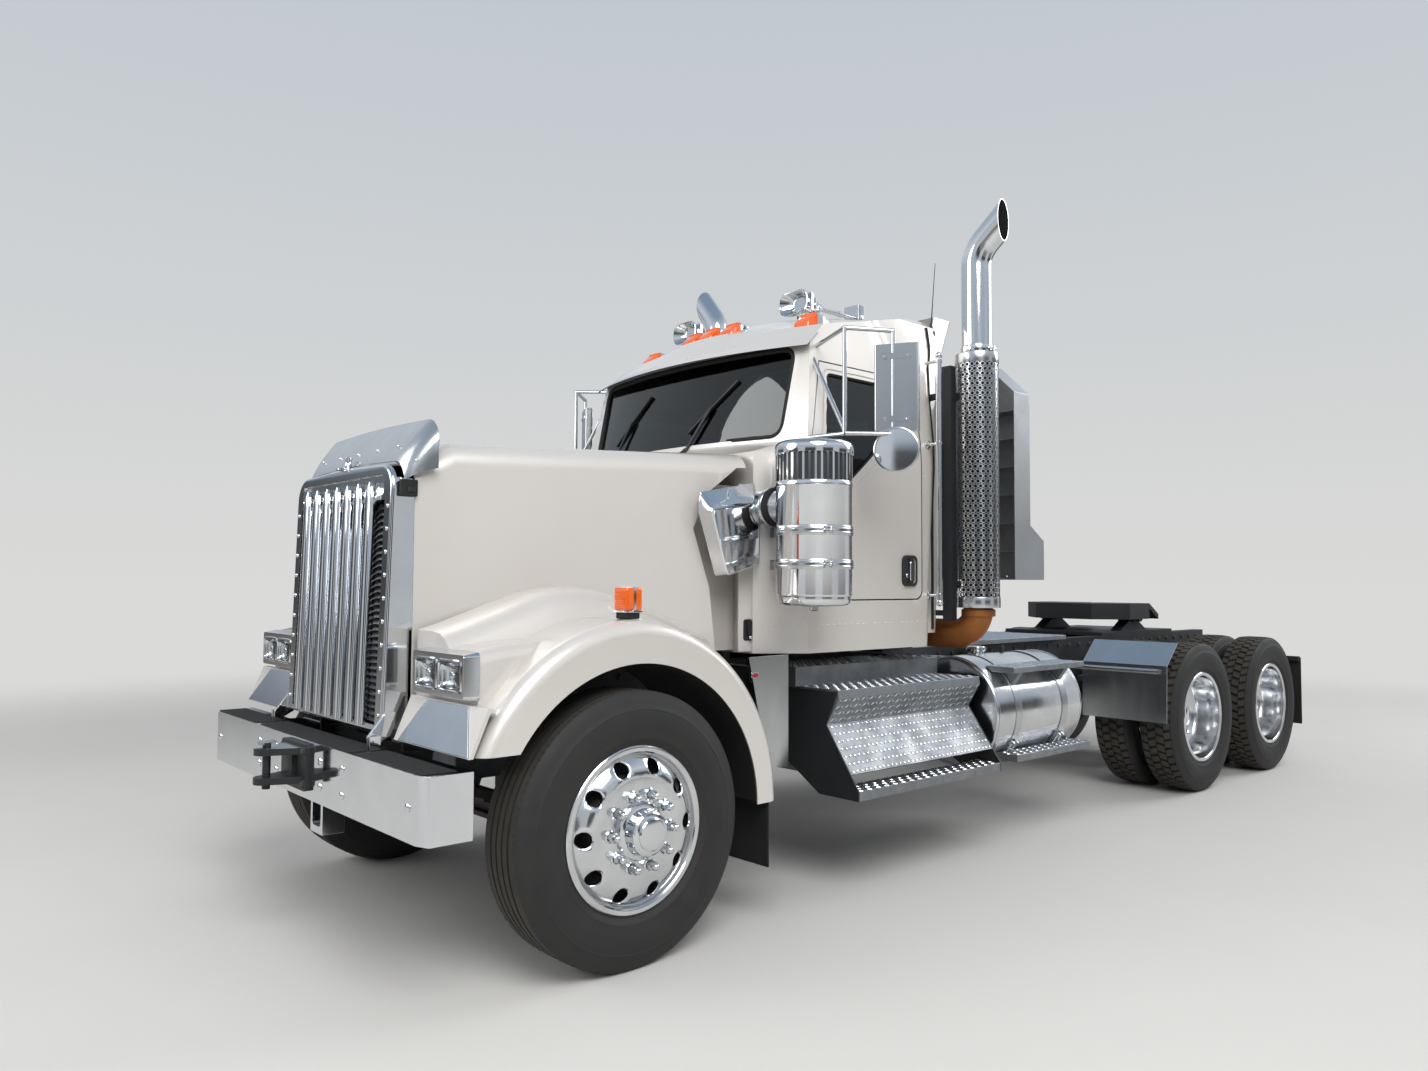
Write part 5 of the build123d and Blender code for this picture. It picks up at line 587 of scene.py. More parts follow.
def steer_tyre(at, grooves, depth):
    """Rib tyre: walls with raised rings and straight grooves in the tread."""
    half = 98
    crown = [(537.5, -103)]
    pitch = 2 * half / (grooves + 1)
    edges = []
    for k in range(1, grooves + 1):
        middle = -half + k * pitch
        edges += [(middle - 6, 0), (middle - 4, depth), (middle + 4, depth), (middle + 6, 0)]
    for w, cut in edges:
        crown.append((540 - 3 * (w / half) ** 2 - cut, w))
    crown.append((537.5, 103))
    profile = wall_profile(-1) + crown + wall_profile(1)[::-1]
    body = Shape()
    body.lathe(profile, "tyre_compound", at, 96, loop=True)
    index = body.index("tread_face")
    body.bm.faces.ensure_lookup_table()
    axis = (at.to_3x3() @ Vector((0, 0, 1))).normalized()
    for face in body.bm.faces:
        offset = face.calc_center_median() - at.translation
        radius = (offset - axis * offset.dot(axis)).length
        if radius > 535:
            face.material_index = index
    notch = Shape()  # small cuts at the shoulders
    for side in (-1, 1):
        notch.skin([[(537.2, -2.2, side * 104), (537.2, 2.2, side * 104), (531, 0, side * 106)],
                    [(539.6, -1.6, side * 88), (539.6, 1.6, side * 88), (538.2, 0, side * 88)]],
                   "tyre_compound")
    return [body.mesh("tyre"), ring_of(notch, 110, at, "tyre_compound")]


def drive_tyre(at, lugs, depth):
    """Traction tyre: four staggered blocks in each pitch over a sunken base."""
    base = 540 - depth
    crown = [(base, -101), (base + 1, -50), (base + 1, 50), (base, 101)]
    body = Shape()
    body.lathe(wall_profile(-1) + crown + wall_profile(1)[::-1], "tyre_compound", at, 80, loop=True)
    block = Shape()
    step = tau / lugs
    for near, far, shift, slant, share in ((-104, -60, 0.0, 0.18, 0.74), (-54, -4, 0.45, -0.22, 0.7),
                                           (4, 54, 0.0, 0.22, 0.7), (60, 104, 0.45, -0.18, 0.74)):
        rings = []
        for radius, gain in ((base - 3, 1.0), (536, 0.94), (539.8, 0.86)):
            ring = []
            for w, skew in ((near, -1), (far, 1)):
                ends = (-1, 1) if skew < 0 else (1, -1)
                for end in ends:
                    angle = step * (shift + slant * skew * 0.5 + end * share * 0.5 * gain)
                    drop = 5 * max(0.0, abs(w) - 60) / 44
                    ring.append(((radius - drop) * cos(angle), (radius - drop) * sin(angle), w))
            rings.append(ring)
        block.skin(rings, "tread_face")
    return [body.mesh("tyre"), ring_of(block, lugs, at, "tread_face")]


def between(table, value):
    """Reads a table of (place, result) rows at a value."""
    for (a, low), (b, high) in zip(table, table[1:]):
        if value <= b:
            return low + (high - low) * max(0.0, (value - a) / (b - a))
    return table[-1][1]


def web_sector(table, inner, outer, ring, hole, count, thick, finish_name):
    """One share of a wheel's web with its round hand hole, following the web's curve."""
    half = pi / count
    steps = 28
    unit = Shape()

    def surface(x, y, lift=0.0):
        return x, y, between(table, hypot(x, y)) + lift

    def rim_point(angle):
        """Where a ray from the hole's middle meets the sector's edge."""
        low, high = hole, 400.0
        for _ in range(24):
            mid = (low + high) / 2
            x, y = ring + mid * cos(angle), mid * sin(angle)
            inside = inner < hypot(x, y) < outer and abs(atan2(y, x)) < half
            low, high = (mid, high) if inside else (low, mid)
        return low
    shares = (0.0, 0.12, 0.4, 0.7, 1.0)
    turns = [tau * (i + 0.5) / steps - pi for i in range(steps)]
    for r in (inner, outer):
        for a in (-half, half):
            corner = atan2(r * sin(a), r * cos(a) - ring)
            nearest = min(range(steps), key=lambda i: abs(turns[i] - corner))
            turns[nearest] = corner
    rings = [[] for _ in range(len(shares) + 2)]
    for angle in turns:
        reach = rim_point(angle)
        rings[0].append(surface(ring + (hole - 1) * cos(angle), (hole - 1) * sin(angle), -thick))
        rings[1].append(surface(ring + (hole - 3) * cos(angle), (hole - 3) * sin(angle), -6))
        for k, share in enumerate(shares):
            far = hole + (reach - hole) * share
            rings[k + 2].append(surface(ring + far * cos(angle), far * sin(angle), -2.5 if k == 0 else 0))
    unit.skin(rings, finish_name, caps=False)
    return unit


def nut_cover(length):
    """Plated cover over a wheel nut: round flange, hexagon body, domed end."""
    unit = Shape()
    at = Matrix.Translation((143, 0, 0))
    unit.lathe([(0, -2), (25, -2), (25, 3), (20, 7), (20, 9)], "chrome_plate", at, 18)
    hexagon = [(19.5, 7), (18.5, length * 0.62)]
    unit.lathe(hexagon, "chrome_plate", at, 6)
    unit.lathe([(17.2, length * 0.6), (15.5, length * 0.76), (11.5, length * 0.9), (5.5, length * 0.98),
                (0, length)], "chrome_plate", at, 12)
    return unit


def rim_edges(side):
    """Barrel and flange of a rim on the side given by the sign."""
    return [(297, side * 104), (298.5, side * 113), (303, side * 118), (312, side * 120),
            (321, side * 119), (326, side * 115), (326.5, side * 110.5), (323, side * 109),
            (316, side * 108)]


# outer face of each web: radius, distance from the tyre's middle
STEER_WEB = [(100, 137), (205, 137), (222, 136.4), (236, 133.5), (250, 127), (264, 117.5), (280, 104),
             (290, 95)]
DISH_WEB = [(100, -128.5), (190, -128.5), (206, -127), (222, -121), (240, -108), (258, -94), (276, -80),
            (288, -70)]


class OBJECT_OT_tractor_wheels(bpy.types.Operator):
    """Makes the tyres and the polished wheels with their hubs and nut covers"""

    bl_idname = "tractor.wheels"
    bl_label = "Tyres and wheels"

    def execute(self, context):
        look = context.scene.tractor_wheels
        for side, word in ((1, "left"), (-1, "right")):
            at = facing((AXLE_X, side * STEER_Y, WHEEL_Z), (0, side, 0))
            body = f"wheel_front_{word}"
            together(f"steer_tyre_{word}", steer_tyre(at, look.steer_grooves, look.groove_depth), body,
                     "tyre_black", (f"tyre_front_{word}",))
            together(f"steer_wheel_{word}", self.steer_wheel(at, look.nuts), body, "polished_aluminium",
                     (f"wheel_front_{word}",), crease=30)
            for number, x in enumerate(DRIVE_XS, start=1):
                body = f"wheels_drive_{number}_{word}"
                meshes = []
                for y in TWIN_YS:
                    at = facing((x, side * y, WHEEL_Z), (0, side, 0))
                    meshes += drive_tyre(at, look.lugs, look.groove_depth + 5)
                together(f"drive_tyres_{number}_{word}", meshes, body, "tyre_black",
                         (f"tyres_drive_{number}_{word}",))
                together(f"drive_wheels_{number}_{word}", self.drive_wheels(x, side, look.nuts), body,
                         "polished_aluminium", (body,), crease=30)
        return {"FINISHED"}

    def steer_wheel(self, at, nuts):
        rim = Shape()
        metal = "polished_aluminium"
        rim.lathe([(210, 136.2), (204, 137), (150, 137), (109, 137), (109, 100)], metal, at, 72)
        rim.lathe([(290, 95), (295, 92), (297, 96)] + rim_edges(1), metal, at, 72)
        rim.lathe([(297, 96), (297, 62), (299, 20), (299, -60), (297, -104)] + rim_edges(-1)[1:], metal, at,
                  72)
        rim.lathe([(215, 114), (110, 116)], metal, at, 60)
        # brake drum behind the web
        rim.lathe([(212, -84), (214, -60), (210, -58), (210, 96), (196, 114), (110, 114)], "cast_iron", at,
                  48)
        rim.lathe([(92, -74), (92, -54), (110, -54), (110, 110)], "cast_iron", at, 32)
        # black ring between the drum and the rim's barrel: painted shade seen through the hand holes
        rim.lathe([(212, 40), (288, 36), (288, 30), (212, 30)], "black_abs", at, 48)
        # hub cover: stepped and domed
        rim.lathe([(112, 136), (112, 148), (108, 152), (97, 154), (90, 158), (87, 166), (86, 196), (84, 203),
                   (78, 208), (66, 210), (63, 212), (62, 217), (58, 221), (40, 223.5), (20, 224.3),
                   (0, 224.5)],
                  "chrome_plate", at, 48)
        sector = web_sector(STEER_WEB, 205, 290, 250, 33, 10, 22, metal)
        return [rim.mesh("rim"), ring_of(sector, 10, at, metal),
                ring_of(nut_cover(60), nuts, at @ Matrix.Translation((0, 0, 137)), "chrome_plate")]

    def drive_wheels(self, x, side, nuts):
        metal = "polished_aluminium"
        meshes = []
        for y, turn in zip(TWIN_YS, (1, -1)):
            at = facing((x, side * y, WHEEL_Z), (0, side * turn, 0))
            rim = Shape()
            rim.lathe([(288, -70), (294, -62), (297, -40), (299, 20), (297, 104)] + rim_edges(1)[1:], metal,
                      at, 64)
            rim.lathe([(290, -84), (297, -104)] + rim_edges(-1)[1:], metal, at, 64)
            rim.lathe([(195, -129.4), (189, -128.5), (109, -128.5)], metal, at, 64)
            rim.lathe([(206, -146), (110, -148)], metal, at, 48)
            meshes += [rim.mesh("rim"),
                       ring_of(web_sector(DISH_WEB, 190, 288, 236, 34, 10, 18, metal), 10, at, metal)]
        clamp = facing((x, side * 897.5, WHEEL_Z), (0, side, 0))
        hub = Shape()
        hub.lathe([(210, -250), (212, -225), (206, -222), (206, -40), (190, -22), (109, -20), (109, -70)],
                  "cast_iron", clamp, 48)
        # black ring between the drum and the inner rim's barrel: painted shade seen through the hand holes
        hub.lathe([(212, -232), (288, -228), (288, -222), (212, -222)], "black_abs", clamp, 48)
        # axle shaft cover: a stepped, domed cap
        hub.lathe([(122, 19), (122, 30), (117, 35), (112, 38), (110, 50), (108, 108), (103, 117), (92, 121),
                   (76, 123), (72, 127), (71, 163), (67, 171), (56, 175), (30, 177.5), (0, 178)],
                  "chrome_plate", clamp, 48)
        return meshes + [hub.mesh("hub"), ring_of(nut_cover(48), nuts, clamp @ Matrix.Translation((0, 0, 20)),
                                                  "chrome_plate")]


# Painted body


def softened(name, nodes, body, slot, finish_for, bevel=2.2, turn=24, crease=32):
    """A copy of CAD nodes with merged faces and softened edges, finished face by face."""
    bm = bmesh.new()
    for node in nodes:
        bm.from_mesh(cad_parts[node].data)
    bmesh.ops.remove_doubles(bm, verts=bm.verts, dist=1e-5)
    bmesh.ops.dissolve_limit(bm, angle_limit=radians(1.2), verts=bm.verts, edges=bm.edges,
                             delimit={"MATERIAL"})
    edges = [e for e in bm.edges if len(e.link_faces) == 2 and e.calc_face_angle() > radians(turn)]
    if bevel:
        bmesh.ops.bevel(bm, geom=edges, offset=bevel * MM, offset_type="OFFSET", segments=2, profile=0.6,
                        affect="EDGES", clamp_overlap=True)
    used = []
    for face in bm.faces:
        wanted = finish_for(face.calc_center_median() / MM, face.normal)
        if wanted not in used:
            used.append(wanted)
        face.material_index = used.index(wanted)
    mesh = bpy.data.meshes.new(name)
    bm.to_mesh(mesh)
    bm.free()
    for wanted in used:
        mesh.materials.append(FINISHES[wanted])
    piece = settle(name, mesh, body, slot, nodes, crease)
    even = piece.modifiers.new("even", "WEIGHTED_NORMAL")
    even.keep_sharp = True
    seen = piece.evaluated_get(bpy.context.evaluated_depsgraph_get())
    piece.data = bpy.data.meshes.new_from_object(seen)
    piece.modifiers.remove(even)
    return piece


def cab_face(centre, normal):
    """Paint outside; trim on the faces that look into the cab."""
    inward = normal.dot(centre - Vector((ahead(-1750), 0, 1950))) < 0
    if not inward or centre.x > ahead(-980):
        return "pearl_enamel"
    return "headliner" if centre.z > 2550 else "cabin_vinyl"


def door_face(centre, normal):
    inward = normal.y * centre.y < -0.2 * abs(centre.y)
    if abs(centre.y) > 951 and centre.z < 1700 and centre.x < ahead(-1900):
        return "black_abs"
    return "cabin_vinyl" if inward else "pearl_enamel"


def laminate(centre, normal, middle, share):
    """Bare fibreglass on the faces that look to the middle, paint on the others."""
    away = centre - middle
    return "raw_fibreglass" if normal.dot(away) < -share * away.length else "pearl_enamel"


def hood_face(centre, normal):
    return laminate(centre, normal, Vector((centre.x, 0, 1250)), 0.15)


def fender_face(centre, normal):
    side = 1 if centre.y > 0 else -1
    return laminate(centre, normal, Vector((ahead(-10), side * 850, 700)), 0.1)


def only(finish_name):
    return lambda centre, normal: finish_name


def skin_finder(*nodes):
    """Finds where a ray meets the given CAD nodes, in millimetres."""
    bm = bmesh.new()
    for node in nodes:
        bm.from_mesh(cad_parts[node].data)
    tree = BVHTree.FromBMesh(bm)
    bm.free()

    def find(start, direction):
        place, normal, _, _ = tree.ray_cast(Vector(start) * MM, Vector(direction).normalized())
        if place is None:
            return None, None
        if normal.dot(Vector(direction)) > 0:
            normal = -normal
        return place / MM, normal
    return find


def window_loop(corners, radius, steps=6):
    """A closed outline with round corners from its corner points."""
    points = []
    count = len(corners)
    for i, corner in enumerate(corners):
        here, before, after = Vector(corner), Vector(corners[i - 1]), Vector(corners[(i + 1) % count])
        into, out = (before - here).normalized(), (after - here).normalized()
        half = acos(max(-1, min(1, into.dot(out)))) / 2
        reach = min(radius / tan(half), (before - here).length * 0.45, (after - here).length * 0.45)
        start, end = here + into * reach, here + out * reach
        for k in range(steps + 1):
            t = k / steps
            points.append(start * (1 - t) ** 2 + here * (2 * t * (1 - t)) + end * t ** 2)
    return points


def resampled(points, pitch, closed=True):
    """Points at an even pitch along an outline."""
    points = [Vector(p) for p in points]
    if closed:
        points = points + [points[0]]
    result = []
    for a, b in zip(points, points[1:]):
        count = max(1, int((b - a).length / pitch))
        result += [a.lerp(b, k / count) for k in range(count)]
    if not closed:
        result.append(points[-1])
    return result


# side view of a door's window and of the door's edge: station, height
SIDE_WINDOW = [(-1318, 2050), (-1545, 2035), (-1720, 2175), (-1800, 2262), (-2045, 2268), (-2045, 2578),
               (-1415, 2578)]


class OBJECT_OT_tractor_body(bpy.types.Operator):
    """Makes the painted hood, fenders, cab, doors and visor with soft edges"""

    bl_idname = "tractor.body"
    bl_label = "Painted body"

    def execute(self, context):
        softened("painted_hood", ["hood_shell"], "hood", "body_paint", hood_face, bevel=2.5)
        softened("painted_fenders", ["fenders"], "hood", "body_paint", fender_face, bevel=5, turn=30)
        softened("painted_cab", ["cab_shell"], "chassis", "body_paint", cab_face, bevel=5, turn=20)
        softened("painted_visor", ["sun_visor"], "chassis", "body_paint", self.visor_face, bevel=1.5)
        for side, word in ((1, "left"), (-1, "right")):
            softened(f"painted_door_{word}", [f"door_{word}"], f"door_{word}", "body_paint", door_face,
                     bevel=2.2)
            self.door_trim(side, word)
        self.cheeks()
        self.seals()
        self.rivets()
        return {"FINISHED"}

    def cheeks(self):
        """Recessed cowl sides that show between the hood's rear edge and the cab."""
        cheek = Shape()
        cheek.block((ahead(-992), 650, 1172), (ahead(-640), 656, 1985), "pearl_enamel", 2)
        cheek.both_sides()
        cheek.done("cowl_cheeks", "chassis", "body_paint")
        # rubber hood latches on the cowl and red markers on its lining
        latch = Shape()
        place, normal = skin_finder("cab_shell")((ahead(-985), 1300, 1274), (0, -1, 0))
        at = facing(place, normal)
        latch.plate(rounded(56, 104, 12), 5, "black_abs", at, bevel=2)
        latch.plate(rounded(24, 80, 9, middle=(0, 8)), 22, "black_rubber", at, bevel=4)
        latch.lathe([(9, 5), (9, 26), (6, 28), (0, 28)], "chrome_plate",
                    at @ Matrix.Translation((0, -36, 0)), 12)
        lens = facing((ahead(-880), 923, 1072), (0, 1, 0))
        latch.plate(rounded(46, 26, 6), 3, "chrome_plate", lens, bevel=1)
        latch.plate(rounded(36, 17, 5), 7, "red_acrylic", lens, bevel=2)
        latch.both_sides()
        latch.done("hood_latches", "chassis", "black_plastic")

    def visor_face(self, centre, normal):
        # faces looking down or back at the glass are black: painted shade under the body-colour visor
        return "black_abs" if normal.z < -0.2 or (normal.x < -0.2 and normal.z < 0.3) else "pearl_enamel"

    def door_trim(self, side, word):
        find = skin_finder(f"door_glass_{word}")
        rubber = Shape()
        loop = window_loop([(ahead(x), z) for x, z in SIDE_WINDOW], 36)
        path = []
        for x, z in resampled(loop, 30):
            place, _ = find((x, side * 1200, z), (0, -side, 0))
            if place is None:
                place, _ = find((x + (8 if x < ahead(-1700) else -8), side * 1200,
                                 z + (8 if z < 2300 else -8)),
                                (0, -side, 0))
            if place is not None:
                path.append(Vector((x, place.y + side * 5, z)))
        rubber.tube(path + path[:2], 9, "black_rubber", 8, caps=False)
        # window reveal: a second, slimmer bead further out on the door's skin
        skin = skin_finder(f"door_{word}")
        wide = window_loop([(-1292, 2022), (-1560, 2006), (-1748, 2156), (-1816, 2234), (-2075, 2240),
                            (-2075, 2604), (-1398, 2604)], 50)
        bead = []
        for x, z in resampled([(ahead(x), z) for x, z in wide], 40):
            place, normal = skin((x, side * 1200, z), (0, -side, 0))
            if place is not None:
                bead.append(place + normal * 1.0)
        rubber.tube(bead + bead[:2], 4.5, "pearl_enamel", 8, caps=False)
        # bezel glass edge, lock barrel and paddle inside the handle
        at = facing((ahead(-2020), side * 957, 1573), (0, side, 0))
        rubber.plate(rounded(86, 126, 18), 4, "black_abs", at @ Matrix.Translation((0, 0, -5)))
        rubber.plate(rounded(34, 104, 10, middle=(12 * side, 0)), 9, "chrome_plate", at, bevel=3)
        rubber.lathe([(13, 0), (13, 8), (11, 10), (0, 10)], "chrome_plate",
                     at @ Matrix.Translation((-28 * side, -26, 0)), 16)
        # arm rest, inside pull and window crank
        inside = facing((ahead(-1790), side * 896, 1830), (0, -side, 0))
        rubber.plate(rounded(420, 70, 24), 62, "cabin_vinyl", inside, bevel=14)
        rubber.plate(rounded(190, 30, 13, middle=(0, 120)), 34, "black_abs", inside, bevel=8)
        rubber.done(f"door_trim_{word}", f"door_{word}", "rubber_black")

    def seals(self):
        find = skin_finder("cab_glass")
        seal = Shape()
        loop = window_loop([(-790, 2238), (790, 2238), (800, 2705), (-800, 2705)], 76, 8)
        path = []
        for y, z in resampled(loop, 40):
            here = Vector((y, z))
            middle = Vector((0, 2470))
            place = None
            for pull in (0.0, 6.0, 12.0, 20.0):
                point = here + (middle - here).normalized() * pull
                place, normal = find((ahead(-400), point.x, point.y), (-1, 0, 0))
                if place is not None:
                    break
            if place is not None:
                path.append(Vector((place.x + 4, y, z)))
        seal.tube(path + path[:2], 15, "black_rubber", 8, caps=False)
        rear = window_loop([(-460, 2170), (460, 2170), (460, 2560), (-460, 2560)], 62, 6)
        path = []
        for y, z in resampled(rear, 40):
            pull = (Vector((0, 2365)) - Vector((y, z))).normalized() * 8
            place, normal = find((ahead(-3400), y + pull.x, z + pull.y), (1, 0, 0))
            if place is not None:
                path.append(Vector((place.x - 4, y, z)))
        seal.tube(path + path[:2], 13, "black_rubber", 8, caps=False)
        # weather strip between the cab and its rear panel
        skin = skin_finder("cab_shell")
        strip = []
        for k in range(61):
            z = 1250 + (2990 - 1250) * k / 60
            place, normal = skin((ahead(-2262 - 0.12 * max(0, z - 2150)), 1300, z), (0, -1, 0))
            if place is not None:
                strip.append(place + normal * 2)
        for side in (1, -1):
            seal.tube([(p.x, side * p.y, p.z) for p in strip], 9, "black_rubber", 8)
        seal.done("cab_seals", "chassis", "rubber_black")

    def rivets(self):
        skin = skin_finder("cab_shell", "door_left", "door_right")
        places = []
        for side in (1, -1):
            for k in range(26):  # along the sill
                x = ahead(-1040 - 46 * k)
                place, normal = skin((x, side * 1300, 1296), (0, -side, 0))
                if place is not None and abs(place.y) < 960:
                    places.append((place, normal, (0, 0, 1)))
            for k in range(18):  # up the front post
                z = 1330 + 50 * k
                place, normal = skin((ahead(-1200 - (0 if z < 2240 else (z - 2240) * 0.28)), side * 1300,
                                      z), (0, -side, 0))
                if place is not None and abs(place.y) < 960:
                    places.append((place, normal, (0, 0, 1)))
            for k in range(16):  # behind the door
                z = 1340 + 84 * k
                place, normal = skin((ahead(-2176), side * 1300, z), (0, -side, 0))
                if place is not None and abs(place.y) < 960:
                    places.append((place, normal, (0, 0, 1)))
        for y in range(-760, 761, 80):  # over the windshield, under the visor's root
            place, normal = skin((ahead(-600), y, 2738), (-1, 0, -0.05))
            if place is not None:
                places.append((place, normal, (0, 0, 1)))
        spread_units("cab_rivets", places, rivet(5.5, 2.6), "pearl_enamel", "chassis", "body_paint")


# Front end

GRILLE_LEAN = radians(1.5)
GRILLE = Matrix.Translation((ahead(754), 0, 905)) @ Matrix((
    (0, 1, 0), (-sin(GRILLE_LEAN), 0, cos(GRILLE_LEAN)),
    (cos(GRILLE_LEAN), 0, sin(GRILLE_LEAN)))).transposed().to_4x4()
LAMP_YS = (760, 948)
LAMP_Z = 1160
POD_FRONT = ahead(691)


def arch(half, top, corner, foot, steps=8):
    """Front outline of the hood's arch, from the left foot over the top to the right."""
    points = [(half, foot), (half, (foot + top - corner) / 2), (half, top - corner)]
    points += [(half - corner + corner * cos(radians(90 * k / steps)),
                top - corner + corner * sin(radians(90 * k / steps))) for k in range(1, steps + 1)]
    points += [((half - corner) * (1 - k / 8), top + 10 * sin(pi * k / 16)) for k in range(1, 8)]
    points.append((0, top + 10))
    return points + [(-y, z) for y, z in points[-2::-1]]


class TractorFront(bpy.types.PropertyGroup):
    """Sizes at the tractor's nose that may be changed."""

    slats: bpy.props.IntProperty(name="Grille slats", description="Louvres behind the grille bars",
                                 default=34, min=10, max=60)
    ribs: bpy.props.IntProperty(name="Lamp ribs", description="Flutes across a headlamp's glass",
                                default=12, min=4, max=30)


class OBJECT_OT_tractor_front(bpy.types.Operator):
    """Makes the grille, screen, deflector, headlamps, turn lamps, bumper and hitch"""

    bl_idname = "tractor.front"
    bl_label = "Front end"

    def execute(self, context):
        look = context.scene.tractor_front
        softened("plated_grille", ["grille"], "hood", "chrome_trim", only("chrome_plate"), bevel=2.0)
        self.bars()
        self.screen(look.slats)
        self.deflector()
        self.lamps(look.ribs)
        self.turn_lamps()
        self.bumper()
        return {"FINISHED"}

    def bars(self):
        """Seven upright bars, crowned across, with pointed tips."""
        bar = Shape()
        half = [(33, -28), (33, 12), (31, 20.5), (24, 24.5), (12, 27.5), (0, 28.5)]
        section = half + [(-x, z) for x, z in half[-2::-1]]
        for k in range(-3, 4):
            rings = []
            for v, share, drop in ((24, 1, 0), (930, 1, 0), (958, 0.82, 1), (982, 0.5, 4), (1000, 0.12, 9)):
                rings.append([(113 * k + x * share, v, z - drop) for x, z in section])
            bar.skin(rings, "chrome_plate", at=GRILLE)
        bar.done("grille_bars", "hood", "chrome_trim", crease=50)

    def screen(self, slats):
        back = Shape()
        back.plate([(-449, 32), (449, 32), (449, 922), (-449, 922)], 2, "core_fins",
                   GRILLE @ Matrix.Translation((0, 0, -36)))
        unit = Shape()
        unit.skin([[(x, -10, -3), (x, 9, -15), (x, 10, -13.5), (x, -9, -1)] for x in (-447, 447)],
                  "black_abs")
        rise = 880 / slats
        at = GRILLE @ Matrix.Translation((0, 45, -22)) @ Matrix.Rotation(-pi / 2, 4, "X")
        slat = Shape()
        slat.skin([[(x, 2, -9), (x, 14, 8), (x, 12.5, 9), (x, 0.5, -8)] for x in (-447, 447)], "black_abs")
        unit.bm.free()
        together("grille_louvres",
                 [back.mesh("back"), ring_of(slat, 1, at, "black_abs", rows=slats, rise=rise)],
                 "hood", "frame_black", ("grille_screen",))
        places = []
        for side in (1, -1):
            for v in range(70, 900, 92):
                place = GRILLE @ Vector((side * 482, v, 0))
                places.append((place, GRILLE.to_3x3() @ Vector((0, 0, 1)), (0, 0, 1)))
        spread_units("grille_bolts", places, rivet(9, 5, 12), "chrome_plate", "hood", "chrome_trim")
        # header recess lining and the bare pedestal where an ornament would stand
        crown = Shape()
        crown.plate(rounded(858, 78, 18, middle=(0, 987)), 1.5, "stainless_sheet",
                    GRILLE @ Matrix.Translation((0, 0, -19)))
        crown.plate(rounded(96, 44, 12), 10, "chrome_plate",
                    facing((ahead(700), 0, 1978), (-0.05, 0, 1), (0, 1, 0)),
                    bevel=4)
        crown.lathe([(24, 8), (20, 20), (13, 30), (12, 46), (16, 54), (16, 60), (10, 64), (0, 64)],
                    "chrome_plate", facing((ahead(700), 0, 1976), (-0.05, 0, 1), (0, 1, 0)), 24)
        crown.done("grille_crown", "hood", "chrome_trim")

    def deflector(self):
        strip = Shape()
        rows = []
        for k in range(9):
            t = k / 8
            rows.append((ahead(680) - 8 * t - 112 * t ** 1.5, 521 + 51 * t, 1990 + 178 * t ** 1.15,
                         1905 + 55 * t))
        outer = [[(x, y, z) for y, z in arch(half, high, 95, foot)] for x, half, high, foot in rows]
        inner = [[(x - 3.5, y, z) for y, z in arch(half - 4, high - 3, 92, foot)] for x, half, high,
                 foot in rows]
        strip.skin(outer + inner[::-1], "stainless_sheet", caps=False, loop=True, shut=False)
        ends = []
        for rows_ in (outer, inner):
            ends.append([row[0] for row in rows_])
        strip.skin(ends, "stainless_sheet", caps=False, shut=False)
        strip.skin([[row[-1] for row in rows_] for rows_ in (outer, inner)], "stainless_sheet", caps=False,
                   shut=False)
        for y in (-300, 300):
            strip.block((ahead(585), y - 20, 1996), (ahead(611), y + 20, 2110), "black_rubber", 4)
        # latches at the hood's front corners
        for y in (-525, 525):
            strip.block((ahead(628), y - 12, 1842), (ahead(700), y + 12, 1908), "black_rubber", 5)
            strip.block((ahead(640), y - 17, 1858), (ahead(676), y + 17, 1880), "chassis_enamel", 4)
        strip.done("bug_screen", "hood", "smoke_acrylic", ("bug_deflector",))
        places = []
        low = rows[3]
        for y in (-400, -200, 0, 200, 400):
            places.append(((low[0] + 2, y, low[2] + 8), (1, 0, 0.25), (0, 0, 1)))
        for side in (1, -1):
            places.append(((ahead(640), side * (low[1] + 5), 1985), (0, side, 0), (0, 0, 1)))
        spread_units("deflector_bolts", places, rivet(8, 5, 10), "chrome_plate", "hood", "chrome_trim")

    def lamps(self, ribs):
        softened("lamp_pods", ["lamp_trim"], "hood", "chrome_trim", only("chrome_plate"), bevel=3, turn=40)
        lamp = Shape()
        for y in LAMP_YS:
            at = facing((POD_FRONT - 23, y, LAMP_Z), (1, 0, 0))
            bowl = []
            for share, depth in ((1.0, 17), (0.86, 9), (0.62, 4), (0.36, 1.5), (0.12, 0.8)):
                bowl.append([(px, py, depth) for px, py in rounded(166 * share, 102 * share, 16 * share, 4)])
            lamp.skin(bowl, "silvered", caps=False, at=at)
            lamp.lathe([(13, 1), (13, 9), (10, 12), (0, 13)], "silvered", at, 16)
            frame_ring = [[(px, py, z) for px, py in rounded(w, h, r, 4)] for w, h, r, z in (
                (160, 96, 12, 17), (161, 97, 12, 23), (167, 103, 15, 27), (179, 115, 19, 27),
                (186, 122, 22, 22.5))]
            lamp.skin(frame_ring, "chrome_plate", caps=False, at=at)
        lamp.both_sides()
        lamp.done("lamp_bowls", "hood", "chrome_trim")
        glass = Shape()
        for y in LAMP_YS:
            at = facing((POD_FRONT - 6, y, LAMP_Z), (1, 0, 0))
            steps = ribs * 4
            front = []
            for row in (-50, -46, -20, 0, 20, 46, 50):
                edge = 0 if abs(row) > 48 else (3.5 if abs(row) > 45 else 5)
                front.append([(-82 + 164 * k / steps, row, max(0, edge - (2.5 if k in (0, steps) else 0)
                                                               + (0.9 * abs(sin(pi * k / 4)) if edge else 0)))
                              for k in range(steps + 1)])
            glass.skin(front, "lamp_glass", caps=False, shut=False, at=at)
        glass.both_sides()
        glass.done("headlamp_glass", "hood", "lamp_glass", ("headlamp_lenses",), crease=60)

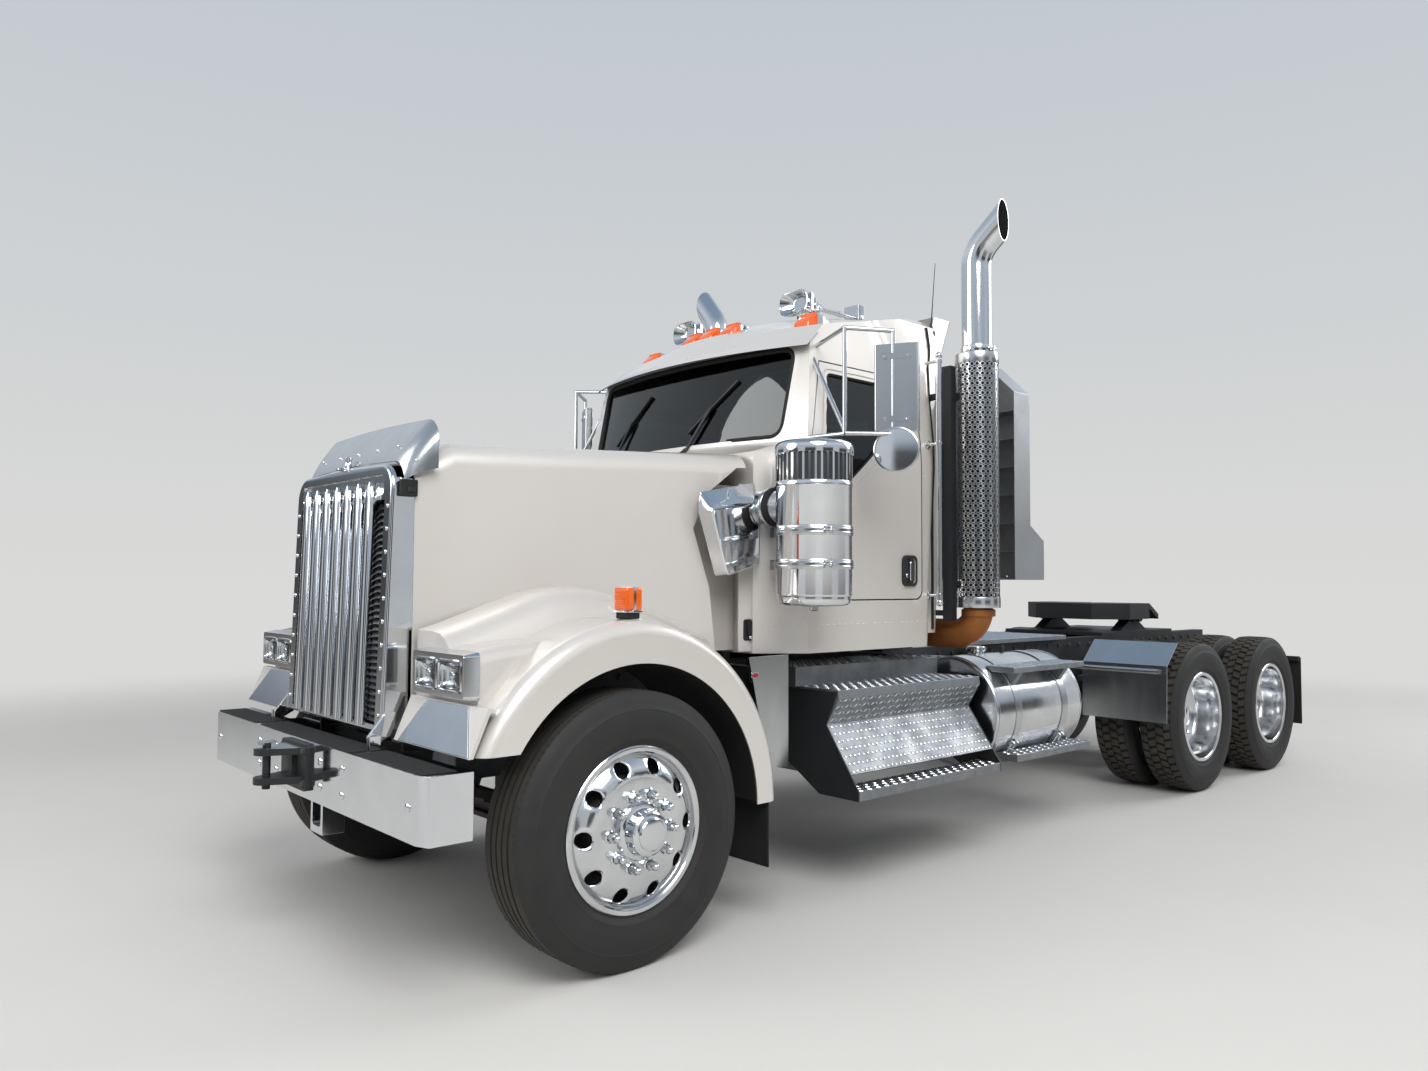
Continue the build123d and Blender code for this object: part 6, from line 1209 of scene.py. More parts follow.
    def turn_lamps(self):
        lamp = Shape()
        x, z = ahead(-12), 1381
        lamp.block((x - 30, 1043, z - 23.5), (x + 30, 1127, z + 4), "black_rubber", 6)
        lamp.block((x - 36, 1035, z + 2), (x + 36, 1135, z + 10), "chrome_plate", 3)
        lamp.plate(rounded(100, 96, 10, middle=(0, 50)), 12, "chrome_plate",
                   facing((x - 6, 1085, z + 6), (1, 0, 0)),
                   bevel=2, both=True)
        for turn in (1, -1):
            at = facing((x + turn * 5, 1085, z + 56), (turn, 0, 0))
            rings = []
            for w, h, r, depth in ((96, 92, 9, 0), (96, 92, 9, 24), (92, 88, 8, 29), (80, 76, 7, 31.5)):
                rings.append([(px, py, depth) for px, py in rounded(w, h, r, 3)])
            lamp.skin(rings, "amber_acrylic", at=at)
            for k in range(-4, 5):
                lamp.skin([[(-38, k * 8.5 - 2.6, 31), (38, k * 8.5 - 2.6, 31), (38, k * 8.5 + 2.6, 31),
                            (-38, k * 8.5 + 2.6, 31)],
                           [(-36, k * 8.5 - 0.8, 33), (36, k * 8.5 - 0.8, 33), (36, k * 8.5 + 0.8, 33),
                            (-36, k * 8.5 + 0.8, 33)]],
                          "amber_acrylic", at=at)
        lamp.both_sides()
        lamp.done("fender_turn_lamps", "hood", "amber_lens", ("turn_lamps",))

    def bumper(self):
        softened("plated_bumper", ["bumper"], "chassis", "chrome_trim", self.bumper_face, bevel=3)
        tread = Shape()
        for y0, y1 in ((-1120, -560), (560, 1120), (-500, 500)):
            x0, x1 = (ahead(745), ahead(872))
            tread.block((x0, y0, 846.5), (x1, y1, 850), "black_rubber", 1.2)
        tread.done("bumper_tread", "chassis", "rubber_black")
        ribs = []
        for x in range(752, 870, 9):
            for y0 in range(-1100, 1101, 50):
                if 500 < abs(y0) < 580:
                    continue
                ribs.append(((ahead(x), y0, 850), (0, 0, 1), (0, 1, 0)))
        bar = Shape()
        bar.skin([[(-23, -2, -0.5), (23, -2, -0.5), (23, 2, -0.5), (-23, 2, -0.5)],
                  [(-22, -1, 2), (22, -1, 2), (22, 1, 2), (-22, 1, 2)]], "black_rubber")
        spread_units("bumper_ribs", ribs, bar, "black_rubber", "chassis", "rubber_black")
        places = []
        for side in (1, -1):
            for y, z in ((250, 680), (250, 780), (470, 680), (470, 780), (1040, 730)):
                places.append(((ahead(885), side * y, z), (1, 0, 0), (0, 0, 1)))
        spread_units("bumper_bolts", places, rivet(17, 8, 16), "chrome_plate", "chassis", "chrome_trim")
        softened("tow_jaw", ["tow_hitch"], "chassis", "frame_black", self.hitch_face, bevel=3, turn=30)
        bolts = [((ahead(903), y, z), (1, 0, 0), (0, 0, 1)) for y in (-115, 115) for z in (672, 806)]
        spread_units("hitch_bolts", bolts, hex_bolt(14, 11), "cast_iron", "chassis", "frame_black")

    def bumper_face(self, centre, normal):
        # faces behind the front are the black brackets; faces looking down at the front are black too,
        # painted shade under the bumper
        shown = centre.x > ahead(690) and abs(normal.x) + abs(normal.y) + normal.z > 0
        return "chrome_plate" if shown else "chassis_enamel"

    def hitch_face(self, centre, normal):
        pin = hypot(centre.x - ahead(1010), centre.y) < 40 and (centre.z > 818 or centre.z < 672)
        if centre.x < ahead(805) and centre.z < 700:
            return "chrome_plate"
        return "mill_aluminium" if pin else "chassis_enamel"


# Cab fittings

STACK_X, STACK_Y = ahead(-2455), 1100
CLEANER_X, CLEANER_Y = ahead(-1050), 1140


class TractorFittings(bpy.types.PropertyGroup):
    """Sizes of the stacks, cleaners and steps that may be changed."""

    holes_round: bpy.props.IntProperty(name="Holes round", description="Holes round a heat shield",
                                       default=26, min=8, max=40)
    hole_rows: bpy.props.IntProperty(name="Hole rows", description="Rows of holes in a heat shield",
                                     default=48, min=8, max=70)
    tread_pitch: bpy.props.FloatProperty(name="Tread pitch",
                                         description="Spacing of floor-plate bars in millimetres",
                                         default=33, min=20, max=60)


class OBJECT_OT_tractor_stacks(bpy.types.Operator):
    """Makes the exhaust stacks, their perforated shields and the elbows below"""

    bl_idname = "tractor.stacks"
    bl_label = "Exhaust stacks"

    def execute(self, context):
        look = context.scene.tractor_fittings
        out_dir = Vector((-0.2, 0.98, 0)).normalized()
        knee, bend = 3303, 200
        pipes = Shape()
        path = [Vector((STACK_X, STACK_Y, z)) for z in (1372, 2790, knee)]
        for k in range(1, 13):
            a = radians(45 * k / 12)
            path.append(path[2] + out_dir * (bend * (1 - cos(a))) + Vector((0, 0, bend * sin(a))))
        lean = (out_dir + Vector((0, 0, 1))).normalized()
        mouth = out_dir * 160
        side = Vector((0, 0, 1)).cross(out_dir).normalized()
        rings = {}
        for radius in (84, 80.5):
            made = []
            for i, here in enumerate(path):
                along = lean
                if i < len(path) - 1:
                    along = (path[i + 1] - path[max(i - 1, 0)]).normalized()
                other = along.cross(side)
                made.append([here + (side * cos(tau * k / 40) + other * sin(tau * k / 40)) * radius
                             for k in range(40)])
            # the tail is cut by an upright plane
            tip = []
            for point in made[-1]:
                short = (Vector((STACK_X, STACK_Y, 0)) + mouth - Vector((point.x, point.y, 0))).dot(out_dir)
                tip.append(point + lean * (short / lean.dot(out_dir)))
            made.append([p.lerp(q, 0.5) for p, q in zip(made[-1], tip)])
            made.append(tip)
            rings[radius] = made
        pipes.skin(rings[84][1:], "chrome_plate", caps=False)
        # under the shield the outer wall is near-black, painted shade seen through the holes; inside the
        # mouth the same finish is soot
        pipes.skin(rings[84][:2], "soot_and_painted_shade", caps=False)
        pipes.skin(rings[80.5][2:], "soot_and_painted_shade", caps=False)
        pipes.skin([rings[84][-1], rings[80.5][-1]], "chrome_plate", caps=False)
        # raised bands under the shield and at the pipe's foot
        at = Matrix.Translation((STACK_X, STACK_Y, 0))
        for z in (1380, 2806):
            pipes.lathe([(84, z - 4), (89, z - 2), (91, z + 4), (91, z + 34), (89, z + 40), (84, z + 42)],
                        "chrome_plate",
                        at, 40)
            pipes.block((STACK_X - 12, STACK_Y + 84, z + 4), (STACK_X + 12, STACK_Y + 112, z + 32),
                        "stainless_sheet", 3)
            pipes.tube([(STACK_X - 34, STACK_Y + 101, z + 18), (STACK_X + 34, STACK_Y + 101, z + 18)], 5,
                       "stainless_sheet", 8)
        # elbow below: browned steel turning in under the cab
        elbow = []
        for k in range(13):
            a = radians(90 * k / 12)
            elbow.append(Vector((STACK_X, STACK_Y - 150 * (1 - cos(a)), 1371 - 150 * sin(a))))
        elbow += [Vector((STACK_X, 700, 1221)), Vector((STACK_X, 500, 1221))]
        pipes.tube(elbow, 82, "heat_browned_steel", 32)
        pipes.lathe([(82, 1322), (92, 1324), (93, 1330), (93, 1356), (92, 1362), (82, 1364)],
                    "heat_browned_steel", at, 32)
        pipes.both_sides()
        pipes.done("stack_pipes", "chassis", "chrome_trim", ("exhaust_stacks",), crease=40)
        self.shields(look)
        return {"FINISHED"}

    def shields(self, look):
        radius, low, high = 118, 1400, 2772
        count, rows = look.holes_round, look.hole_rows
        cell_w = tau / count
        rise = (high - low - 60) / rows
        hole = min(rise, radius * cell_w) * 0.33
        unit = Shape()
        corners = []
        for k in range(8):
            a = tau * (k + 0.5) / 8
            cx, cy = cos(a), sin(a)
            corners.append((0.5 * cell_w * max(-1, min(1, cx / cos(tau / 16))),
                            0.5 * rise * max(-1, min(1, cy / cos(tau / 16)))))

        def bent(angle, z, r=radius):
            return (r * cos(angle), r * sin(angle), low + 30 + rise / 2 + z)
        rim = [bent(hole / radius * cos(tau * (k + 0.5) / 8),
                    hole * sin(tau * (k + 0.5) / 8)) for k in range(8)]
        depth = [bent(hole / radius * cos(tau * (k + 0.5) / 8), hole * sin(tau * (k + 0.5) / 8),
                      radius - 3) for k in range(8)]
        outer = [bent(a, z) for a, z in corners]
        unit.skin([outer, rim], "stainless_sheet", caps=False)
        unit.skin([rim, depth], "stainless_sheet", caps=False)
        # the two corners of the brick cell on either side of the octagon are part of the outline already
        meshes = []
        for side in (1, -1):
            at = Matrix.Translation((STACK_X, side * STACK_Y, 0))
            rings = Shape()
            for z0, z1 in ((low - 28, low + 30), (high - 30, high + 28)):
                rings.lathe([(112, z0 + 6), (114, z0), (120, z0), (121, z0 + 3), (121, z1 - 3), (120, z1),
                             (117, z1), (115, z1)],
                            "stainless_sheet", at, 40)
            for z in (1400, 1750, 2100, 2450, 2760):
                rings.block((STACK_X - 10, side * STACK_Y - 118, z),
                            (STACK_X + 10, side * STACK_Y - 84, z + 30),
                            "mill_aluminium", 2)
            meshes.append(rings.mesh("rings"))
            copy_unit = Shape()
            copy_unit.bm = unit.bm.copy()
            copy_unit.used = list(unit.used)
            meshes.append(ring_of(copy_unit, count, at, "stainless_sheet", rows=rows, rise=rise, shift=0.5))
        unit.bm.free()
        together("heat_shields", meshes, "chassis", "chrome_trim", ("stack_shields",))


class OBJECT_OT_tractor_cleaners(bpy.types.Operator):
    """Makes the air cleaners with their bands, slots, ducts and covers"""

    bl_idname = "tractor.cleaners"
    bl_label = "Air cleaners"

    def execute(self, context):
        can = Shape()
        at = Matrix.Translation((CLEANER_X, CLEANER_Y, 0))
        profile = [(0, 1394), (30, 1394), (60, 1397), (150, 1399), (164, 1404), (171, 1414), (172.5, 1436),
                   (172.5, 1441),
                   (177, 1446), (178, 1452), (178, 1948), (180, 1951), (183, 1953), (183, 1969),
                   (180, 1973), (176, 1975)]
        can.lathe(profile, "chrome_plate", at, 64)
        # black band under the cap: painted shade, seen in the slots between the bars
        can.lathe([(176, 1975), (176, 2096)], "black_abs", at, 64)
        can.lathe([(176, 2096), (181, 2097), (185, 2100), (186, 2112), (185, 2136), (181, 2146),
                   (172, 2154), (158, 2161),
                   (120, 2164), (60, 2166), (0, 2166)], "chrome_plate", at, 64)
        # upright bars below the cap, over the black band of painted shade that fills the slots
        for k in range(40):
            a = tau * k / 40
            spot = Matrix.Translation((CLEANER_X, CLEANER_Y, 0)) @ Matrix.Rotation(a, 4, "Z")
            can.skin([[(172, -5, z), (179.5, -5, z), (179.5, 5, z), (172, 5, z)] for z in (1974, 2098)],
                     "chrome_plate",
                     at=spot)
        for z in (1590, 1745):
            can.lathe([(178, z - 23), (182, z - 22), (184, z - 18), (184, z + 18), (182, z + 22),
                       (178, z + 23)],
                      "stainless_sheet", at, 64)
            for k in (-1, 1):
                can.lathe([(184, z + k * 9 - 3), (185.5, z + k * 9), (184, z + k * 9 + 3)],
                          "stainless_sheet", at, 64)
            # clamp: two lugs and a T-bolt on the outer front side
            spot = Matrix.Translation((CLEANER_X, CLEANER_Y, z)) @ Matrix.Rotation(radians(62), 4, "Z")
            for y in (-16, 16):
                can.plate(rounded(26, 34, 6, middle=(196, 0)), 4, "stainless_sheet",
                          spot @ Matrix.Translation((0, y, 0)) @ Matrix.Rotation(pi / 2, 4, "X"), bevel=0.8)
            can.tube([spot @ Vector((196, -34, 0)), spot @ Vector((196, 30, 0))], 4.5, "chrome_plate", 8)
        can.lathe([(22, 1396), (22, 1378), (16, 1374), (0, 1374)], "stainless_sheet", at, 20)
        # duct to the hood's side, with a clamp ring and a rubber hump
        duct = facing((CLEANER_X + 30, CLEANER_Y - 330, 1868), (0, 1, 0))
        can.lathe([(84, -30), (84, 60), (88, 64), (90, 74), (88, 84), (84, 88), (84, 190)],
                  "stainless_sheet", duct, 40)
        can.lathe([(84, 96), (92, 98), (96, 106), (96, 124), (92, 132), (84, 134)], "black_rubber", duct, 40)
        # brackets to the cowl
        for z in (1590, 1745):
            can.block((CLEANER_X - 30, 880, z - 26), (CLEANER_X + 30, 972, z + 26), "stainless_sheet", 4)
            for x in (-22, 22):
                can.lathe([(8, 0), (8, 6), (5, 8), (0, 8)], "chrome_plate",
                          facing((CLEANER_X + x, 930, z + 26), (0, 0, 1)), 10)
        self.cover(can)
        can.both_sides()
        can.done("cleaner_cans", "chassis", "chrome_trim", ("air_cleaners",), crease=40)
        return {"FINISHED"}

    def cover(self, can):
        """Intake cover in front of the can: folded sheet with a rolled edge."""
        inner = [(-650, 1926), (-1002, 1992), (-1050, 1870), (-1040, 1592), (-748, 1530), (-640, 1832)]
        outer = [(-660, 1838), (-930, 1876), (-960, 1872), (-955, 1592), (-752, 1534), (-650, 1832)]
        rows = []
        for share, draw in ((0, 0), (0.04, 0), (0.5, 0), (0.93, 0), (1.0, 5)):
            loop = [((1 - share) * a[0] + share * b[0], (1 - share) * a[1] + share * b[1]) for a,
                    b in zip(inner, outer)]
            loop = [(v.x, v.y) for v in window_loop(loop, 26 if share else 20, 5)]
            if draw:
                loop = drawn_in(loop, draw)
            rows.append([(ahead(x), 790 + 84 * share - (1 if share == 1 else 0), z) for x, z in loop])
        can.skin(rows, "chrome_plate")


class OBJECT_OT_tractor_steps(bpy.types.Operator):
    """Makes the steps, tanks, straps and floor plates with their raised bars"""

    bl_idname = "tractor.steps"
    bl_label = "Steps and tanks"

    def execute(self, context):
        pitch = context.scene.tractor_fittings.tread_pitch
        softened("plate_steps", ["tread_plates"], "chassis", "tread_plate", only("floor_plate"), bevel=2.5,
                 turn=20)
        self.bars(pitch)
        self.tanks()
        return {"FINISHED"}

    def bars(self, pitch):
        find = skin_finder("tread_plates")
        places = []

        def field(origin, u, v, wide, high, direction):
            """Bars in a checker pattern over a rectangle, cast onto the plates."""
            u, v = Vector(u).normalized(), Vector(v).normalized()
            across, up = int(wide / pitch), int(high / pitch)
            for i in range(across + 1):
                for j in range(up + 1):
                    start = Vector(origin) + u * (i * wide / max(1, across)) + v * (j * high / max(1, up))
                    place, normal = find(start, direction)
                    if place is None or normal.dot(Vector(direction)) > -0.35:
                        continue
                    along = u + v if (i + j) % 2 else u - v
                    places.append((place, normal, along - normal * along.dot(normal)))
        for side in (1, -1):
            # tops of the step boxes, their treads and the low steps
            field((ahead(-2480), side * 462, 1300), (1, 0, 0), (0, side, 0), 1160, 310, (0, 0, -1))
            field((ahead(-2480), side * 806, 1300), (1, 0, 0), (0, side, 0), 1160, 250, (0, 0, -1))
            field((ahead(-2480), side * 1072, 545), (1, 0, 0), (0, side, 0), 1160, 122, (0, 0, -1))
            # sloping front of the box
            field((ahead(-2480), side * 1400, 602), (1, 0, 0), (0, 0, 1), 1160, 330, (0, -side, 0))
            # tank steps
            field((ahead(-3420), side * 992, 1200), (1, 0, 0), (0, side, 0), 760, 200, (0, 0, -1))
            field((ahead(-3480), side * 1062, 640), (1, 0, 0), (0, side, 0), 800, 130, (0, 0, -1))
        field((ahead(-4480), -480, 1300), (1, 0, 0), (0, 1, 0), 1160, 960, (0, 0, -1))
        bar = Shape()
        bar.skin([[(-14, -2, -0.3), (0, -4.5, -0.3), (14, -2, -0.3), (14, 2, -0.3), (0, 4.5, -0.3),
                   (-14, 2, -0.3)],
                  [(-10, -0.8, 2.4), (0, -2.4, 3), (10, -0.8, 2.4), (10, 0.8, 2.4), (0, 2.4, 3),
                   (-10, 0.8, 2.4)]],
                 "polished_aluminium")
        spread_units("plate_bars", places, bar, "polished_aluminium", "chassis", "tread_plate")

    def tanks(self):
        tank = Shape()
        x0, x1, z = ahead(-3500), ahead(-2560), 765
        middle = (x0 + x1) / 2
        at = facing((x0, 842, z), (1, 0, 0))
        long = x1 - x0
        tank.lathe([(0, 6), (180, 5), (270, 4), (300, 2), (308, 5), (313, 11), (315, 20), (315, long - 20),
                    (313, long - 11),
                    (308, long - 5), (300, long - 2), (270, long - 4), (180, long - 5), (0, long - 6)],
                   "polished_aluminium", at, 72)
        for end in (18, long - 18):
            tank.lathe([(315, end - 5), (317.5, end - 2), (317.5, end + 2), (315, end + 5)],
                       "polished_aluminium", at, 72)
        # filler neck and cap
        neck = facing((middle + 120, 782, z + 300), (0, 0, 1))
        tank.lathe([(56, 0), (50, 8), (48, 14), (48, 30), (50, 32)], "polished_aluminium", neck, 32)
        tank.lathe([(54, 30), (56, 33), (56, 52), (53, 57), (20, 60), (0, 60)], "stainless_sheet", neck, 32)
        for k in range(6):
            spot = neck @ Matrix.Rotation(tau * k / 6, 4, "Z")
            tank.skin([[(50, -6, w), (60, -5, w), (60, 5, w), (50, 6, w)] for w in (34, 51)],
                      "stainless_sheet", at=spot)
        # hose fitting
        tank.lathe([(12, 0), (12, 24), (16, 26), (16, 40), (9, 44), (9, 60)], "cast_iron",
                   facing((middle - 200, 760, z + 302), (0, 0, 1)), 12)
        tank.both_sides()
        tank.done("tank_barrels", "chassis", "bare_aluminium", ("fuel_tanks",), crease=40)
        softened("tank_bands", ["tank_straps"], "chassis", "chrome_trim", only("stainless_sheet"), bevel=1.5)
        clamp = Shape()
        for x in (x0 + 215, x1 - 215):
            at = Matrix.Translation((x, 842, z)) @ Matrix.Rotation(radians(-38), 4, "X")
            for dx in (-20, 20):
                clamp.tube([at @ Vector((dx, 330, -46)), at @ Vector((dx, 330, 46))], 7, "stainless_sheet", 8)
                for w in (-40, 36):
                    clamp.lathe([(12, 0), (12, 8), (0, 8)], "stainless_sheet",
                                facing(at @ Vector((dx, 330, w)), at.to_3x3() @ Vector((0, 0, 1)),
                                       (1, 0, 0)), 6)
            clamp.block((x - 30, 1058, 548), (x + 30, 1068, 640), "stainless_sheet", 2)
        clamp.both_sides()
        clamp.done("band_clamps", "chassis", "chrome_trim")


# Roof, mirrors, cabin, rear

# pieces that keep their CAD shape with merged faces and softened edges:
# name, nodes, body, slot, finish, bevel
PLAIN = [
    ("guard_panel", ["cab_guard"], "chassis", "bare_aluminium", "mill_aluminium", 2.0),
    ("quarter_guards", ["quarter_fenders"], "chassis", "chrome_trim", "stainless_sheet", 1.5),
    ("rear_flaps", ["rear_mudflaps"], "chassis", "rubber_black", "black_rubber", 1.5),
    ("side_steelwork", ["side_brackets"], "chassis", "frame_black", "chassis_enamel", 2.0),
    ("frame_steelwork", ["frame_rails"], "chassis", "frame_black", "chassis_enamel", 3.0),
    ("beam_axle", ["front_axle"], "chassis", "axle_iron", "cast_iron", 4.0),
    ("tandem_axles", ["drive_axles"], "chassis", "axle_iron", "cast_iron", 4.0),
    ("walking_beams", ["rear_suspension"], "chassis", "frame_black", "chassis_enamel", 4.0),
    ("engine_body", ["engine_block"], "chassis", "engine_grey", "engine_enamel", 8.0),
    ("radiator_tank", ["radiator"], "chassis", "core_metal", "core_fins", 4.0),
    ("arch_liners", ["fender_liners"], "hood", "black_plastic", "black_rubber", 1.2),
    ("coupling_base", ["fifth_base"], "chassis", "frame_black", "chassis_enamel", 3.0),
    ("coupling_plate", ["fifth_plate"], "fifth_plate", "frame_black", "chassis_enamel", 3.0),
    ("knuckle_body_left", ["knuckle_left"], "knuckle_left", "axle_iron", "cast_iron", 3.0),
    ("knuckle_body_right", ["knuckle_right"], "knuckle_right", "axle_iron", "cast_iron", 3.0),
    ("track_rod", ["tie_rod"], "tie_rod", "axle_iron", "cast_iron", 0),
    ("cowl_lining", ["cowl_skirts"], "chassis", "chrome_trim", "stainless_sheet", 1.2),
    ("wiper_set", ["wipers"], "chassis", "black_plastic", "black_abs", 1.0),
    ("dash_panel", ["dashboard"], "chassis", "cabin_grey", "cabin_vinyl", 9.0),
]

HEAD = Matrix.Translation((ahead(-1440), 1318, 2238)) @ Matrix((
    (-sin(radians(28)), cos(radians(28)), 0), (-cos(radians(28)), -sin(radians(28)), 0),
    (0, 0, 1))).transposed().to_4x4()


class TractorCabin(bpy.types.PropertyGroup):
    """Choices inside the cab."""

    pleats: bpy.props.IntProperty(name="Seat pleats", description="Sewn channels across a seat's back",
                                  default=7, min=2, max=14)
    fill: bpy.props.FloatProperty(name="Cushion fill", description="How full the seat foam is",
                                  default=0.8, min=0, max=1)


def pillow(shape, at, wide, long, thick, pleats, finish_name):
    """Padded slab: sewn channels across, rolled edges, soft corners."""
    rings = []
    steps = pleats * 6
    for k in range(steps + 1):
        t = k / steps
        edge = (1 - abs(2 * t - 1) ** 7) ** 0.5
        half_w = wide / 2 * (0.9 + 0.1 * edge)
        half_h = thick / 2 * (0.3 + 0.7 * edge)
        half_h *= 1 - 0.13 * abs(cos(pi * t * pleats)) ** 6 * (0.25 if k in (0, steps) else 1)
        ring = []
        for i in range(32):
            a = tau * i / 32
            across = abs(cos(a)) ** 0.5 * (1 if cos(a) > 0 else -1)
            up = abs(sin(a)) ** 0.62 * (1 if sin(a) > 0 else -1)
            crown = 1 + 0.1 * (1 - across ** 2) if up > 0 else 1
            ring.append((half_w * across, (t - 0.5) * long, half_h * up * crown))
        rings.append(ring)
    shape.skin(rings, finish_name, at=at)


class OBJECT_OT_tractor_cabin(bpy.types.Operator):
    """Makes the padded seats, the gauges and the steering wheel"""

    bl_idname = "tractor.cabin"
    bl_label = "Cabin"

    def execute(self, context):
        look = context.scene.tractor_cabin
        self.seats(look)
        self.dash()
        self.hand_wheel()
        return {"FINISHED"}

    def seats(self, look):
        base = Shape()
        for side, word in ((1, "left"), (-1, "right")):
            seat = Shape()
            y = side * 480
            flat = Matrix(((0, 1, 0), (-1, 0, 0), (0, 0, 1))).transposed().to_4x4()
            pillow(seat, Matrix.Translation((ahead(-1860), y, 1632)) @ Matrix.Rotation(radians(-3.5), 4,
                                                                                       "Y") @ flat,
                   496, 470, 124, 4, "seat_cloth")
            back = Matrix(((0, 1, 0), (-0.155, 0, 0.988), (0.988, 0, 0.155))).transposed().to_4x4()
            pillow(seat, Matrix.Translation((ahead(-2122), y, 1952)) @ back, 488, 590, 104, look.pleats,
                   "seat_cloth")
            pillow(seat, Matrix.Translation((ahead(-2162), y, 2325)) @ back, 246, 150, 84, 2, "seat_cloth")
            cushion = seat.done(f"seat_cushions_{word}", "chassis", "seat_cloth",
                                ("seats",) if side > 0 else (),
                                crease=50)
            for dy in (-46, 46):
                base.tube([(ahead(-2158), y + dy, 2215), (ahead(-2164), y + dy, 2275)], 6, "chrome_plate", 8)
            # suspension base: tray, bellows and foot
            base.block((ahead(-2110), y - 210, 1528), (ahead(-1660), y + 210, 1566), "black_abs", 10)
            for k in range(7):
                r = 178 if k % 2 else 160
                z = 1262 + k * 38
                base.plate(rounded(2 * r, 2 * r - 10, 40, 3), 38, "black_rubber",
                           Matrix.Translation((ahead(-1890), y, z)), bevel=12, both=True)
            base.block((ahead(-2080), y - 190, 1206), (ahead(-1700), y + 190, 1262), "black_abs", 10)
            for dy in (-262, 262):
                base.block((ahead(-2110), y + dy - 18, 1790), (ahead(-1830), y + dy + 18, 1826),
                           "cabin_vinyl", 10)
        base.done("seat_bases", "chassis", "black_plastic")

    def dash(self):
        dials = Shape()
        for y, z, r in ((560, 2040, 52), (430, 2040, 52), (330, 2050, 34), (650, 2050, 34), (250, 2040, 30),
                        (170, 2040, 30), (90, 2040, 30), (250, 1950, 30), (170, 1950, 30), (90, 1950, 30)):
            x = ahead(-1345) + 45 * (2090 - z) / 330
            at = facing((x - 2, y, z), (-1, 0, -0.136))
            dials.lathe([(r, -2), (r + 4, 0), (r + 4, 7), (r, 9), (r - 3, 6)], "chrome_plate", at, 32)
            dials.lathe([(r - 3, 6), (r - 4, 2), (0, 2)], "black_abs", at, 32)
            for k in range(9):
                spot = at @ Matrix.Rotation(radians(-130 + 32.5 * k), 4, "Z")
                dials.skin([[(-0.8, r * 0.7, w), (0.8, r * 0.7, w), (0.8, r * 0.86, w), (-0.8, r * 0.86, w)]
                            for w in (2.2, 3.0)], "headliner", at=spot)
            needle = at @ Matrix.Rotation(radians(70), 4, "Z")
            dials.skin([[(-1.4, -r * 0.1, w), (1.4, -r * 0.1, w), (0.4, r * 0.75, w), (-0.4, r * 0.75, w)]
                        for w in (3.2, 4.4)], "red_acrylic", at=needle)
        for z in (1960, 1900):
            for k in range(8):
                y = -60 - 52 * k
                x = ahead(-1345) + 45 * (2090 - z) / 330
                at = facing((x - 1, y, z), (-1, 0, -0.136))
                dials.plate(rounded(36, 44, 5), 5, "black_abs", at, bevel=2)
                dials.plate(rounded(20, 26, 3), 11, "cabin_vinyl", at, bevel=3)
        dials.done("dash_dials", "chassis", "black_plastic")

    def hand_wheel(self):
        at = facing((ahead(-1560), 480, 2010), (-sin(radians(28)), 0, cos(radians(28))), (1, 0, 0))
        wheel = Shape()
        rings = []
        for k in range(64):
            a = tau * k / 64
            rings.append([((228 + 15 * cos(tau * i / 16)) * cos(a), (228 + 15 * cos(tau * i / 16)) * sin(a),
                           (15 + 0.8 * (k % 2)) * sin(tau * i / 16)) for i in range(16)])
        wheel.skin(rings, "black_abs", loop=True, at=at)
        for turn in (90, 210, 330):
            spot = at @ Matrix.Rotation(radians(turn + 90), 4, "Z")
            wheel.skin([[(r, y, z) for y, z in ((-w, -4), (w, -4), (w * 0.7, 4), (-w * 0.7, 4))]
                        for r, w in ((30, 26), (90, 19), (160, 14), (222, 18))], "stainless_sheet", at=spot)
        wheel.lathe([(0, -18), (40, -18), (44, -12), (58, 2), (60, 12), (52, 20), (30, 25), (0, 26)],
                    "black_abs", at, 40)
        wheel.lathe([(34, 24), (34, 27), (30, 28), (0, 28)], "chrome_plate", at, 32)
        wheel.done("hand_wheel", "steering_wheel", "cabin_grey", ("steering_wheel",), crease=50)


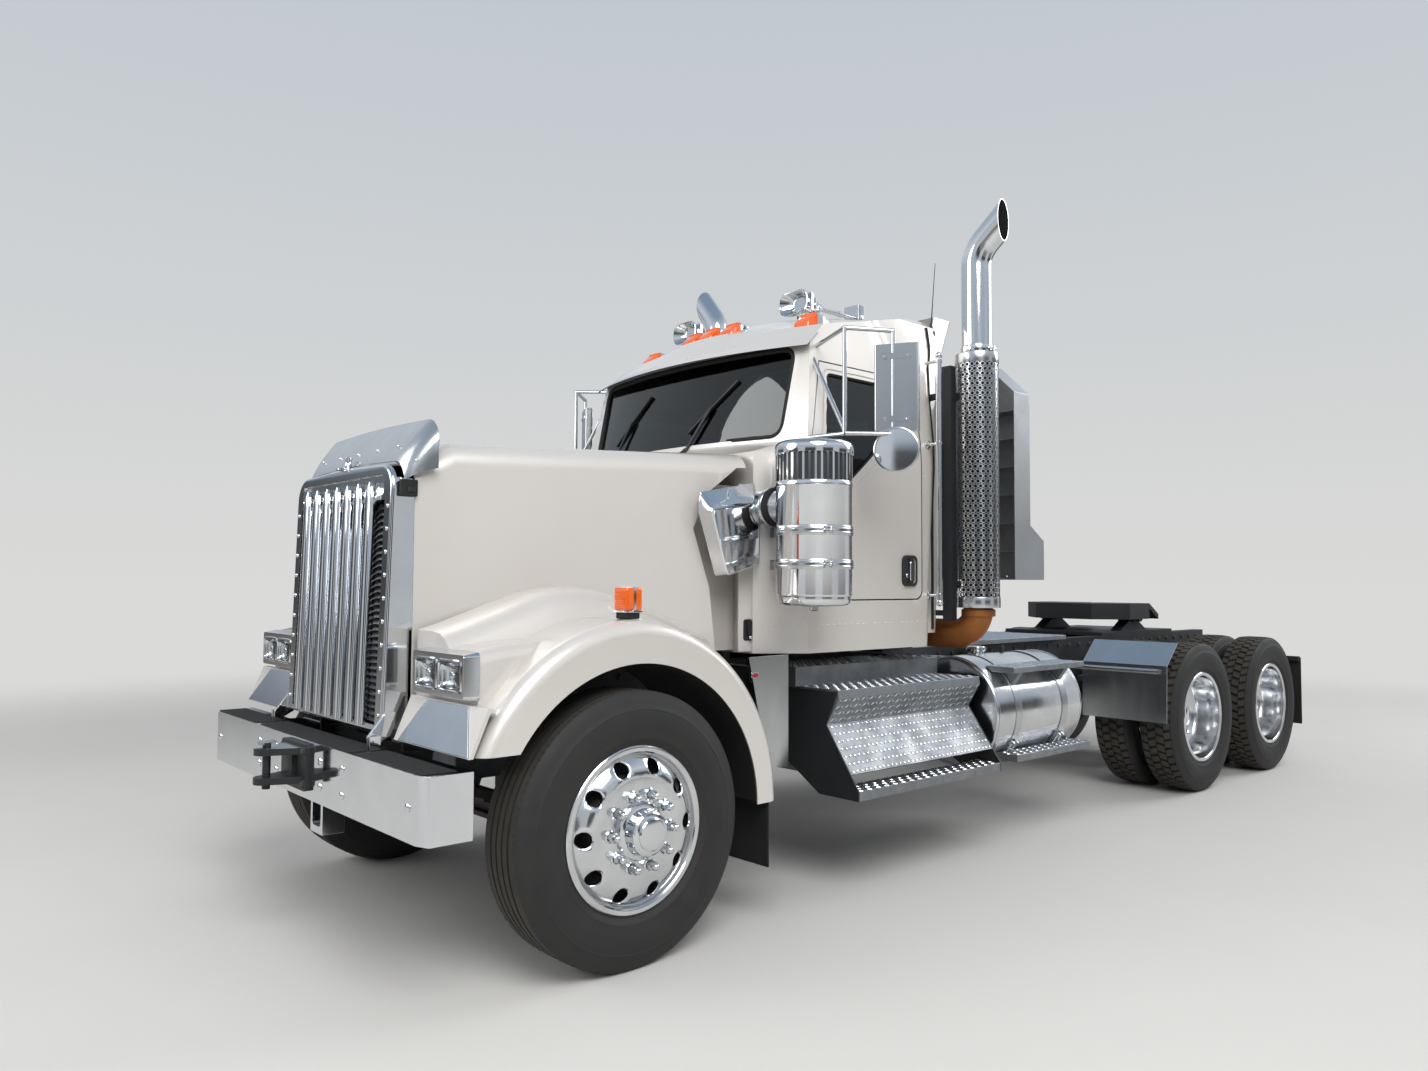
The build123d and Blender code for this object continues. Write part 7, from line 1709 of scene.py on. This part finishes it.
class OBJECT_OT_tractor_roof(bpy.types.Operator):
    """Makes the markers, horns, mirrors, grab rails and antenna"""

    bl_idname = "tractor.roof"
    bl_label = "Roof and mirrors"

    def execute(self, context):
        self.markers()
        self.horns()
        self.mirrors()
        self.rails()
        return {"FINISHED"}

    def markers(self):
        lamp = Shape()
        for x, y, z in ((ahead(-1425), 0, 2900), (ahead(-1436), 162, 2900), (ahead(-1436), -162, 2900),
                        (ahead(-1528), 662, 2878), (ahead(-1528), -662, 2878)):
            def row(dx, half, low, high):
                return [(x + dx, y - half, z + low), (x + dx, y + half, z + low),
                        (x + dx, y + half * 0.94, z + high * 0.8),
                        (x + dx, y + half * 0.72, z + high), (x + dx, y - half * 0.72, z + high),
                        (x + dx, y - half * 0.94, z + high * 0.8)]
            lamp.skin([row(62, 50, -24, 8), (row(54, 56, -24, 26)), row(20, 60, -24, 58),
                       row(-6, 61, -24, 72)],
                      "amber_acrylic")
            lamp.skin([row(-6, 61, -24, 72), row(-10, 62, -24, 78), row(-70, 60, -24, 74),
                       row(-104, 52, -24, 50),
                       row(-110, 44, -24, 30)], "chrome_plate")
            for dx in (-8, -2, 4):
                lamp.skin([row(dx, 62.5, -24, 76), row(dx + 2.5, 62.5, -24, 75)], "amber_acrylic")
        lamp.done("roof_markers", "chassis", "amber_lens", ("roof_lamps",), crease=28)

    def horns(self):
        horn = Shape()
        y0, z0 = 470, 3068
        rings = []
        for t in range(13):
            s = t / 12
            x = ahead(-1612) - 190 * s
            flare = (1 - s) ** 2.2
            wide, high = 44 + 161 * flare, 44 + 82 * flare
            rings.append([(x, y0 + py, z0 + 6 * s + pz) for py,
                          pz in rounded(wide, high, min(wide, high) * 0.42, 5)])
        lip = [[(ahead(-1612) + dx, y0 + py, z0 + pz) for py, pz in rounded(205 + g, 126 + g, 52, 5)]
               for dx, g in ((-6, 0), (-5, 8), (2, 8), (3, 2), (-1, -6))]
        inner = [[(ahead(-1612) - 120 * s, y0 + py, z0 + 6 * s + pz) for py, pz in
                  rounded(40 + 159 * (1 - s) ** 2.2, 40 + 80 * (1 - s) ** 2.2, 17 + 34 * (1 - s) ** 2.2, 5)]
                 for s in (0, 0.3, 0.6, 0.9)]
        horn.skin(rings, "chrome_plate", caps=False)
        horn.skin(lip, "chrome_plate", caps=False)
        horn.skin([lip[-1]] + inner, "chrome_plate", caps=False)
        # near-black cap deep in the bell: painted shade in the horn's throat
        horn.skin(inner[-1:] + [[(p[0] - 2, y0 + (p[1] - y0) * 0.1,
                                  z0 + (p[2] - z0) * 0.1) for p in inner[-1]]], "soot_and_painted_shade",
                  caps=False)
        horn.tube([(ahead(-1795), y0, z0 + 6), (ahead(-2134), y0, z0 + 6)], 13, "chrome_plate", 20)
        for x, r in ((ahead(-1800), 27), (ahead(-1990), 17), (ahead(-2126), 22)):
            horn.lathe([(13, 0), (r, 2), (r, 20), (13, 22)], "chrome_plate",
                       facing((x, y0, z0 + 6), (-1, 0, 0)), 24)
        horn.lathe([(20, 0), (52, 2), (56, 8), (56, 40), (52, 46), (0, 48)], "chrome_plate",
                   facing((ahead(-2112), y0, z0 + 2), (-1, 0, 0)), 36)
        horn.both_sides()
        horn.done("horn_set", "chassis", "chrome_trim", crease=45)
        softened("horn_stands", ["air_horns"], "chassis", "chrome_trim", only("chrome_plate"), bevel=1.5)

    def mirrors(self):
        softened("mirror_frames", ["mirrors"], "chassis", "chrome_trim", only("stainless_sheet"), bevel=1.5)
        back = HEAD.to_3x3() @ Vector((0, 1, 0))
        head = Shape()
        for low, high in ((8, 288), (298, 418)):  # flat glass above a wide-angle one
            at = facing(HEAD @ Vector((0, 43.5, (low + high) / 2)), back)
            head.plate(rounded(204, high - low, 14, 4), 3, "black_rubber", at)
            head.plate(rounded(190, high - low - 14, 9, 4), 4.5, "silvered", at, bevel=1)
        for z in (60, 366):  # strap and bolts on the case's front
            at = facing(HEAD @ Vector((0, 0.5, z)), -back)
            head.plate(rounded(150, 30, 8), 4, "stainless_sheet", at, bevel=1)
            for dx in (-55, 55):
                head.lathe([(9, 3), (9, 8), (6, 10), (0, 10)], "chrome_plate",
                           at @ Matrix.Translation((dx, 0, 0)), 6)
        spot = facing((ahead(-1440), 1318, 2148), back)
        head.lathe([(109, -3), (111, 0), (111, 5), (106, 8), (101, 8)], "stainless_sheet",
                   spot @ Matrix.Rotation(pi, 4, "X"),
                   40)
        head.lathe([(103, 5), (60, 8), (0, 9)], "silvered", spot @ Matrix.Rotation(pi, 4, "X"), 40)
        head.both_sides()
        head.done("mirror_glasses", "chassis", "chrome_trim")

    def rails(self):
        rail = Shape()
        x, y = ahead(-2200), 1022
        rail.tube([(x, y, 1392), (x, y, 2778)], 16, "chrome_plate", 20)
        for z in (1400, 2770):
            rail.ball((x, y, z), 21, "chrome_plate", 20)
        for z in (1440, 2280, 2740):
            rail.lathe([(16, 0), (20, 2), (20, 20), (16, 22)], "chrome_plate",
                       Matrix.Translation((x, y, z - 11)), 24)
            rail.tube([(x, y, z), (x, 930, z)], 9, "chrome_plate", 12)
            rail.lathe([(9, 0), (22, 0), (22, 4), (14, 8), (9, 10)], "chrome_plate",
                       facing((x, 946 if z < 2200 else 946 - (z - 2285) * 0.155, z), (0, 1, 0)), 20)
        rail.both_sides()
        rail.done("grab_bars", "chassis", "chrome_trim", ("grab_rails",), crease=40)
        aerial = Shape()
        foot = Vector((ahead(-2440), 800, 2975))
        aerial.lathe([(24, -12), (24, 6), (16, 14), (9, 40), (6, 60)], "black_abs",
                     Matrix.Translation(foot), 16)
        aerial.tube([foot + Vector((0, 0, 55)), foot + Vector((-8, 6, 200)), foot + Vector((-22, 14, 420))],
                    [4, 2.6, 1.8], "black_abs", 8)
        aerial.done("whip_antenna", "chassis", "black_plastic")


class OBJECT_OT_tractor_frame(bpy.types.Operator):
    """Makes the plain steelwork, the coupling, the frame's bolts and the tail lamps"""

    bl_idname = "tractor.frame"
    bl_label = "Frame and coupling"

    def execute(self, context):
        for name, nodes, body, slot, finish_name, bevel in PLAIN:
            softened(name, nodes, body, slot, only(finish_name), bevel=bevel)
        self.bolts()
        self.coupling()
        self.tail()
        return {"FINISHED"}

    def bolts(self):
        places = []
        for side in (1, -1):
            for x in range(-3850, 3400, 150):
                for z in (880, 1050):
                    places.append(((x, side * 432, z), (0, side, 0), (1, 0, 0)))
            for x in (-2160, -3480, -2820):
                for dx in (-110, 0, 110):
                    places.append(((x + dx, side * 432, 965), (0, side, 0), (1, 0, 0)))
        spread_units("frame_bolts", places, hex_bolt(13, 12), "cast_iron", "chassis", "frame_black")
        rivets = []
        for side in (1, -1):
            for k in range(11):
                rivets.append(((ahead(-2912) + 168, side * 452, 1600 + k * 110), (1, 0, 0), (0, 0, 1)))
        for k in range(12):
            rivets.append(((ahead(-2912) + 168, -1100 + k * 200, 1548), (1, 0, 0), (0, 0, 1)))
        spread_units("guard_rivets", rivets, rivet(7, 4), "mill_aluminium", "chassis", "bare_aluminium")

    def coupling(self):
        jaw = Shape()
        x = ahead(-5800)
        jaw.lathe([(27, 0), (58, 0), (60, -4), (60, -26), (27, -30)], "cast_iron",
                  Matrix.Translation((x, 0, 1316)), 32)
        jaw.tube([(x + 40, -60, 1296), (x + 60, -300, 1290), (x + 60, -430, 1290)], 10, "cast_iron", 10)
        jaw.lathe([(10, 0), (16, 4), (16, 26), (8, 30), (0, 30)], "red_acrylic",
                  facing((x + 60, -425, 1290), (0, -1, 0)), 12)
        for side in (1, -1):
            jaw.lathe([(40, 0), (40, 26), (34, 30), (0, 30)], "cast_iron",
                      facing((x, side * 425, 1238), (0, side, 0)), 24)
        jaw.done("coupling_jaw", "fifth_plate", "frame_black")

    def tail(self):
        find = skin_finder("frame_rails")
        lamp = Shape()
        for y in (210, 318):
            place, _ = find((-4400, y, 965), (1, 0, 0))
            if place is None:
                continue
            at = facing(place, (-1, 0, 0))
            lamp.lathe([(50, -2), (52, 0), (52, 5), (48, 8), (46, 8)], "black_rubber", at, 28)
            lamp.lathe([(46, 6), (44, 11), (34, 14), (0, 15)], "red_acrylic", at, 28)
        lamp.both_sides()
        lamp.done("tail_lamps", "chassis", "amber_lens")


# Stage

# the camera that took the photograph: place, direction, roll and focal length in pixels
EYE = (5.5036, 4.3317, 1.5056)
GAZE = (-0.66759, -0.74310, 0.04612)
ROLL = radians(0.3207)
FOCAL_PIXELS, PHOTO_WIDTH, SENSOR = 1010.7, 1428, 36.0
FLOOR_REACH = 60.0
# the floor passes into the backdrop between these distances from the truck's middle
FADE_NEAR, FADE_FAR = 5.5, 14.0
# lamps: name, share of the key's power, size, place, aim
LAMPS = (("key", 1.0, 7.0, (6.0, 7.5, 8.5), (1.0, 0.5, 1.2)),
         ("rim", 0.5, 6.0, (-9.0, 4.0, 7.0), (-1.5, 0.0, 1.0)),
         ("nose", 0.35, 5.0, (10.0, -3.0, 5.0), (3.5, 0.0, 1.2)))
# what polished metal mirrors, from the floor to overhead: share of the height, colour
HALL = ((0.0, "8E8C88"), (0.1, "4A4A4B"), (0.2, "55585C"), (0.3, "AEB9C6"), (0.55, "DCE3EA"), (1.0, "8FA3BA"))


class TractorStudio(bpy.types.PropertyGroup):
    """Light and floor of the studio."""

    key: bpy.props.FloatProperty(name="Key light", description="Power of the large soft lamp",
                                 subtype="POWER", default=950, min=0)
    fill: bpy.props.FloatProperty(name="Sky fill", description="Strength of the even light all round",
                                  default=0.5, min=0, max=2)
    floor: bpy.props.FloatVectorProperty(name="Floor", description="Colour of the pale floor",
                                         subtype="COLOR", size=4, min=0, max=1,
                                         default=colour("C9C8C5"))


class OBJECT_OT_tractor_stage(bpy.types.Operator):
    """Makes the floor, the soft lights, the pale background and the camera"""

    bl_idname = "tractor.stage"
    bl_label = "Studio and camera"

    def fade(self, material):
        """Lets the floor pass into the backdrop far from the truck."""
        tree = material.node_tree
        place = put(tree, "ShaderNodeTexCoord").outputs["Object"]
        far = put(tree, "ShaderNodeVectorMath", {0: place}, operation="LENGTH").outputs["Value"]
        share = put(tree, "ShaderNodeMapRange", {"Value": far, "From Min": FADE_NEAR, "From Max": FADE_FAR},
                    interpolation_type="SMOOTHSTEP").outputs["Result"]
        clear = put(tree, "ShaderNodeBsdfTransparent")
        both = put(tree, "ShaderNodeMixShader", {0: share, 1: tree.nodes["Principled BSDF"].outputs[0],
                                                 2: clear.outputs[0]})
        end = next(n for n in tree.nodes if n.bl_idname == "ShaderNodeOutputMaterial")
        tree.links.new(both.outputs[0], end.inputs["Surface"])

    def execute(self, context):
        look = context.scene.tractor_studio
        mesh = bpy.data.meshes.new("floor")
        reach = FLOOR_REACH
        mesh.from_pydata([(-reach, -reach, -0.001), (reach, -reach, -0.001), (reach, reach, -0.001),
                          (-reach, reach, -0.001)], [], [(0, 1, 2, 3)])
        floor = bpy.data.objects.new("floor", mesh)
        context.scene.collection.objects.link(floor)
        concrete = finish("pale_floor", "C9C8C5", 0.75, worn="C4C3C0", spread=1500, grain=12,
                          bump=0.05)
        recolour(concrete, tuple(look.floor), 0.97)
        self.fade(concrete)
        mesh.materials.append(concrete)
        world = bpy.data.worlds.new("studio")
        context.scene.world = world
        world.use_nodes = True
        tree = world.node_tree
        tree.nodes.clear()
        path = put(tree, "ShaderNodeLightPath").outputs
        seen = put(tree, "ShaderNodeMath", {0: path["Is Camera Ray"], 1: path["Is Glossy Ray"]},
                   operation="MAXIMUM")
        seen = put(tree, "ShaderNodeMath", {0: seen.outputs[0], 1: path["Is Transmission Ray"]},
                   operation="MAXIMUM")
        heading = put(tree, "ShaderNodeTexCoord").outputs["Generated"]
        height = put(tree, "ShaderNodeSeparateXYZ", {"Vector": heading}).outputs["Z"]
        ramp = put(tree, "ShaderNodeMapRange", {"Value": height, "From Min": 0.0, "From Max": 0.75})
        sky = put(tree, "ShaderNodeMix", {"Factor": ramp.outputs["Result"], "A": colour("DADAD8"),
                                          "B": colour("B4BFCB")}, data_type="RGBA")
        # what polished metal mirrors: a dark hall wall low down, a soft ceiling above
        wall = put(tree, "ShaderNodeValToRGB", {"Fac": put(tree, "ShaderNodeMapRange", {
            "Value": height, "From Min": -0.1, "From Max": 0.9}).outputs["Result"]})
        elements = wall.color_ramp.elements
        while len(elements) < len(HALL):
            elements.new(1.0)
        for stop, (place, shade) in zip(elements, HALL):
            stop.position = place
            stop.color = colour(shade)
        # upright bright panels round the hall, which draw streaks on round chrome
        parts = put(tree, "ShaderNodeSeparateXYZ", {"Vector": heading}).outputs
        angle = put(tree, "ShaderNodeMath", {0: parts["Y"], 1: parts["X"]}, operation="ARCTAN2").outputs[0]
        wave = put(tree, "ShaderNodeMath", {0: put(tree, "ShaderNodeMath", {
            0: angle, 1: 7.0, 2: 0.8}, operation="MULTIPLY_ADD").outputs[0]}, operation="SINE").outputs[0]
        panel = put(tree, "ShaderNodeMapRange", {"Value": wave, "From Min": 0.1, "From Max": 0.45,
                                                 "To Max": 0.8}, interpolation_type="SMOOTHSTEP")
        low = put(tree, "ShaderNodeMapRange", {"Value": height, "From Min": 0.3, "From Max": 0.15})
        panel = put(tree, "ShaderNodeMath", {0: panel.outputs["Result"], 1: low.outputs["Result"]},
                    operation="MULTIPLY").outputs[0]
        hall = put(tree, "ShaderNodeMix",
                   {"Factor": panel, "A": wall.outputs["Color"], "B": colour("D9DEE3")},
                   data_type="RGBA")
        mirrored = put(tree, "ShaderNodeMix", {"Factor": path["Is Camera Ray"], "A": hall.outputs["Result"],
                                               "B": sky.outputs["Result"]}, data_type="RGBA")
        show = put(tree, "ShaderNodeBackground", {"Color": mirrored.outputs["Result"], "Strength": 1.0})
        light = put(tree, "ShaderNodeBackground", {"Color": colour("F3F4F6"), "Strength": look.fill})
        both = put(tree, "ShaderNodeMixShader", {0: seen.outputs[0], 1: light.outputs[0],
                                                 2: show.outputs[0]})
        put(tree, "ShaderNodeOutputWorld", {"Surface": both.outputs[0]})
        for name, share, size, spot, aim in LAMPS:
            lamp = bpy.data.lights.new(name, "AREA")
            lamp.energy, lamp.size, lamp.shape = look.key * share, size, "DISK"
            lit = bpy.data.objects.new(name, lamp)
            context.scene.collection.objects.link(lit)
            lit.location = spot
            lit.rotation_mode = "QUATERNION"
            lit.rotation_quaternion = (Vector(aim) - Vector(spot)).to_track_quat("-Z", "Y")
        ahead_dir = Vector(GAZE).normalized()
        right = ahead_dir.cross(Vector((0, 0, 1))).normalized()
        up = right.cross(ahead_dir)
        across = right * cos(ROLL) + up * sin(ROLL)
        rise = up * cos(ROLL) - right * sin(ROLL)
        camera = bpy.data.cameras.new("camera")
        camera.sensor_width, camera.sensor_fit = SENSOR, "HORIZONTAL"
        camera.lens = SENSOR * FOCAL_PIXELS / PHOTO_WIDTH
        camera.clip_end = 300.0
        eye = bpy.data.objects.new("camera", camera)
        context.scene.collection.objects.link(eye)
        eye.matrix_world = Matrix.Translation(EYE) @ Matrix(
            (across, rise, -ahead_dir)).transposed().to_4x4()
        context.scene.camera = eye
        context.scene.view_settings.view_transform = "Standard"
        return {"FINISHED"}


class OBJECT_OT_tractor_finishes(bpy.types.Operator):
    """Makes the finishes and puts them on the CAD parts"""

    bl_idname = "tractor.finishes"
    bl_label = "Finishes"

    def execute(self, context):
        make_finishes(context.scene.tractor_colours)
        clothe_nodes()
        TREES.update(repeat=repeat_tree(), ring=ring_tree())
        return {"FINISHED"}


class VIEW3D_PT_tractor(bpy.types.Panel):
    """Lists the tractor's steps and choices"""

    bl_label = "Tractor unit"
    bl_space_type = "VIEW_3D"
    bl_region_type = "UI"
    bl_category = "Tractor"

    def draw(self, context):
        for step in STEPS:
            self.layout.operator(step.bl_idname)
        for group, name in GROUPS:
            choices = getattr(context.scene, name)
            box = self.layout.box()
            for key in group.__annotations__:
                box.prop(choices, key)


GROUPS = [(TractorColours, "tractor_colours"), (TractorWheels, "tractor_wheels"),
          (TractorFront, "tractor_front"),
          (TractorFittings, "tractor_fittings"), (TractorCabin, "tractor_cabin"),
          (TractorStudio, "tractor_studio")]
STEPS = [OBJECT_OT_tractor_finishes, OBJECT_OT_tractor_wheels, OBJECT_OT_tractor_body,
         OBJECT_OT_tractor_front,
         OBJECT_OT_tractor_stacks, OBJECT_OT_tractor_cleaners, OBJECT_OT_tractor_steps,
         OBJECT_OT_tractor_cabin,
         OBJECT_OT_tractor_roof, OBJECT_OT_tractor_frame, OBJECT_OT_tractor_stage]


def register():
    for group, name in GROUPS:
        bpy.utils.register_class(group)
        setattr(bpy.types.Scene, name, bpy.props.PointerProperty(type=group))
    for step in STEPS:
        bpy.utils.register_class(step)
    bpy.utils.register_class(VIEW3D_PT_tractor)


def unregister():
    bpy.utils.unregister_class(VIEW3D_PT_tractor)
    for step in reversed(STEPS):
        bpy.utils.unregister_class(step)
    for group, name in reversed(GROUPS):
        delattr(bpy.types.Scene, name)
        bpy.utils.unregister_class(group)


def main():
    register()
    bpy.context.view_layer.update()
    for step in STEPS:
        kind, name = step.bl_idname.split(".")
        getattr(getattr(bpy.ops, kind), name)()


if __name__ == "__main__":
    main()
